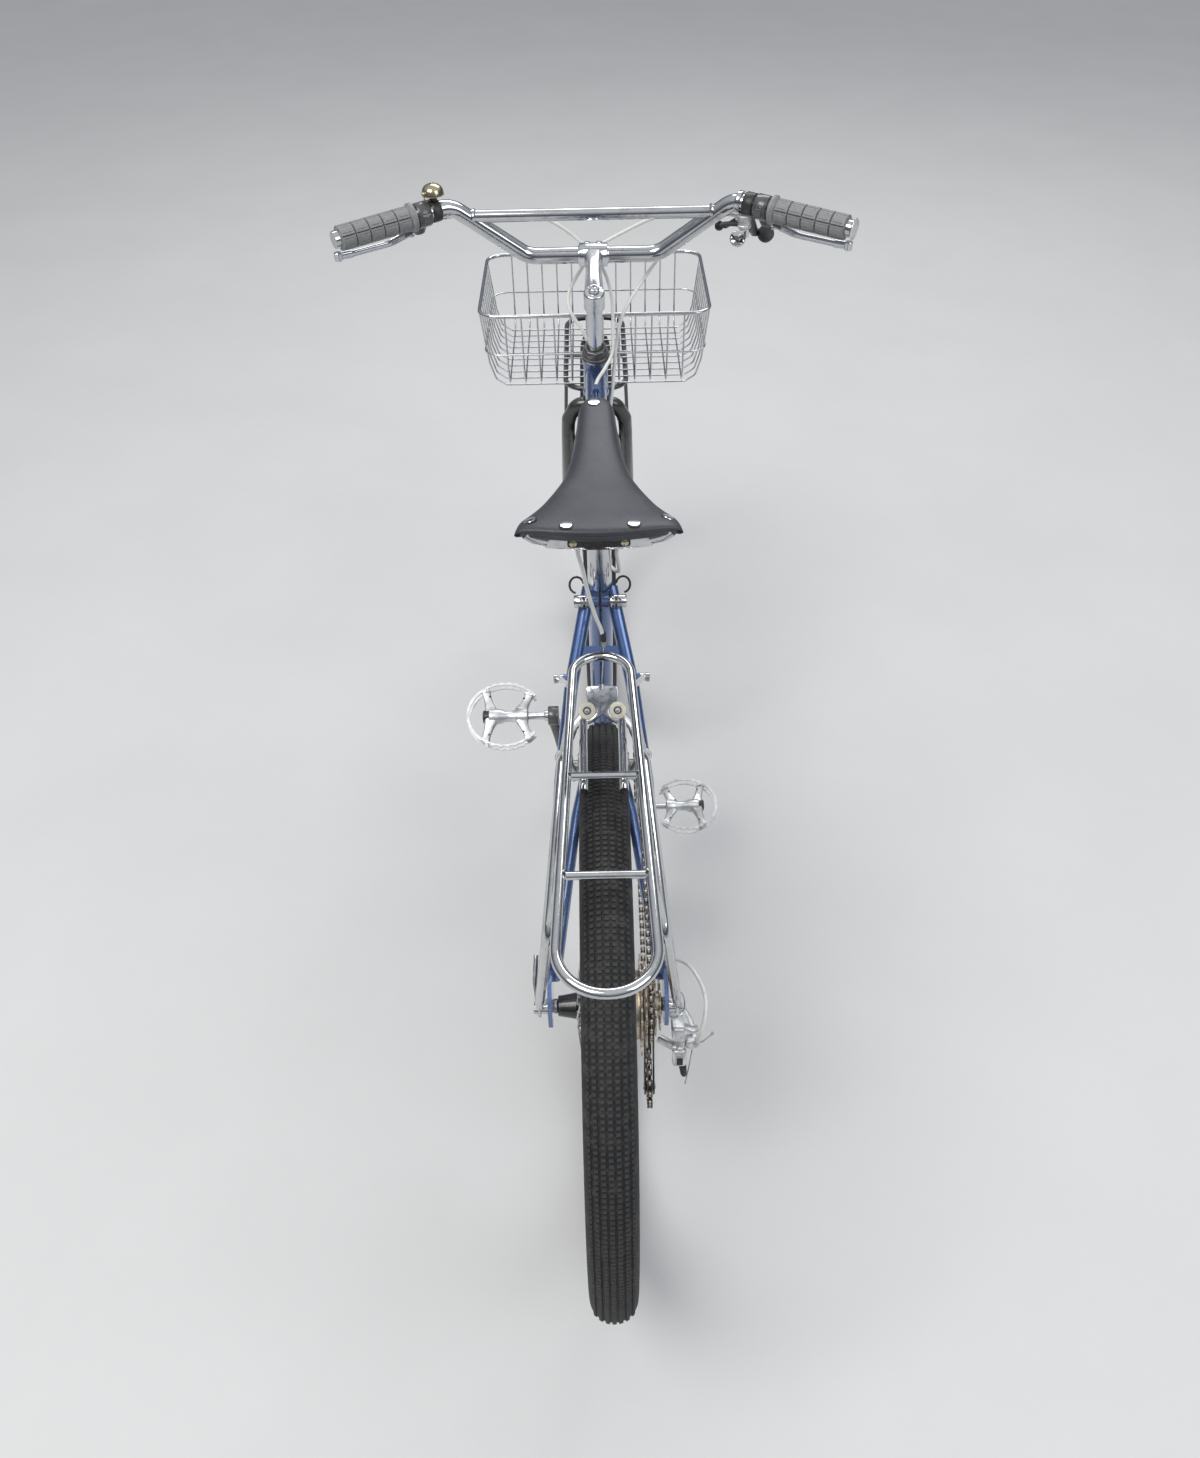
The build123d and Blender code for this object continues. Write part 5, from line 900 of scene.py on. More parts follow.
for i, (c, teeth, turn) in enumerate(WHEELS):
    start = atan2(arrive[i][1] - c.z, arrive[i][0] - c.y)
    turned = (turn * (atan2(leave[i][1] - c.z, leave[i][0] - c.y) - start)) % (2 * pi)
    stretches.append(("arc", c, pitch_radius(teeth), start, turn, pitch_radius(teeth) * turned))
    end = arrive[(i + 1) % 4]
    stretches.append(("line", leave[i], end, 0, 0, hypot(end[0] - leave[i][0], end[1] - leave[i][1])))
chain_length = sum(stretch[-1] for stretch in stretches)
links = 2 * round(chain_length / LINK / 2)


def on_chain(distance):
    """Place on the chain's middle line, with the stretch that it lies on."""
    distance %= chain_length
    for number, (kind, a, b, start, turn, length) in enumerate(stretches):
        if distance <= length:
            if kind == "arc":
                angle = start + turn * distance / b
                return Vector((0, a.y + b * cos(angle), a.z + b * sin(angle))), number
            t = distance / length
            return Vector((0, a[0] + (b[0] - a[0]) * t, a[1] + (b[1] - a[1]) * t)), number
        distance -= length
    return Vector((0, *arrive[0])), 0


joints = [on_chain(chain_length * k / links) for k in range(links)]
phases = {}
for point, number in joints:
    if number % 2 == 0:
        centre = WHEELS[number // 2][0]
        phases.setdefault(number // 2, atan2(point.z - centre.z, point.y - centre.y))


def side_plate(bm, a, b, x, thick, high, waist):
    """Waisted link plate from joint a to joint b."""
    along = (b - a).normalized()
    across = RIGHT.cross(along)
    outline = []
    for centre, turn in ((b, 0), (a, 180)):
        for k in range(7):
            angle = radians(turn - 75 + 25 * k)
            outline.append(centre + along * (high * cos(angle)) + across * (high * sin(angle)))
        outline.append((a + b) * 0.5 + across * (waist if turn == 0 else -waist))
    loft(bm, [[p + RIGHT * (x + s * thick / 2) for p in outline] for s in (-1, 1)])


bm = bmesh.new()
for k in range(links):
    a, b = joints[k][0], joints[(k + 1) % links][0]
    outer = k % 2 == 0
    for side in (-1, 1):
        side_plate(bm, a, b, CHAIN_X + side * (2.75 if outer else 1.95), 0.75, 4.0 if outer else 3.8, 2.6)
    lathe(bm, [(-1.55, 0), (-1.55, 3.4), (-1.2, 3.85), (1.2, 3.85), (1.55, 3.4), (1.55, 0)],
          a + RIGHT * CHAIN_X, RIGHT, 12, index=1)
    lathe(bm, [(-3.28, 0), (-3.28, 1.3), (-3.1, 1.7), (3.1, 1.7), (3.28, 1.3), (3.28, 0)],
          a + RIGHT * CHAIN_X, RIGHT, 8, index=1)
piece("roller_chain", bm, "frame", [chain_dark, chain_bright], ["chain"], angle=35)

# Rear axle: a hollow spindle with stepped lock nuts, and on the left a quick-release lever. The front
# axle is made the same way, under the front rack.


def axle_piece(bm, centre, half, nut_left, nut_right, plate):
    """Axle with half its length between the dropouts, where its nuts begin, and the plates' thickness."""
    lathe(bm, [(-half - plate - 9.5, 0), (-half - plate - 9.5, 4.6), (-half - plate - 9, 5),
               (half + plate + 9, 5), (half + plate + 9.8, 4.4), (half + plate + 9.8, 0)], centre, RIGHT, 28)
    for side, nut in ((-1, nut_left), (1, nut_right)):
        lathe(bm, [(nut, 5), (nut, 7.6), (nut + 1.2, 8.5), (half - 1.6, 8.5), (half - 1, 7.6),
                   (half - 0.1, 7.6), (half - 0.1, 5)], centre, RIGHT * side, 32, ring_shape=True)
        outer = half + plate + 0.1
        lathe(bm, [(outer, 5), (outer, 8.6), (outer + 1, 9), (outer + 2.4, 9), (outer + 3, 7.8),
                   (outer + 8, 7.4), (outer + 8.8, 6.6), (outer + 8.8, 5)], centre, RIGHT * side, 32,
              ring_shape=True)
    lever_x = -half - plate - 9
    lathe(bm, [(lever_x - 8, 0), (lever_x - 8, 5.6), (lever_x - 6.8, 6.8), (lever_x, 7)], centre, RIGHT, 28)
    path = rounded([centre + Vector((lever_x - 4, 0, 0)), centre + Vector((lever_x - 7.4, 22, 14)),
                    centre + Vector((lever_x - 5.4, 49, 33.4))], 12, 8)
    tube(bm, path, lambda t: 3.4 + 1.2 * t, 16, flat=0.62, flat_way=RIGHT)


bm = bmesh.new()
axle_piece(bm, REAR_AXLE, 65.0, 59.0, 62.8, 5.0)
piece("rear_release_axle", bm, "frame", steel, ["rear_axle"])

# Wheels: knobbed tyre on a polished box rim, 36 crossed wire spokes with nipples, black hub shell.
# The tyre's section is an oval round a ring of radius TYRE_AT; the spokes end at NIPPLE_R.
spoke_steel = finish_material("spoke_steel", (0.62, 0.62, 0.63), 0.26, 1.0, vary=0.1, grain=800,
                              rough_vary=0.08, dirt=GRIME, dirt_share=0.3)
tread_rubber = finish_material("tread_rubber", (0.03, 0.03, 0.031), 0.7, 0.0, vary=0.25, vary_scale=120,
                               grain=1500, bump=0.0001)
# Carcass rubber, darker than the tread blocks' rubber: painted shade in the gaps between the blocks, with
# real dust patches on it.
painted_shade_tyre_rubber = finish_material("painted_shade_tyre_rubber", (0.012, 0.012, 0.0125), 0.72, 0.0, vary=0.25, vary_scale=120,
                              grain=1800, bump=0.0002, rough_vary=0.12, dirt=(0.11, 0.10, 0.085),
                              dirt_share=0.4, dirt_scale=60)
TYRE_AT, TYRE_HALF, TYRE_RISE = 309, 25.4, 22.1
NIPPLE_R, SPOKES_A_SIDE = 264, 18


def tyre_mesh(axle_at):
    """Plain carcass with its bead and four raised lines on each wall."""
    bm = bmesh.new()
    profile = []
    for k in range(33):
        a = radians(-64 + 308 * k / 32)
        profile.append((TYRE_HALF * cos(a), TYRE_AT + TYRE_RISE * sin(a) * (1.0 if sin(a) > 0 else 1.08)))
    profile = [(x, r) for x, r in profile if r > 287.5]
    profile = [(11.8, 279.4), (11.8, 286.0)] + profile + [(-11.8, 286.0), (-11.8, 279.4)]
    lathe(bm, profile, axle_at, RIGHT, 144, ring_shape=True)
    for side in (-1, 1):
        for r in (293.0, 300.5, 303.0, 305.5):
            x = TYRE_HALF * sqrt(1 - ((TYRE_AT - r) / 23.9) ** 2)
            lathe(bm, [(-0.5, r - 0.8), (0.35, r), (-0.5, r + 0.8)], axle_at + RIGHT * (side * x),
                  RIGHT * side, 144, ring_shape=True)
    return bm


def tread_mesh(axle_at):
    """Seven columns of square blocks that lean with the tyre's surface."""
    bm = bmesh.new()
    for column, half_w, high in ((0.0, 2.25, 1.9), (6.6, 2.2, 1.9), (13.1, 2.1, 1.9), (19.0, 1.7, 1.6)):
        for x in ((0.0,) if column == 0 else (-column, column)):
            base = TYRE_AT + TYRE_RISE * sqrt(max(0.05, 1 - (x / TYRE_HALF) ** 2))
            lean = atan2(x * TYRE_RISE / TYRE_HALF, base - TYRE_AT) * 0.8
            for a in turns(348):
                out = Vector((sin(lean), cos(a) * cos(lean), sin(a) * cos(lean)))
                centre = axle_at + Vector((x, cos(a) * (base - 0.2), sin(a) * (base - 0.2)))
                tangent = Vector((0, -sin(a), cos(a)))
                wide = out.cross(tangent).normalized()
                corners = []
                for height, half_x, half_l in ((-0.8, half_w + 0.1, 1.85), (high, half_w - 0.15, 1.6)):
                    for u, v in ((-1, -1), (1, -1), (1, 1), (-1, 1)):
                        corners.append(bm.verts.new(centre + out * height + wide * (u * half_x)
                                                    + tangent * (v * half_l)))
                bm.faces.new(corners[4:])
                for m in range(4):
                    n = (m + 1) % 4
                    bm.faces.new((corners[m], corners[n], corners[4 + n], corners[4 + m]))
    return bm


def rim_mesh(axle_at):
    """Box rim with a bead hook at each side."""
    bm = bmesh.new()
    outer = [(14.0, 286.0), (14.0, 272.0), (13.2, 270.4), (8.6, 265.4), (7.2, 264.4), (5, NIPPLE_R)]
    inner = [(13.2, 286), (12.0, 285.4), (12.0, 279.0)]
    lathe(bm, [(-x, r) for x, r in outer] + outer[::-1] + inner + [(-x, r) for x, r in inner[::-1]],
          axle_at, RIGHT, 180, ring_shape=True)
    return bm


def spoke_mesh(axle_at, flange_left, flange_right, flange_r):
    """Spokes that lean forward and back by turns, each with its head at the flange and its nipple."""
    bm = bmesh.new()
    for side, flange_x, start in ((-1, flange_left, 0.0), (1, flange_right, pi / SPOKES_A_SIDE)):
        for k, step in enumerate(turns(SPOKES_A_SIDE)):
            lean = 1 if k % 2 else -1
            a = start + step
            b = a + lean * radians(58)
            root = axle_at + Vector((flange_x + lean * 2.4, flange_r * cos(a), flange_r * sin(a)))
            tip = axle_at + Vector((side * 3.5, NIPPLE_R * cos(b), NIPPLE_R * sin(b)))
            along = (tip - root).normalized()
            tube(bm, [root - RIGHT * (lean * 3.6), root - RIGHT * (lean * 0.7) + along * 0.3,
                      root + along * 2.2, tip - along * 11], 1.0, 8)
            lathe(bm, [(0, 0), (0, 1.9), (0.9, 1.9), (1.4, 1.0), (1.4, 0)], root - RIGHT * (lean * 4.6),
                  RIGHT * lean, 10)
            lathe(bm, [(0, 1.1), (0.6, 1.75), (10.6, 1.75), (11.4, 2.6), (12.2, 2.6), (12.4, 1.1)],
                  tip - along * 12.6, along, 8)
    return bm


def hub_mesh(axle_at, left, right, flange_left, flange_right, flange_r, barrel):
    """Hub shell from its left end to its right end, with two flanges on a waisted barrel."""
    bm = bmesh.new()
    flange = [(-3.4, barrel + 0.6), (-1.6, barrel + 3), (-1.4, flange_r - 0.8), (-0.6, flange_r + 3.0),
              (0.8, flange_r + 3.0), (1.5, flange_r - 0.8), (1.8, barrel + 3), (4.5, barrel),
              (12, barrel - 2.5)]
    profile = [(left, 5.4), (left, 11), (left + 1, 12), (left + 6, 12.6)]
    profile += [(flange_left + x, r) for x, r in flange]
    profile += [(flange_right - x, r) for x, r in flange[::-1]] + [(right - 1, 12), (right, 11), (right, 5.4)]
    lathe(bm, profile, axle_at, RIGHT, 56, ring_shape=True)
    return bm


def valve_mesh(axle_at, a):
    """Valve that stands inward from the rim at the angle a."""
    bm = bmesh.new()
    foot = axle_at + Vector((0, 264.4 * cos(a), 264.4 * sin(a)))
    inward = Vector((0, -cos(a), -sin(a)))
    lathe(bm, [(-2, 0), (-2, 4.2), (1.4, 4.2), (1.8, 3.0), (14, 2.9), (14.6, 3.6), (24, 3.6), (25.6, 2.6),
               (25.6, 0)], foot, inward, 16)
    return bm


for word, body, axle_at, flanges, ends, barrel, valve in (
        ("rear", "rear_wheel", REAR_AXLE, (-34.0, 24.0, 24.3), (-58.7, 30.7), 15, radians(-68)),
        ("front", "front_wheel", FRONT_AXLE, (-33.0, 33.0, 20.3), (-42.7, 42.7), 13, radians(-104))):
    piece(word + "_knobbed_tyre", tyre_mesh(axle_at), body, painted_shade_tyre_rubber, [word + "_tyre"], angle=32)
    piece(word + "_tread_blocks", tread_mesh(axle_at), body, tread_rubber, (), angle=32)
    piece(word + "_box_rim", rim_mesh(axle_at), body, polished, [word + "_rim"], angle=35)
    piece(word + "_wire_spokes", spoke_mesh(axle_at, *flanges), body, spoke_steel, [word + "_spokes"])
    piece(word + "_hub_shell", hub_mesh(axle_at, *ends, flanges[0], flanges[1], flanges[2] - 3.3, barrel),
          body, black_paint, [word + "_hub"])
    piece(word + "_valve", valve_mesh(axle_at, valve), body, black_plastic, ())

# Freewheel: five toothed cogs with spacers on the hub's right end. The chain lies on the middle one,
# whose teeth stand between its rollers.
bm = bmesh.new()
for i, teeth in enumerate((28, 24, 20, 17, 14)):
    x = CHAIN_X + (i - 2) * 5.5
    phase = phases[1] if i == 2 else 0.3 * i
    carrier = max(15.0, pitch_radius(teeth) - 14)
    toothed(bm, REAR_AXLE, teeth, phase, x - 1, x + 1, carrier)
lathe(bm, [(31.2, 5.5), (31.2, 40), (34, 40), (37, 39.5), (41.5, 34.5), (42.5, 34.5), (43, 26.4), (48, 26.4),
           (48.6, 20.6), (53.5, 20.6), (54, 15.4), (61.2, 15.4), (62.2, 14), (62.2, 5.5)], REAR_AXLE, RIGHT,
      48, ring_shape=True)
piece("freewheel_cogs", bm, "rear_wheel", [chain_bright], ["freewheel"], angle=30)

# Crankset: black forged arms with rounded backs on a square spindle; five spider arms carry the
# toothed ring by chromed bolts. The left arm stands up, as in the photograph.
CRANK_ANGLE, CRANK_LENGTH = radians(111.5), 172


def crank_point(side, reach, x):
    """Point reach out along a crank. The left crank is the upper one."""
    return BRACKET + Vector((side * x, -side * reach * cos(CRANK_ANGLE), -side * reach * sin(CRANK_ANGLE)))


CRANK_ROOTS = ((-1, "left", 53.0), (1, "right", 62.0))
ARM_X, BOLT_CIRCLE_R = 66, 60
SPIDER = [CRANK_ANGLE + pi + a for a in turns(5, 0.5)]
for side, word, root_x in CRANK_ROOTS:
    bm = bmesh.new()
    out = (crank_point(side, 1, 0) - crank_point(side, 0, 0)).normalized()
    across = RIGHT.cross(out)
    lean = (ARM_X - root_x) / CRANK_LENGTH
    sections = []
    for reach, x, wide, thick in ((4, root_x, 15, 7), (22, root_x + 0.4 * lean * 22, 13.6, 7),
                                  (60, root_x + lean * 60, 11.6, 6.6), (120, root_x + lean * 120, 10.8, 6.5),
                                  (160, ARM_X, 10.6, 6.8), (176, ARM_X, 9.4, 6.6)):
        sections.append(oval(crank_point(side, reach, x), RIGHT, across, thick, wide, 3.4, 28))
    loft(bm, sections)
    lathe(bm, [(root_x - 8, 8.8), (root_x - 8, 16), (root_x - 7, 17), (root_x + 4, 17), (root_x + 7, 14),
               (root_x + 7, 9.5), (root_x + 1.5, 9), (root_x + 1.5, 8.8)], BRACKET, RIGHT * side, 40,
          ring_shape=True)
    lathe(bm, [(59, 5.2), (59, 12.2), (60, 13), (72, 13), (73, 12.2), (73, 5.2)],
          crank_point(side, CRANK_LENGTH, 0), RIGHT * side, 40, ring_shape=True)
    if side > 0:
        for a in SPIDER:
            ray = Vector((0, cos(a), sin(a)))
            loft(bm, [oval(BRACKET + RIGHT * (52.3 + 1.5 * (1 - t)) + ray * (14 + 44 * t), RIGHT,
                           RIGHT.cross(ray), 2 + 1.5 * (1 - t), 7.5 - 2.4 * t, 3.0, 16)
                      for t in (0, 0.35, 0.7, 1)])
            lathe(bm, [(50.3, 0), (50.3, 6.5), (53.6, 6.5), (54.2, 5.8), (54.2, 0)],
                  BRACKET + ray * BOLT_CIRCLE_R, RIGHT, 24)
        lathe(bm, [(50.3, 8.9), (50.3, 20), (55, 20), (56, 18), (56, 8.9)], BRACKET, RIGHT, 40,
              ring_shape=True)
    piece("crank_" + word + "_forging", bm, "crankset", black_paint, ["crank_" + word],
          angle=42)
bm = bmesh.new()
for side, word, root_x in CRANK_ROOTS:
    lathe(bm, [(root_x + 1.2, 0), (root_x + 1.2, 8.2), (root_x + 5.4, 8.2), (root_x + 6, 7.6),
               (root_x + 6, 4), (root_x + 4, 3.6), (root_x + 4, 0)], BRACKET, RIGHT * side, 6)
for a in SPIDER:
    spot = BRACKET + Vector((0, BOLT_CIRCLE_R * cos(a), BOLT_CIRCLE_R * sin(a)))
    bolt(bm, spot + RIGHT * 54.2, RIGHT, 4.0, 1.6)
    lathe(bm, [(47.6, 0), (47.6, 4.6), (50.2, 4.6), (50.2, 0)], spot, RIGHT, 16)
piece("crank_bolts", bm, "crankset", chrome, ())
bm = bmesh.new()
toothed(bm, BRACKET, 36, phases[0], CHAIN_X - 1.25, CHAIN_X + 1.25, 53.0)
piece("toothed_chainring", bm, "crankset", steel, ["chainring"], angle=30)
bm = bmesh.new()
for side in (-1, 1):
    lathe(bm, [(60, 0), (60, 4.98), (72, 4.98), (73, 7.4), (76.5, 7.4), (77.4, 6.2), (78, 4.98), (152, 4.9),
               (153, 4.2), (153, 0)], crank_point(side, CRANK_LENGTH, 0), RIGHT * side, 28)
piece("pedal_spindles", bm, "crankset", polished, ["pedal_axles"])

# Pedals: a round cage of two thin rings with scalloped edges, open toward the crank, held by four
# slanting arms on a barrel with a black dust cap.
PEDAL_X = 131
for side, word, tilt in ((-1, "left", 24.0), (1, "right", 14.0)):
    bm = bmesh.new()
    turn_up = Matrix.Rotation(radians(tilt), 3, "X")
    middle = crank_point(side, CRANK_LENGTH, PEDAL_X)

    def on_pedal(x, y, z):
        return middle + turn_up @ Vector((x * side, y, z))

    def post_at(a):
        return Vector((47.0 * cos(radians(a)), 43.0 * sin(radians(a)), 0))

    z_way = turn_up @ UP
    for high in (-7.0, 7.0):
        ring = []
        for k in range(181):
            a = radians(-145 + 290 * k / 180)
            bite, turned_by = 0.0, abs(a) * 180 / pi
            if 50 < turned_by < 131:
                bite = 2.0 * (0.5 + 0.5 * cos(radians((turned_by - 50) * 360 / 11.5 + 180)))
            ring.append((a, 51.3 - bite, 47.3 - bite))
        outer = [[on_pedal(rx * cos(a), ry * sin(a), high + dz) for dz in (-1.15, 1.15)]
                 for a, rx, ry in ring]
        inner = [[on_pedal(47.6 * cos(a), 43.6 * sin(a), high + dz) for dz in (1.15, -1.15)]
                 for a, rx, ry in ring]
        loft(bm, [o + i for o, i in zip(outer, inner)])
    for a in (-134, -56, 56, 134):
        post = post_at(a)
        root = Vector((19.0 if abs(a) < 90 else -22.0, 6.5 if a > 0 else -6.5, 0))
        way = (post - root).normalized()
        cross_way = turn_up @ Vector((-way.y * side, way.x, 0))
        sections = []
        for t, wide, high in ((0, 9.0, 7.5), (0.35, 6.0, 5.6), (0.7, 5.4, 4.8), (1.0, 6.4, 5.6)):
            spot_at = root + (post - root) * t
            sections.append(oval(on_pedal(spot_at.x, spot_at.y, 0), cross_way, z_way, wide, high, 4.0, 20))
        loft(bm, sections)
        box(bm, on_pedal(post.x, post.y, 0), (11.5, 5.0, 15.4), cross_way, z_way, 1.6, 2)
        for lift in (-7.9, 7.9):
            lathe(bm, [(-0.6, 0), (-0.6, 1.9), (0.5, 1.6), (0.9, 0)], on_pedal(post.x, post.y, lift),
                  z_way * (1 if lift > 0 else -1), 14)
    lathe(bm, [(-31, 5.1), (-31, 9.4), (-29.6, 11.0), (-20, 11.0), (-15, 8.6), (-8, 7.6), (0, 7.8), (6, 10.6),
               (20.5, 10.8), (21.5, 9.8), (21.5, 5.1)], middle, RIGHT * side, 36, ring_shape=True)
    piece("pedal_cage_" + word, bm, "pedal_" + word, satin, ["pedal_" + word], angle=35)
    bm = bmesh.new()
    lathe(bm, [(21.6, 0), (21.6, 8.9), (27.6, 8.9), (29.2, 8.0), (29.8, 6.4), (29.8, 2.4), (28.8, 2.0),
               (28.8, 0)], middle, RIGHT * side, 32)
    for a in (-134, -56, 56, 134):
        post = post_at(a)
        for step_in in (5.4, 9.8):
            inward = post * (1 - step_in / post.length)
            lathe(bm, [(4.1, 0), (4.1, 1.5), (4.9, 1.5), (4.9, 0)], on_pedal(inward.x, inward.y, 0), z_way,
                  12)
    piece("pedal_dust_cap_" + word, bm, "pedal_" + word, black_plastic, ())

# Fork: steel, in a dark olive that is a painted reflection of dark ground in chrome, with tapered blades
# curved forward, a tubular crown and forged ends. The stop for the front brake's housing stands before
# the crown.
# Dark olive colour: a painted reflection of dark ground in chrome; its grime patches and worn edges are real.
fork_painted_reflection = finish_material("fork_painted_reflection", (0.022, 0.024, 0.02), 0.3, 0.1, vary=0.3, grain=900,
                             rough_vary=0.1, coat=0.6, coat_rough=0.1, dirt=(0.1, 0.09, 0.07),
                             dirt_share=0.25, wear=(0.3, 0.3, 0.29), wear_share=0.3)
bm = bmesh.new()
lathe(bm, [(356, 12.7), (366, 13), (366, 16.5), (368, 18), (376.4, 18), (377, 17.4), (377, 12.7), (478, 12.7),
           (479.6, 12.3), (479.6, 11.5), (372, 11.5), (356, 11.5)], HEAD_FOOT, HEAD_UP, 48, ring_shape=True)
lathe(bm, [(-21, 0), (-21, 9.4), (-19, 11.4), (-14, 13.2), (14, 13.2), (19, 11.4), (21, 9.4), (21, 0)],
      head(361), RIGHT, 40)
for side in (-1, 1):
    blade = rounded([head(364, side * 8, 0), head(361, side * 30, 0), head(331, side * 43.5, 0),
                     head(300, side * 45, 0), head(140, side * 50, 6), head(16, side * 53.2, 41)], 17, 9)
    tube(bm, blade, lambda t: 10.5 if t < 0.76 else 10.5 - 4.1 * (t - 0.76) / 0.24, 22)
    slot = [(5.4 * cos(radians(a)), 5.4 * sin(radians(a))) for a in range(0, 181, 20)]
    slab(bm, [(-9, 36), (9, 34), (8.6, 22), (11.6, 8), (11.6, -6), (6.2, -11), (6.2, -11.6), (5.6, -1)] + slot
         + [(-5.6, -1), (-6.2, -11.6), (-12, -6), (-11.6, 8), (-8.6, 22)], FRONT_AXLE + RIGHT * (side * 52.5),
         HEAD_FORWARD * 0.98 - HEAD_UP * 0.2, HEAD_UP * 0.98 + HEAD_FORWARD * 0.2, 4.9, 0.8)
    lathe(bm, [(0, 0), (0, 6), (12.4, 6), (12.4, 0)], head(268, side * 48, 0), HEAD_FORWARD, 28)
stop_way = Vector((0, 0.1, -1)).normalized()
CROWN_STOP = head(380, 0, 28)
lathe(bm, [(0.1, 2.7), (0.1, 3.6), (0.6, 4), (9.4, 4), (10, 3.4), (10, 1.2), (2, 1.2), (2, 2.7)], CROWN_STOP,
      stop_way, 24, ring_shape=True)
tube(bm, [CROWN_STOP + stop_way * 7, head(366, 0, 8)], 3.6, 14)
piece("fork_legs", bm, "steering", fork_painted_reflection, ["fork"], angle=42)

# Front brake: short forged arms on bosses of the fork, joined by a straddle wire to the housing stop.
# Its pads are made as the rear ones, and a small red clip sits beside the right blade.
FRONT_PIVOT = head(268, 0, 18)


def fork_brake(x, up, ahead_of=0.0):
    """Point of the front brake: x to the side, up along the fork and forward of its arms."""
    return FRONT_PIVOT + HEAD_UP * up + HEAD_FORWARD * ahead_of + Vector((x, 0, 0))


red_mark = finish_material("red_mark", (0.45, 0.05, 0.03), 0.4, 0.0, vary=0.1, grain=900)
bm = bmesh.new()
for side in (-1, 1):
    tube(bm, rounded([fork_brake(side * 22, 66), fork_brake(side * 37, 44), fork_brake(side * 47.5, 2),
                      fork_brake(side * 33, -2)], 12, 6), lambda t: 3.9 + 2.2 * sin(pi * min(1.0, t * 1.3)),
         16, flat=0.72, flat_way=HEAD_FORWARD)
    lathe(bm, [(-5.2, 0), (-5.2, 7.4), (-4.4, 8), (6, 8), (7, 7), (7, 0)], fork_brake(side * 48, 0),
          HEAD_FORWARD, 32)
    lathe(bm, PAD_STUD, fork_brake(side * 24.3, -2), RIGHT * side, 28)
    lathe(bm, [(-4, 0), (-4, 4.6), (4, 4.6), (4, 0)], fork_brake(side * 22, 65), HEAD_FORWARD, 20)
piece("front_brake_forged_arms", bm, "steering", satin, ["front_brake_arms"])
bm = bmesh.new()
for side in (-1, 1):
    bolt(bm, fork_brake(side * 48, 0, 7), HEAD_FORWARD, 5.2, 2.8)
    hexagon(bm, fork_brake(side * 22, 65, 4), HEAD_FORWARD, 4.0, 3.0)
straddle = [fork_brake(-22, 65, 1), fork_brake(-11, 80, 5), fork_brake(-2.5, 90, 8), fork_brake(2.5, 90, 8),
            fork_brake(11, 80, 5), fork_brake(22, 65, 1)]
tube(bm, rounded(straddle, 6, 5), 0.9, 8)
box(bm, fork_brake(0, 91, 8), (12, 4.5, 7), RIGHT, HEAD_UP, 1.2, 2)
tube(bm, [fork_brake(0, 92, 8), CROWN_STOP + stop_way * 3], 0.8, 8)
piece("front_brake_wires", bm, "steering", steel, ())
bm = bmesh.new()
for side in (-1, 1):
    lathe(bm, [(5.0, 0), (5.0, 5.6), (6.2, 6.6), (11.5, 6.2), (13, 4.6), (13.4, 0)],
          fork_brake(side * 42.5, 31), HEAD_FORWARD, 24)
    lathe(bm, [(-12.4, 0), (-12.4, 4.6), (-11.6, 5.4), (-5.6, 5.4), (-5.2, 4.0), (-5.2, 0)],
          fork_brake(side * 42.5, 31), HEAD_FORWARD, 24)
piece("front_brake_spring_caps", bm, "steering", black_plastic, ())
bm = bmesh.new()
box(bm, fork_brake(50.5, -22, -18), (6.5, 3.0, 9.0), RIGHT, HEAD_UP, 1.0, 2)
piece("fork_red_clip", bm, "steering", red_mark, ())
bm = bmesh.new()
reach = fork_brake(0, -2) - FRONT_AXLE
along = Vector((0, -reach.z, reach.y)).normalized()
for side in (-1, 1):
    brake_pad(bm, fork_brake(side * 19.5, -2), along, side)
piece("front_pad_blocks", bm, "steering", pad_rubber, ["front_brake_pads"])

# Stem: polished forging with a quill in the steerer, a tapered extension and a split bar clamp whose
# two studs carry domed nuts.
CLAMP = Vector((0, 876, 872))
bm = bmesh.new()
top = head(574)
lathe(bm, [(415, 0), (415, 10.4), (416, 11.1), (549, 11.1), (550.5, 13.6), (552, 14.5), (574, 14.5),
           (577, 13.6), (578, 12.2), (578, 0)], HEAD_FOOT, HEAD_UP, 56)
root, tip = top - HEAD_UP * 10, CLAMP - Vector((0, 8, 0))
along = (tip - root).normalized()
rise = RIGHT.cross(along)
loft(bm, [oval(root + (tip - root) * t, RIGHT, rise, wide, high, 2.5, 36)
          for t, wide, high in ((0, 14.0, 14.2), (0.25, 13.0, 13.6), (0.5, 11.8, 12.4), (0.75, 10.9, 11.4),
                                (0.9, 12.5, 12.0), (1.0, 15.5, 12.6))])
lathe(bm, [(-20, 11.2), (-20, 15), (-19, 16), (19, 16), (20, 15), (20, 11.2)], CLAMP, RIGHT, 56,
      ring_shape=True)
for side in (-1, 1):
    box(bm, CLAMP + Vector((side * 8.4, 13.4, 1.5)), (11, 9, 20), RIGHT, UP, 2.4, 3)
piece("stem_forging", bm, "steering", polished, ["stem"], angle=45)
bm = bmesh.new()
lathe(bm, [(578, 0), (578, 7.5), (583, 7.5), (584.4, 6.6), (585, 5.4), (585, 4), (582.5, 3.7), (582.5, 0)],
      HEAD_FOOT, HEAD_UP, 32)
for side in (-1, 1):
    lathe(bm, [(8, 0), (8, 5.2), (9, 5.6), (14, 5.6), (16.2, 4.2), (16.8, 2), (16.8, 0)],
          CLAMP + Vector((side * 8.4, 12.2, -3)), UP, 28)
piece("stem_bolts", bm, "steering", chrome, ())

# Handlebar: chromed steel tube, bent up and back on both sides, with a brazed cross tube and a thicker
# sleeve in the stem's clamp.


def bar_points(side):
    """Low centre, top bend and end of one side of the bar."""
    return [CLAMP + Vector((side * 91, 0, 0)), CLAMP + Vector((side * 191, -25, 78)),
            CLAMP + Vector((side * 336, -116, 69.5))]


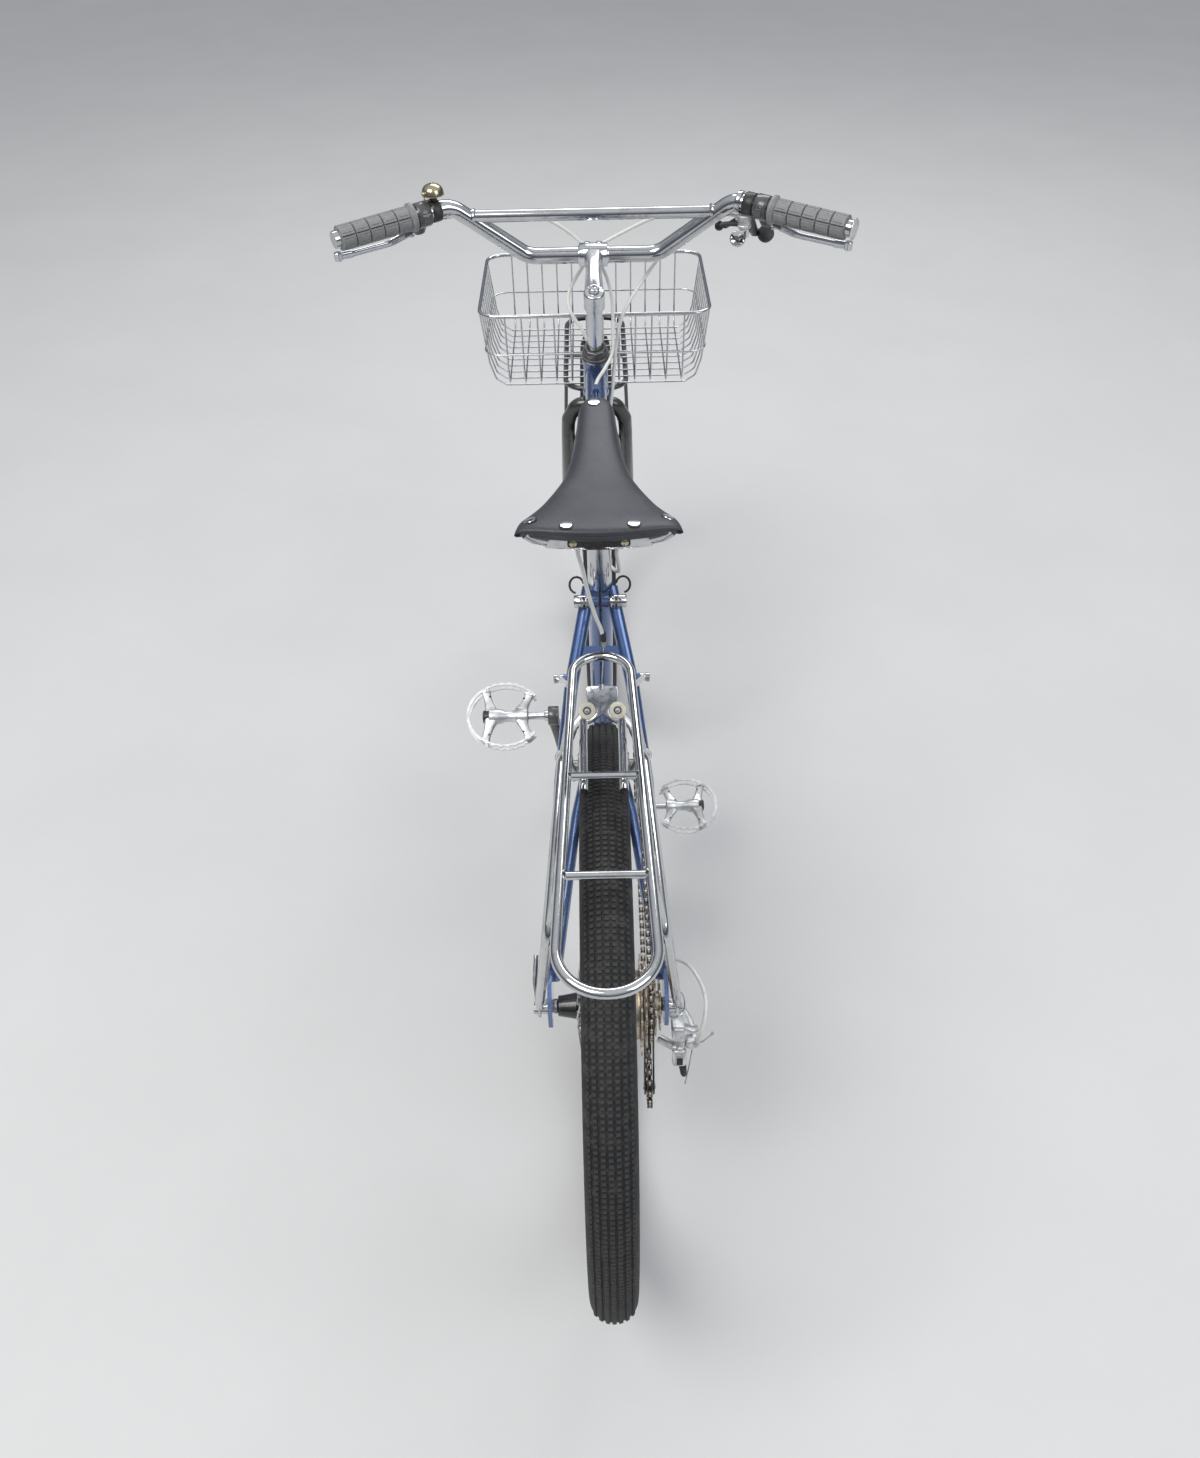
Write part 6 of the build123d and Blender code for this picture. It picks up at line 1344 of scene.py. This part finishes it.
bm = bmesh.new()
path = rounded(bar_points(-1)[::-1] + bar_points(1), 38, 14)
tube(bm, path, 11.1, 32)
low, bend, end = bar_points(1)
joint = low + (bend - low) * 0.8
tube(bm, [(-joint.x, joint.y, joint.z), joint], 8, 26)
for side in (-1, 1):
    place = Vector((side * joint.x, joint.y, joint.z))
    lathe(bm, [(-12.4, 8.1), (-11.4, 9.6), (-8.4, 10.6), (-7.0, 8.1)], place, RIGHT * side, 28,
          ring_shape=True)
lathe(bm, [(-21.5, 11.2), (-21.5, 12.2), (-20.2, 12.8), (20.2, 12.8), (21.5, 12.2), (21.5, 11.2)], CLAMP,
      RIGHT, 48, ring_shape=True)
piece("chromed_handlebar", bm, "steering", chrome, ["handlebar"])

# Grips: moulded rubber sleeves with an inner flange and five rows of six raised blocks between
# grooves whose faces take near-black rubber as painted shade. Each block takes up BLOCK of the steps round
# the grip.


def grip_way(side):
    """Direction of the grip stretch, outward."""
    bend, end = bar_points(side)[1:]
    return (end - bend).normalized()


def on_grip(side, s):
    """Point on the grip stretch of the bar, s out from the top bend."""
    return bar_points(side)[1] + grip_way(side) * s


grip_rubber = finish_material("grip_rubber", (0.215, 0.22, 0.22), 0.5, 0.0, vary=0.12, vary_scale=200,
                              grain=2600, bump=0.00012, rough_vary=0.08, dirt=(0.2, 0.19, 0.17),
                              dirt_share=0.3)
# Near-black rubber for the groove faces: painted shade in the grooves.
grip_groove_painted_shade = finish_material("grip_groove_painted_shade", (0.03, 0.031, 0.033), 0.75, 0.0, vary=0.15, grain=2000,
                              bump=0.0001)
GRIP_STEPS, BLOCK = 120, 20
for side, word in ((-1, "left"), (1, "right")):
    bm = bmesh.new()
    along = grip_way(side)
    start = on_grip(side, 56)
    first = along.orthogonal().normalized()
    second = along.cross(first)
    stations = [(0, 17.4, 0), (0.8, 18.4, 0), (4.6, 18.4, 0), (6, 16.8, 0), (7.5, 15.9, 0)]
    edges = (8.5, 28.5, 48.5, 68.5, 88.5, 109)
    for low_s, high_s in zip(edges, edges[1:]):
        stations += [(low_s, 14.3, 0), (low_s + 1.0, 15.9, 1), (low_s + 3.2, 15.9, 2), (low_s + 3.8, 15.9, 2),
                     (high_s - 4.6, 15.9, 2), (high_s - 4.0, 15.9, 1), (high_s - 1.8, 15.9, 1),
                     (high_s - 0.9, 14.3, 0)]
    rings = []
    for s, r, cut in stations:
        ring = []
        for k, a in enumerate(turns(GRIP_STEPS)):
            spot = k % BLOCK
            deep_cut = cut and spot in (0, 1)
            shallow = cut == 2 and spot in (5, 16)
            rr = r - 1.5 if deep_cut else r - 0.7 if shallow else r
            ring.append(bm.verts.new(start + along * s + first * (rr * cos(a)) + second * (rr * sin(a))))
        rings.append(ring)
    for number, (a, b) in enumerate(zip(rings, rings[1:])):
        deep = stations[number][1] < 14.5 and stations[number + 1][1] < 14.5
        both = stations[number][2] and stations[number + 1][2]
        for k in range(GRIP_STEPS):
            j = (k + 1) % GRIP_STEPS
            # Groove faces get the near-black second material, as painted shade.
            groove = deep or both and k % BLOCK == 0
            bm.faces.new((a[k], a[j], b[j], b[k])).material_index = 1 if groove else 0
    bm.faces.new(rings[0][::-1])
    bm.faces.new(rings[-1])
    piece("moulded_grip_" + word, bm, "steering", [grip_rubber, grip_groove_painted_shade], ["grip_" + word],
          angle=30)
bm = bmesh.new()
lathe(bm, [(117.6, 0), (117.6, 14), (118.4, 13.4), (118.6, 0)], on_grip(1, 56), grip_way(1), 40)
piece("grip_end_disc", bm, "steering", satin, ())

# Brake levers: black clamp and perch with an adjusting barrel; a silver blade lies under each grip.
# On the right a chromed collar sits further in on the bar.


def ahead(side):
    """Level direction square to the grip, away from the rider."""
    along = grip_way(side)
    return Vector((-side * along.y, side * along.x, 0)).normalized()


for side, word in ((-1, "left"), (1, "right")):
    along, forward, down = grip_way(side), ahead(side), -UP
    at = on_grip(side, 34)
    bm = bmesh.new()
    lathe(bm, [(0, 11.2), (0, 15.2), (1, 16), (17, 16), (18, 15.2), (18, 11.2)], at, along, 44,
          ring_shape=True)
    perch = at + along * 9 + forward * 20 + down * 18
    way = (perch - (at + along * 9 + forward * 8)).normalized()
    cross_way = way.cross(along)
    loft(bm, [oval(at + along * 9 + way * d, along, cross_way, w, h, 3.0, 24)
              for d, w, h in ((8, 8.6, 8.2), (16, 8.2, 7.4), (24, 8.6, 7.0), (31, 8.0, 6.6))])
    path = rounded([at + along * 9 + forward * 14 + down * 12, perch + down * 2,
                    perch + along * 22 + down * 8], 8, 5)
    tube(bm, path, lambda t: 8.6 - 2.2 * t, 18, flat=0.8, flat_way=UP)
    box(bm, at + along * 9 - forward * 14.0 + down * 2.5, (10, 8, 11), along, UP, 1.8, 2)
    piece("lever_perch_" + word, bm, "steering", black_paint, ["brake_lever_" + word],
          angle=45)
    bm = bmesh.new()
    blade = rounded([perch + along * 12 + down * 8, perch + along * 42 + forward * 8 + down * 18,
                     perch + along * 96 + forward * 4 + down * 15,
                     perch + along * 117 + forward * 6 + down * 14], 30, 8)
    tube(bm, blade, lambda t: 5.4 - 1.2 * sin(pi * min(1, t * 1.1)), 18, flat=0.55, flat_way=forward)
    lathe(bm, [(-5.5, 0), (-5.5, 4.6), (-4.5, 5.4), (4.5, 5.4), (5.5, 4.6), (5.5, 0)],
          perch + along * 116.6 + forward * 5.4 + down * 14, UP, 24)
    piece("lever_blade_" + word, bm, "steering", polished, ())
    bm = bmesh.new()
    lathe(bm, [(2, 0), (2, 3.4), (7, 3.4), (7.6, 4.5), (15, 4.5), (16, 3.8), (16, 2.8), (14, 2.6), (14, 0)],
          perch, -along, 24)
    for s in (-3, 3):
        hexagon(bm, at + along * (9 + s) - forward * 14 + UP * 3.0, UP, 3.2, 2.6)
    bolt(bm, perch + along * 9 + down * 12.5 + forward * 1, down, 3.6, 2.4)
    piece("lever_fittings_" + word, bm, "steering", chrome, ())
bm = bmesh.new()
lathe(bm, [(0, 11.15), (0, 13.6), (1, 14.2), (5.6, 14.2), (6.4, 13.6), (6.4, 11.15)], on_grip(1, 6),
      grip_way(1), 44, ring_shape=True)
piece("bar_collar_right", bm, "steering", chrome, ())

# Thumb shifter: a clamp band, a silver drum with a knurled tension screw below, and a black paddle.
# Two black knobs and a knurled dial face the rider.
bm = bmesh.new()
along, forward = grip_way(1), ahead(1)
at = on_grip(1, 17.5)
mount = at + along * 5 - forward * 12 - UP * 14
shift_way = (forward * 0.6 - along * 0.8).normalized()
lathe(bm, [(4, 0), (4, 8.4), (3, 9.6), (-3, 10), (-4, 9.2), (-8, 9.2), (-9, 10), (-11, 10), (-12, 9.2),
           (-12, 0)], mount, UP, 48)
lathe(bm, [(0, 0), (0, 3.6), (13, 3.6), (14, 4.2), (19, 4.2), (20, 3.4), (20, 0)], mount - UP * 6, shift_way,
      24)
piece("shifter_drum", bm, "steering", satin, ["shifter"])
bm = bmesh.new()
lathe(bm, [(0, 11.2), (0, 14.4), (0.8, 15), (13.2, 15), (14, 14.4), (14, 11.2)], at, along, 44,
      ring_shape=True)
paddle_at, paddle_way = mount - UP * 8, -along - forward * 0.54 - UP * 0.07
loft(bm, [oval(paddle_at + paddle_way * d, UP, along.cross(UP), h, w, 3.0, 20)
          for d, h, w in ((6, 3.0, 4.6), (14, 2.6, 4.0), (20, 2.8, 5.2), (25, 2.6, 5.6), (27, 1.6, 4.4))])
bolt(bm, at + along * 7 - UP * 14 + forward * 6, -UP, 3.0, 2.0)
tube(bm, [on_grip(1, 22.5) - UP * 12, (226, 883, 896), (241, 881, 896)], lambda t: 6.5 - 1.5 * t, 16)
lathe(bm, [(-7, 0), (-7, 8.5), (-5, 11), (1, 11.6), (3.4, 10.2), (4.6, 6), (4.8, 0)], (242, 880, 895),
      Vector((0.1, -0.75, 0.65)), 32)
tube(bm, [on_grip(1, 22.5) - UP * 10, (186, 886, 904), (177, 881, 907)], 3.2, 14)
lathe(bm, [(-4, 0), (-4, 5), (-2.6, 6.3), (1.6, 6.3), (3, 5), (3.2, 0)], (176, 880, 907),
      Vector((0, -0.72, 0.69)), 24)
piece("shifter_paddle", bm, "steering", black_plastic, ())
bm = bmesh.new()
ridges = [(a, 6.6 if k % 2 else 6.1) for k, a in enumerate(turns(48))]
loft(bm, [[mount + UP * drop + Vector(((r - cut) * cos(a), (r - cut) * sin(a), 0)) for a, r in ridges]
          for drop, cut in ((-12, 0.8), (-12.8, 0.0), (-15.0, 0.0), (-15.8, 1.0))])
knob, knob_way = Vector((203, 881, 889)), Vector((0, -0.72, 0.69))
tube(bm, [on_grip(1, 22.5) - UP * 14, (215, 884, 893), (204, 882, 888)], 4.6, 16)
lathe(bm, [(-6, 0), (-6, 9.6), (-4, 10.8), (0.4, 10.8), (1.4, 9.8), (1.4, 3.2), (2.6, 2.6), (2.6, 0)], knob,
      knob_way, 36)
for a in turns(18):
    way = Vector((cos(a), 0.69 * sin(a), 0.72 * sin(a)))
    box(bm, knob + way * 10.6 - knob_way * 1.6, (1.6, 1.2, 3.4), knob_way.cross(way), knob_way, 0.3, 1)
piece("shifter_tension_screw", bm, "steering", chrome, (), angle=50)

# Bell: a turned brass dome on a black band, with a ball striker on a bent spring wire. It sits further
# in on the bar than the left lever.
bm = bmesh.new()
along, forward = grip_way(-1), ahead(-1)
at = on_grip(-1, 18)
middle = at + along * 6
lathe(bm, [(21.2, 13.0), (21.0, 15.0), (22.4, 15.0), (23.6, 14.6), (27, 13.9), (30.2, 12.2), (32.6, 9.4),
           (34.2, 5.6), (34.9, 2.2), (35, 0)], middle, UP, 64)
lathe(bm, [(34.6, 0), (34.6, 2.4), (35.6, 2.2), (36, 0)], middle, UP, 24)
strike = middle + along * 15.5 + UP * 26 - forward * 4
lathe(bm, [(-2.6, 0), (-2.3, 1.3), (-1.3, 2.3), (0, 2.6), (1.3, 2.3), (2.3, 1.3), (2.6, 0)], strike, UP, 20)
piece("bell_dome", bm, "steering", brass, ["bell"])
bm = bmesh.new()
lathe(bm, [(0, 11.2), (0, 13.4), (0.8, 14), (11.2, 14), (12, 13.4), (12, 11.2)], at, along, 40,
      ring_shape=True)
lathe(bm, [(10, 0), (10, 5), (22, 4.4), (22, 0)], middle, UP, 24)
piece("bell_band", bm, "steering", black_plastic, ())
bm = bmesh.new()
tube(bm, rounded([middle + UP * 16 + along * 3, middle + UP * 17 + along * 14 - forward * 3, strike - UP * 2],
                 4, 6), 0.8, 8)
piece("bell_spring", bm, "steering", chrome, ())

# Front rack: a flat loop of tube under the basket, braced to the crown and to the fork ends, whose
# axle is the second piece here.
RACK_X, RACK_Z, LEG_X = 47, 664, 59.3
bm = bmesh.new()
loop = [(RACK_X, 888, RACK_Z), (RACK_X, 1146, RACK_Z), (-RACK_X, 1146, RACK_Z), (-RACK_X, 888, RACK_Z)]
tube(bm, rounded(loop, 32, 10, closed=True), 4.0, 18, closed=True)
tube(bm, [(-RACK_X, 1002, RACK_Z), (RACK_X, 1002, RACK_Z)], 2.8, 12)
for side in (-1, 1):
    crown = head(362, side * 14)
    start = Vector((side * 14, 888, RACK_Z))
    tube(bm, [start, crown + (start - crown).normalized() * 13.3], 3.0, 14)
    knee, foot = Vector((side * RACK_X, 1002, RACK_Z)), Vector((side * LEG_X, 1021, 355))
    tube(bm, [knee, foot + (knee - foot).normalized() * 8, foot + Vector((0, -0.6, -2)),
              (side * LEG_X, 1019, 343)], lambda t: 3.0 if t < 0.7 else 4.0, 14)
    lathe(bm, [(55.1, 5.2), (55.1, 8.6), (58.4, 9.0), (62.6, 9.0), (63.3, 8.2), (63.3, 5.2)], FRONT_AXLE,
          RIGHT * side, 28, ring_shape=True)
# The rack's chromed tubes take the black paint here: painted shade under the basket.
piece("front_rack_tubes", bm, "steering", black_paint, ["front_rack"])
bm = bmesh.new()
axle_piece(bm, FRONT_AXLE, 50.0, 43.0, 43.0, 5.0)
piece("front_release_axle", bm, "steering", steel, ["front_axle"])

# Basket: chromed wires welded where they cross, a thick rolled rim and a ring round the middle. It
# stands on the front rack.
LOW, HIGH, TOP, WIRE = 669.6, 672.5, 784.5, 1.3
bm = bmesh.new()
half = [(170, TOP), (161, 706), (153, 680), (137, LOW)]
for i in range(10):
    y = 895 + 194 * i / 9
    tube(bm, rounded([(x, y, z) for x, z in half] + [(-x, y, z) for x, z in reversed(half)], 9, 4), WIRE, 10)
path = [(874, TOP), (881, 706), (888, 684), (897, HIGH), (1087, HIGH), (1099, 684), (1104, 706), (1110, TOP)]
for x in (12.0, 36.0, 60.0, 84.0, 108.0, 132.0):
    for side in (-1, 1):
        tube(bm, rounded([(side * x, y, z) for y, z in path], 9, 4), WIRE, 10)
for x, rear_y, front_y, z, bend, steps, r, sides in ((170, 874, 1110, 786, 26, 9, 2.9, 16),
                                                     (166, 876.4, 1108.3, 726, 24, 8, WIRE, 10)):
    ring = [(x, rear_y, z), (x, front_y, z), (-x, front_y, z), (-x, rear_y, z)]
    tube(bm, rounded(ring, bend, steps, closed=True), r, sides, closed=True)
piece("basket_wires", bm, "steering", chrome, ["basket"], angle=60)

# Cable housings: white plastic over steel, held only at their ends. Two of them cross the steering
# joint; these are plain meshes that ride on no body. Each line is a smooth spline; the first three run as
# their CAD nodes do.
white = finish_material("white_housing", (0.74, 0.74, 0.70), 0.34, 0.0, vary=0.05, grain=1800,
                        rough_vary=0.08, dirt=(0.35, 0.32, 0.27), dirt_share=0.25, dirt_scale=90)
DOWN_STOP = DOWN_FRONT - down_way * 70 + RIGHT * (DOWN_TUBE_R + HOUSING_R + 0.6)


def spline_curve(name, points):
    """Smooth open spline over the control points, in metres."""
    curve = bpy.data.curves.new(name, "CURVE")
    curve.dimensions = "3D"
    curve.resolution_u = 12
    spline = curve.splines.new("NURBS")
    spline.points.add(len(points) - 1)
    for knot, point in zip(spline.points, points):
        knot.co = (*metres(point), 1.0)
    spline.order_u = 3
    spline.use_endpoint_u = True
    obj = bpy.data.objects.new(name, curve)
    bpy.context.scene.collection.objects.link(obj)
    return obj


def line_of(obj):
    """Points along a curve that has no thickness."""
    mesh = bpy.data.meshes.new_from_object(obj)
    points = [v.co.copy() for v in mesh.vertices]
    bpy.data.meshes.remove(mesh)
    return points


def cable(name, points, replaces=(), body=None, bends=None, r=HOUSING_R):
    """White housing, r in millimetres. One that crosses the steering joint is a plain mesh on no body."""
    obj = spline_curve(name, points)
    line = line_of(obj)
    obj.data.bevel_depth = r * 0.001
    obj.data.bevel_resolution = 5
    obj.data.use_fill_caps = True
    obj.data.materials.append(white)
    if bends:
        mesh = bpy.data.meshes.new_from_object(obj)
        bpy.data.objects.remove(obj)
        obj = bpy.data.objects.new(name, mesh)
        mesh.shade_smooth()
        bpy.context.scene.collection.objects.link(obj)
        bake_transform(obj)
    else:
        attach(obj, body)
    if replaces:
        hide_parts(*replaces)
    return line


def lever_outlet(side):
    """Mouth of a brake lever's barrel."""
    return on_grip(side, 43) + ahead(side) * 20 - UP * 18 - grip_way(side) * 16.3


def with_ends(start, start_way, middle, end, end_way):
    """The middle places with a straight run at each end; both ways point along the line's course."""
    last = end - end_way * 0.6
    return [start, start + start_way * 14] + [Vector(p) for p in middle] + [last - end_way * 14, last]


shifter_end = on_grip(1, 22.5) - ahead(1) * 12 - UP * 20 + (ahead(1) * 0.6 - grip_way(1) * 0.8) * 20.3
cable("rear_brake_housing", with_ends(lever_outlet(-1), -grip_way(-1), [
    (-150, 893, 927), (-81, 914, 917), (-46, 925, 896), (-14, 924, 870), (15, 905, 842), (26, 884, 812),
    (27, 862, 785), (26, 845, 767), (25, 818, 752), (14, 786, 746)], TOP_STOP, -top_way),
    ["rear_brake_cable"], bends=(metres(TOP_STOP), metres((15, 905, 842))))
cable("shift_housing", with_ends(shifter_end, shift_way, [
    (160, 900, 912), (115, 912, 878), (88, 904, 848), (66, 890, 822), (43, 868, 796), (34, 858, 770),
    (28, 842, 730), (24, 815, 693)], DOWN_STOP, -down_way),
    ["shift_cable"], bends=(metres(DOWN_STOP), metres((43, 868, 796))))
cable("front_brake_housing", with_ends(lever_outlet(1), -grip_way(1), [
    (150, 895, 928), (90, 922, 908), (38, 932, 880), (2, 930, 862), (-20, 912, 836), (-38, 888, 815),
    (-38, 870, 800), (-30, 864, 786), (-12, 863, 760)], CROWN_STOP, stop_way),
    ["front_brake_cable"], body="steering")
cable("bridge_housing", [REAR_STOP + Vector((0, 3, 0.4)), REAR_STOP + Vector((4, -14, 5)), (23, 303, 735),
                         (20.5, 284, 764), (18, 270, 788), (24, 257, 807), (22, 250, 821),
                         (13.5, 244.5, 831.5), (0.5, 240.5, 836), (-12.5, 238, 832.5), (-21.5, 236.8, 822),
                         (-23, 237.5, 808), (-17.5, 240.5, 785), (-15.4, 245.5, 762), (-6, 255, 710),
                         (2.2, 259.4, 685), BRIDGE_STOP + UP * 6], body="frame", r=2.3)
cable("derailleur_housing", [(86, 74, 316), (92, 64, 327), (101, 46, 339), (111, 20, 343), (115, -2, 341),
                             (112, -20, 331), (107.5, -30, 318), BARREL_AT + BARREL_WAY * 13,
                             BARREL_AT + BARREL_WAY * 5], body="frame", r=2.3)

# Stage: a pale floor and soft light from large panels, with a sky that is darker near the horizon so
# that the chrome has something to mirror.
FLOOR_HALF, FLOOR_Z = 30.0, -0.884
floor_mesh = bpy.data.meshes.new("floor")
corners = [(x * FLOOR_HALF, y * FLOOR_HALF, FLOOR_Z) for x, y in ((-1, -1), (1, -1), (1, 1), (-1, 1))]
floor_mesh.from_pydata(corners, [], [(0, 1, 2, 3)])
floor = bpy.data.objects.new("floor", floor_mesh)
bpy.context.scene.collection.objects.link(floor)
floor_mesh.materials.append(finish_material("floor", (0.58, 0.58, 0.575), 0.85, 0.0, vary=0.02, vary_scale=3,
                                            grain=40))
for name, place, aim, wide, high, power, colour in (
        ("key", (-1.6, -1.4, 3.0), (0, 0.1, -0.2), 2.4, 1.8, 105, (1.0, 0.98, 0.95)),
        ("fill", (2.4, -1.6, 2.0), (0, 0.2, -0.3), 2.0, 2.0, 38, (0.93, 0.96, 1.0)),
        ("back", (0.6, 3.2, 2.6), (0, 0.4, -0.2), 3.0, 1.2, 60, (0.97, 0.98, 1.0))):
    light = bpy.data.lights.new(name, "AREA")
    light.shape = "RECTANGLE"
    light.size, light.size_y = wide, high
    light.energy = power
    light.color = colour
    lamp = bpy.data.objects.new(name, light)
    lamp.location = place
    lamp.rotation_euler = (Vector(aim) - Vector(place)).to_track_quat("-Z", "Y").to_euler()
    bpy.context.scene.collection.objects.link(lamp)
world = bpy.data.worlds.new("studio")
bpy.context.scene.world = world
world.use_nodes = True
sky = world.node_tree
backdrop = sky.nodes["Background"]
direction = sky.nodes.new("ShaderNodeTexCoord")
split = sky.nodes.new("ShaderNodeSeparateXYZ")
ramp = sky.nodes.new("ShaderNodeValToRGB")
ramp.color_ramp.elements[0].position = 0.0
ramp.color_ramp.elements[0].color = (0.06, 0.065, 0.08, 1)
ramp.color_ramp.elements[1].position = 0.85
ramp.color_ramp.elements[1].color = (0.95, 0.97, 1.0, 1)
step = ramp.color_ramp.elements.new(0.28)
step.color = (0.26, 0.29, 0.35, 1)
sky.links.new(direction.outputs["Generated"], split.inputs["Vector"])
sky.links.new(split.outputs["Z"], ramp.inputs["Fac"])
sky.links.new(ramp.outputs["Color"], backdrop.inputs["Color"])
backdrop.inputs["Strength"].default_value = 0.75
bpy.context.scene.view_settings.view_transform = "Standard"
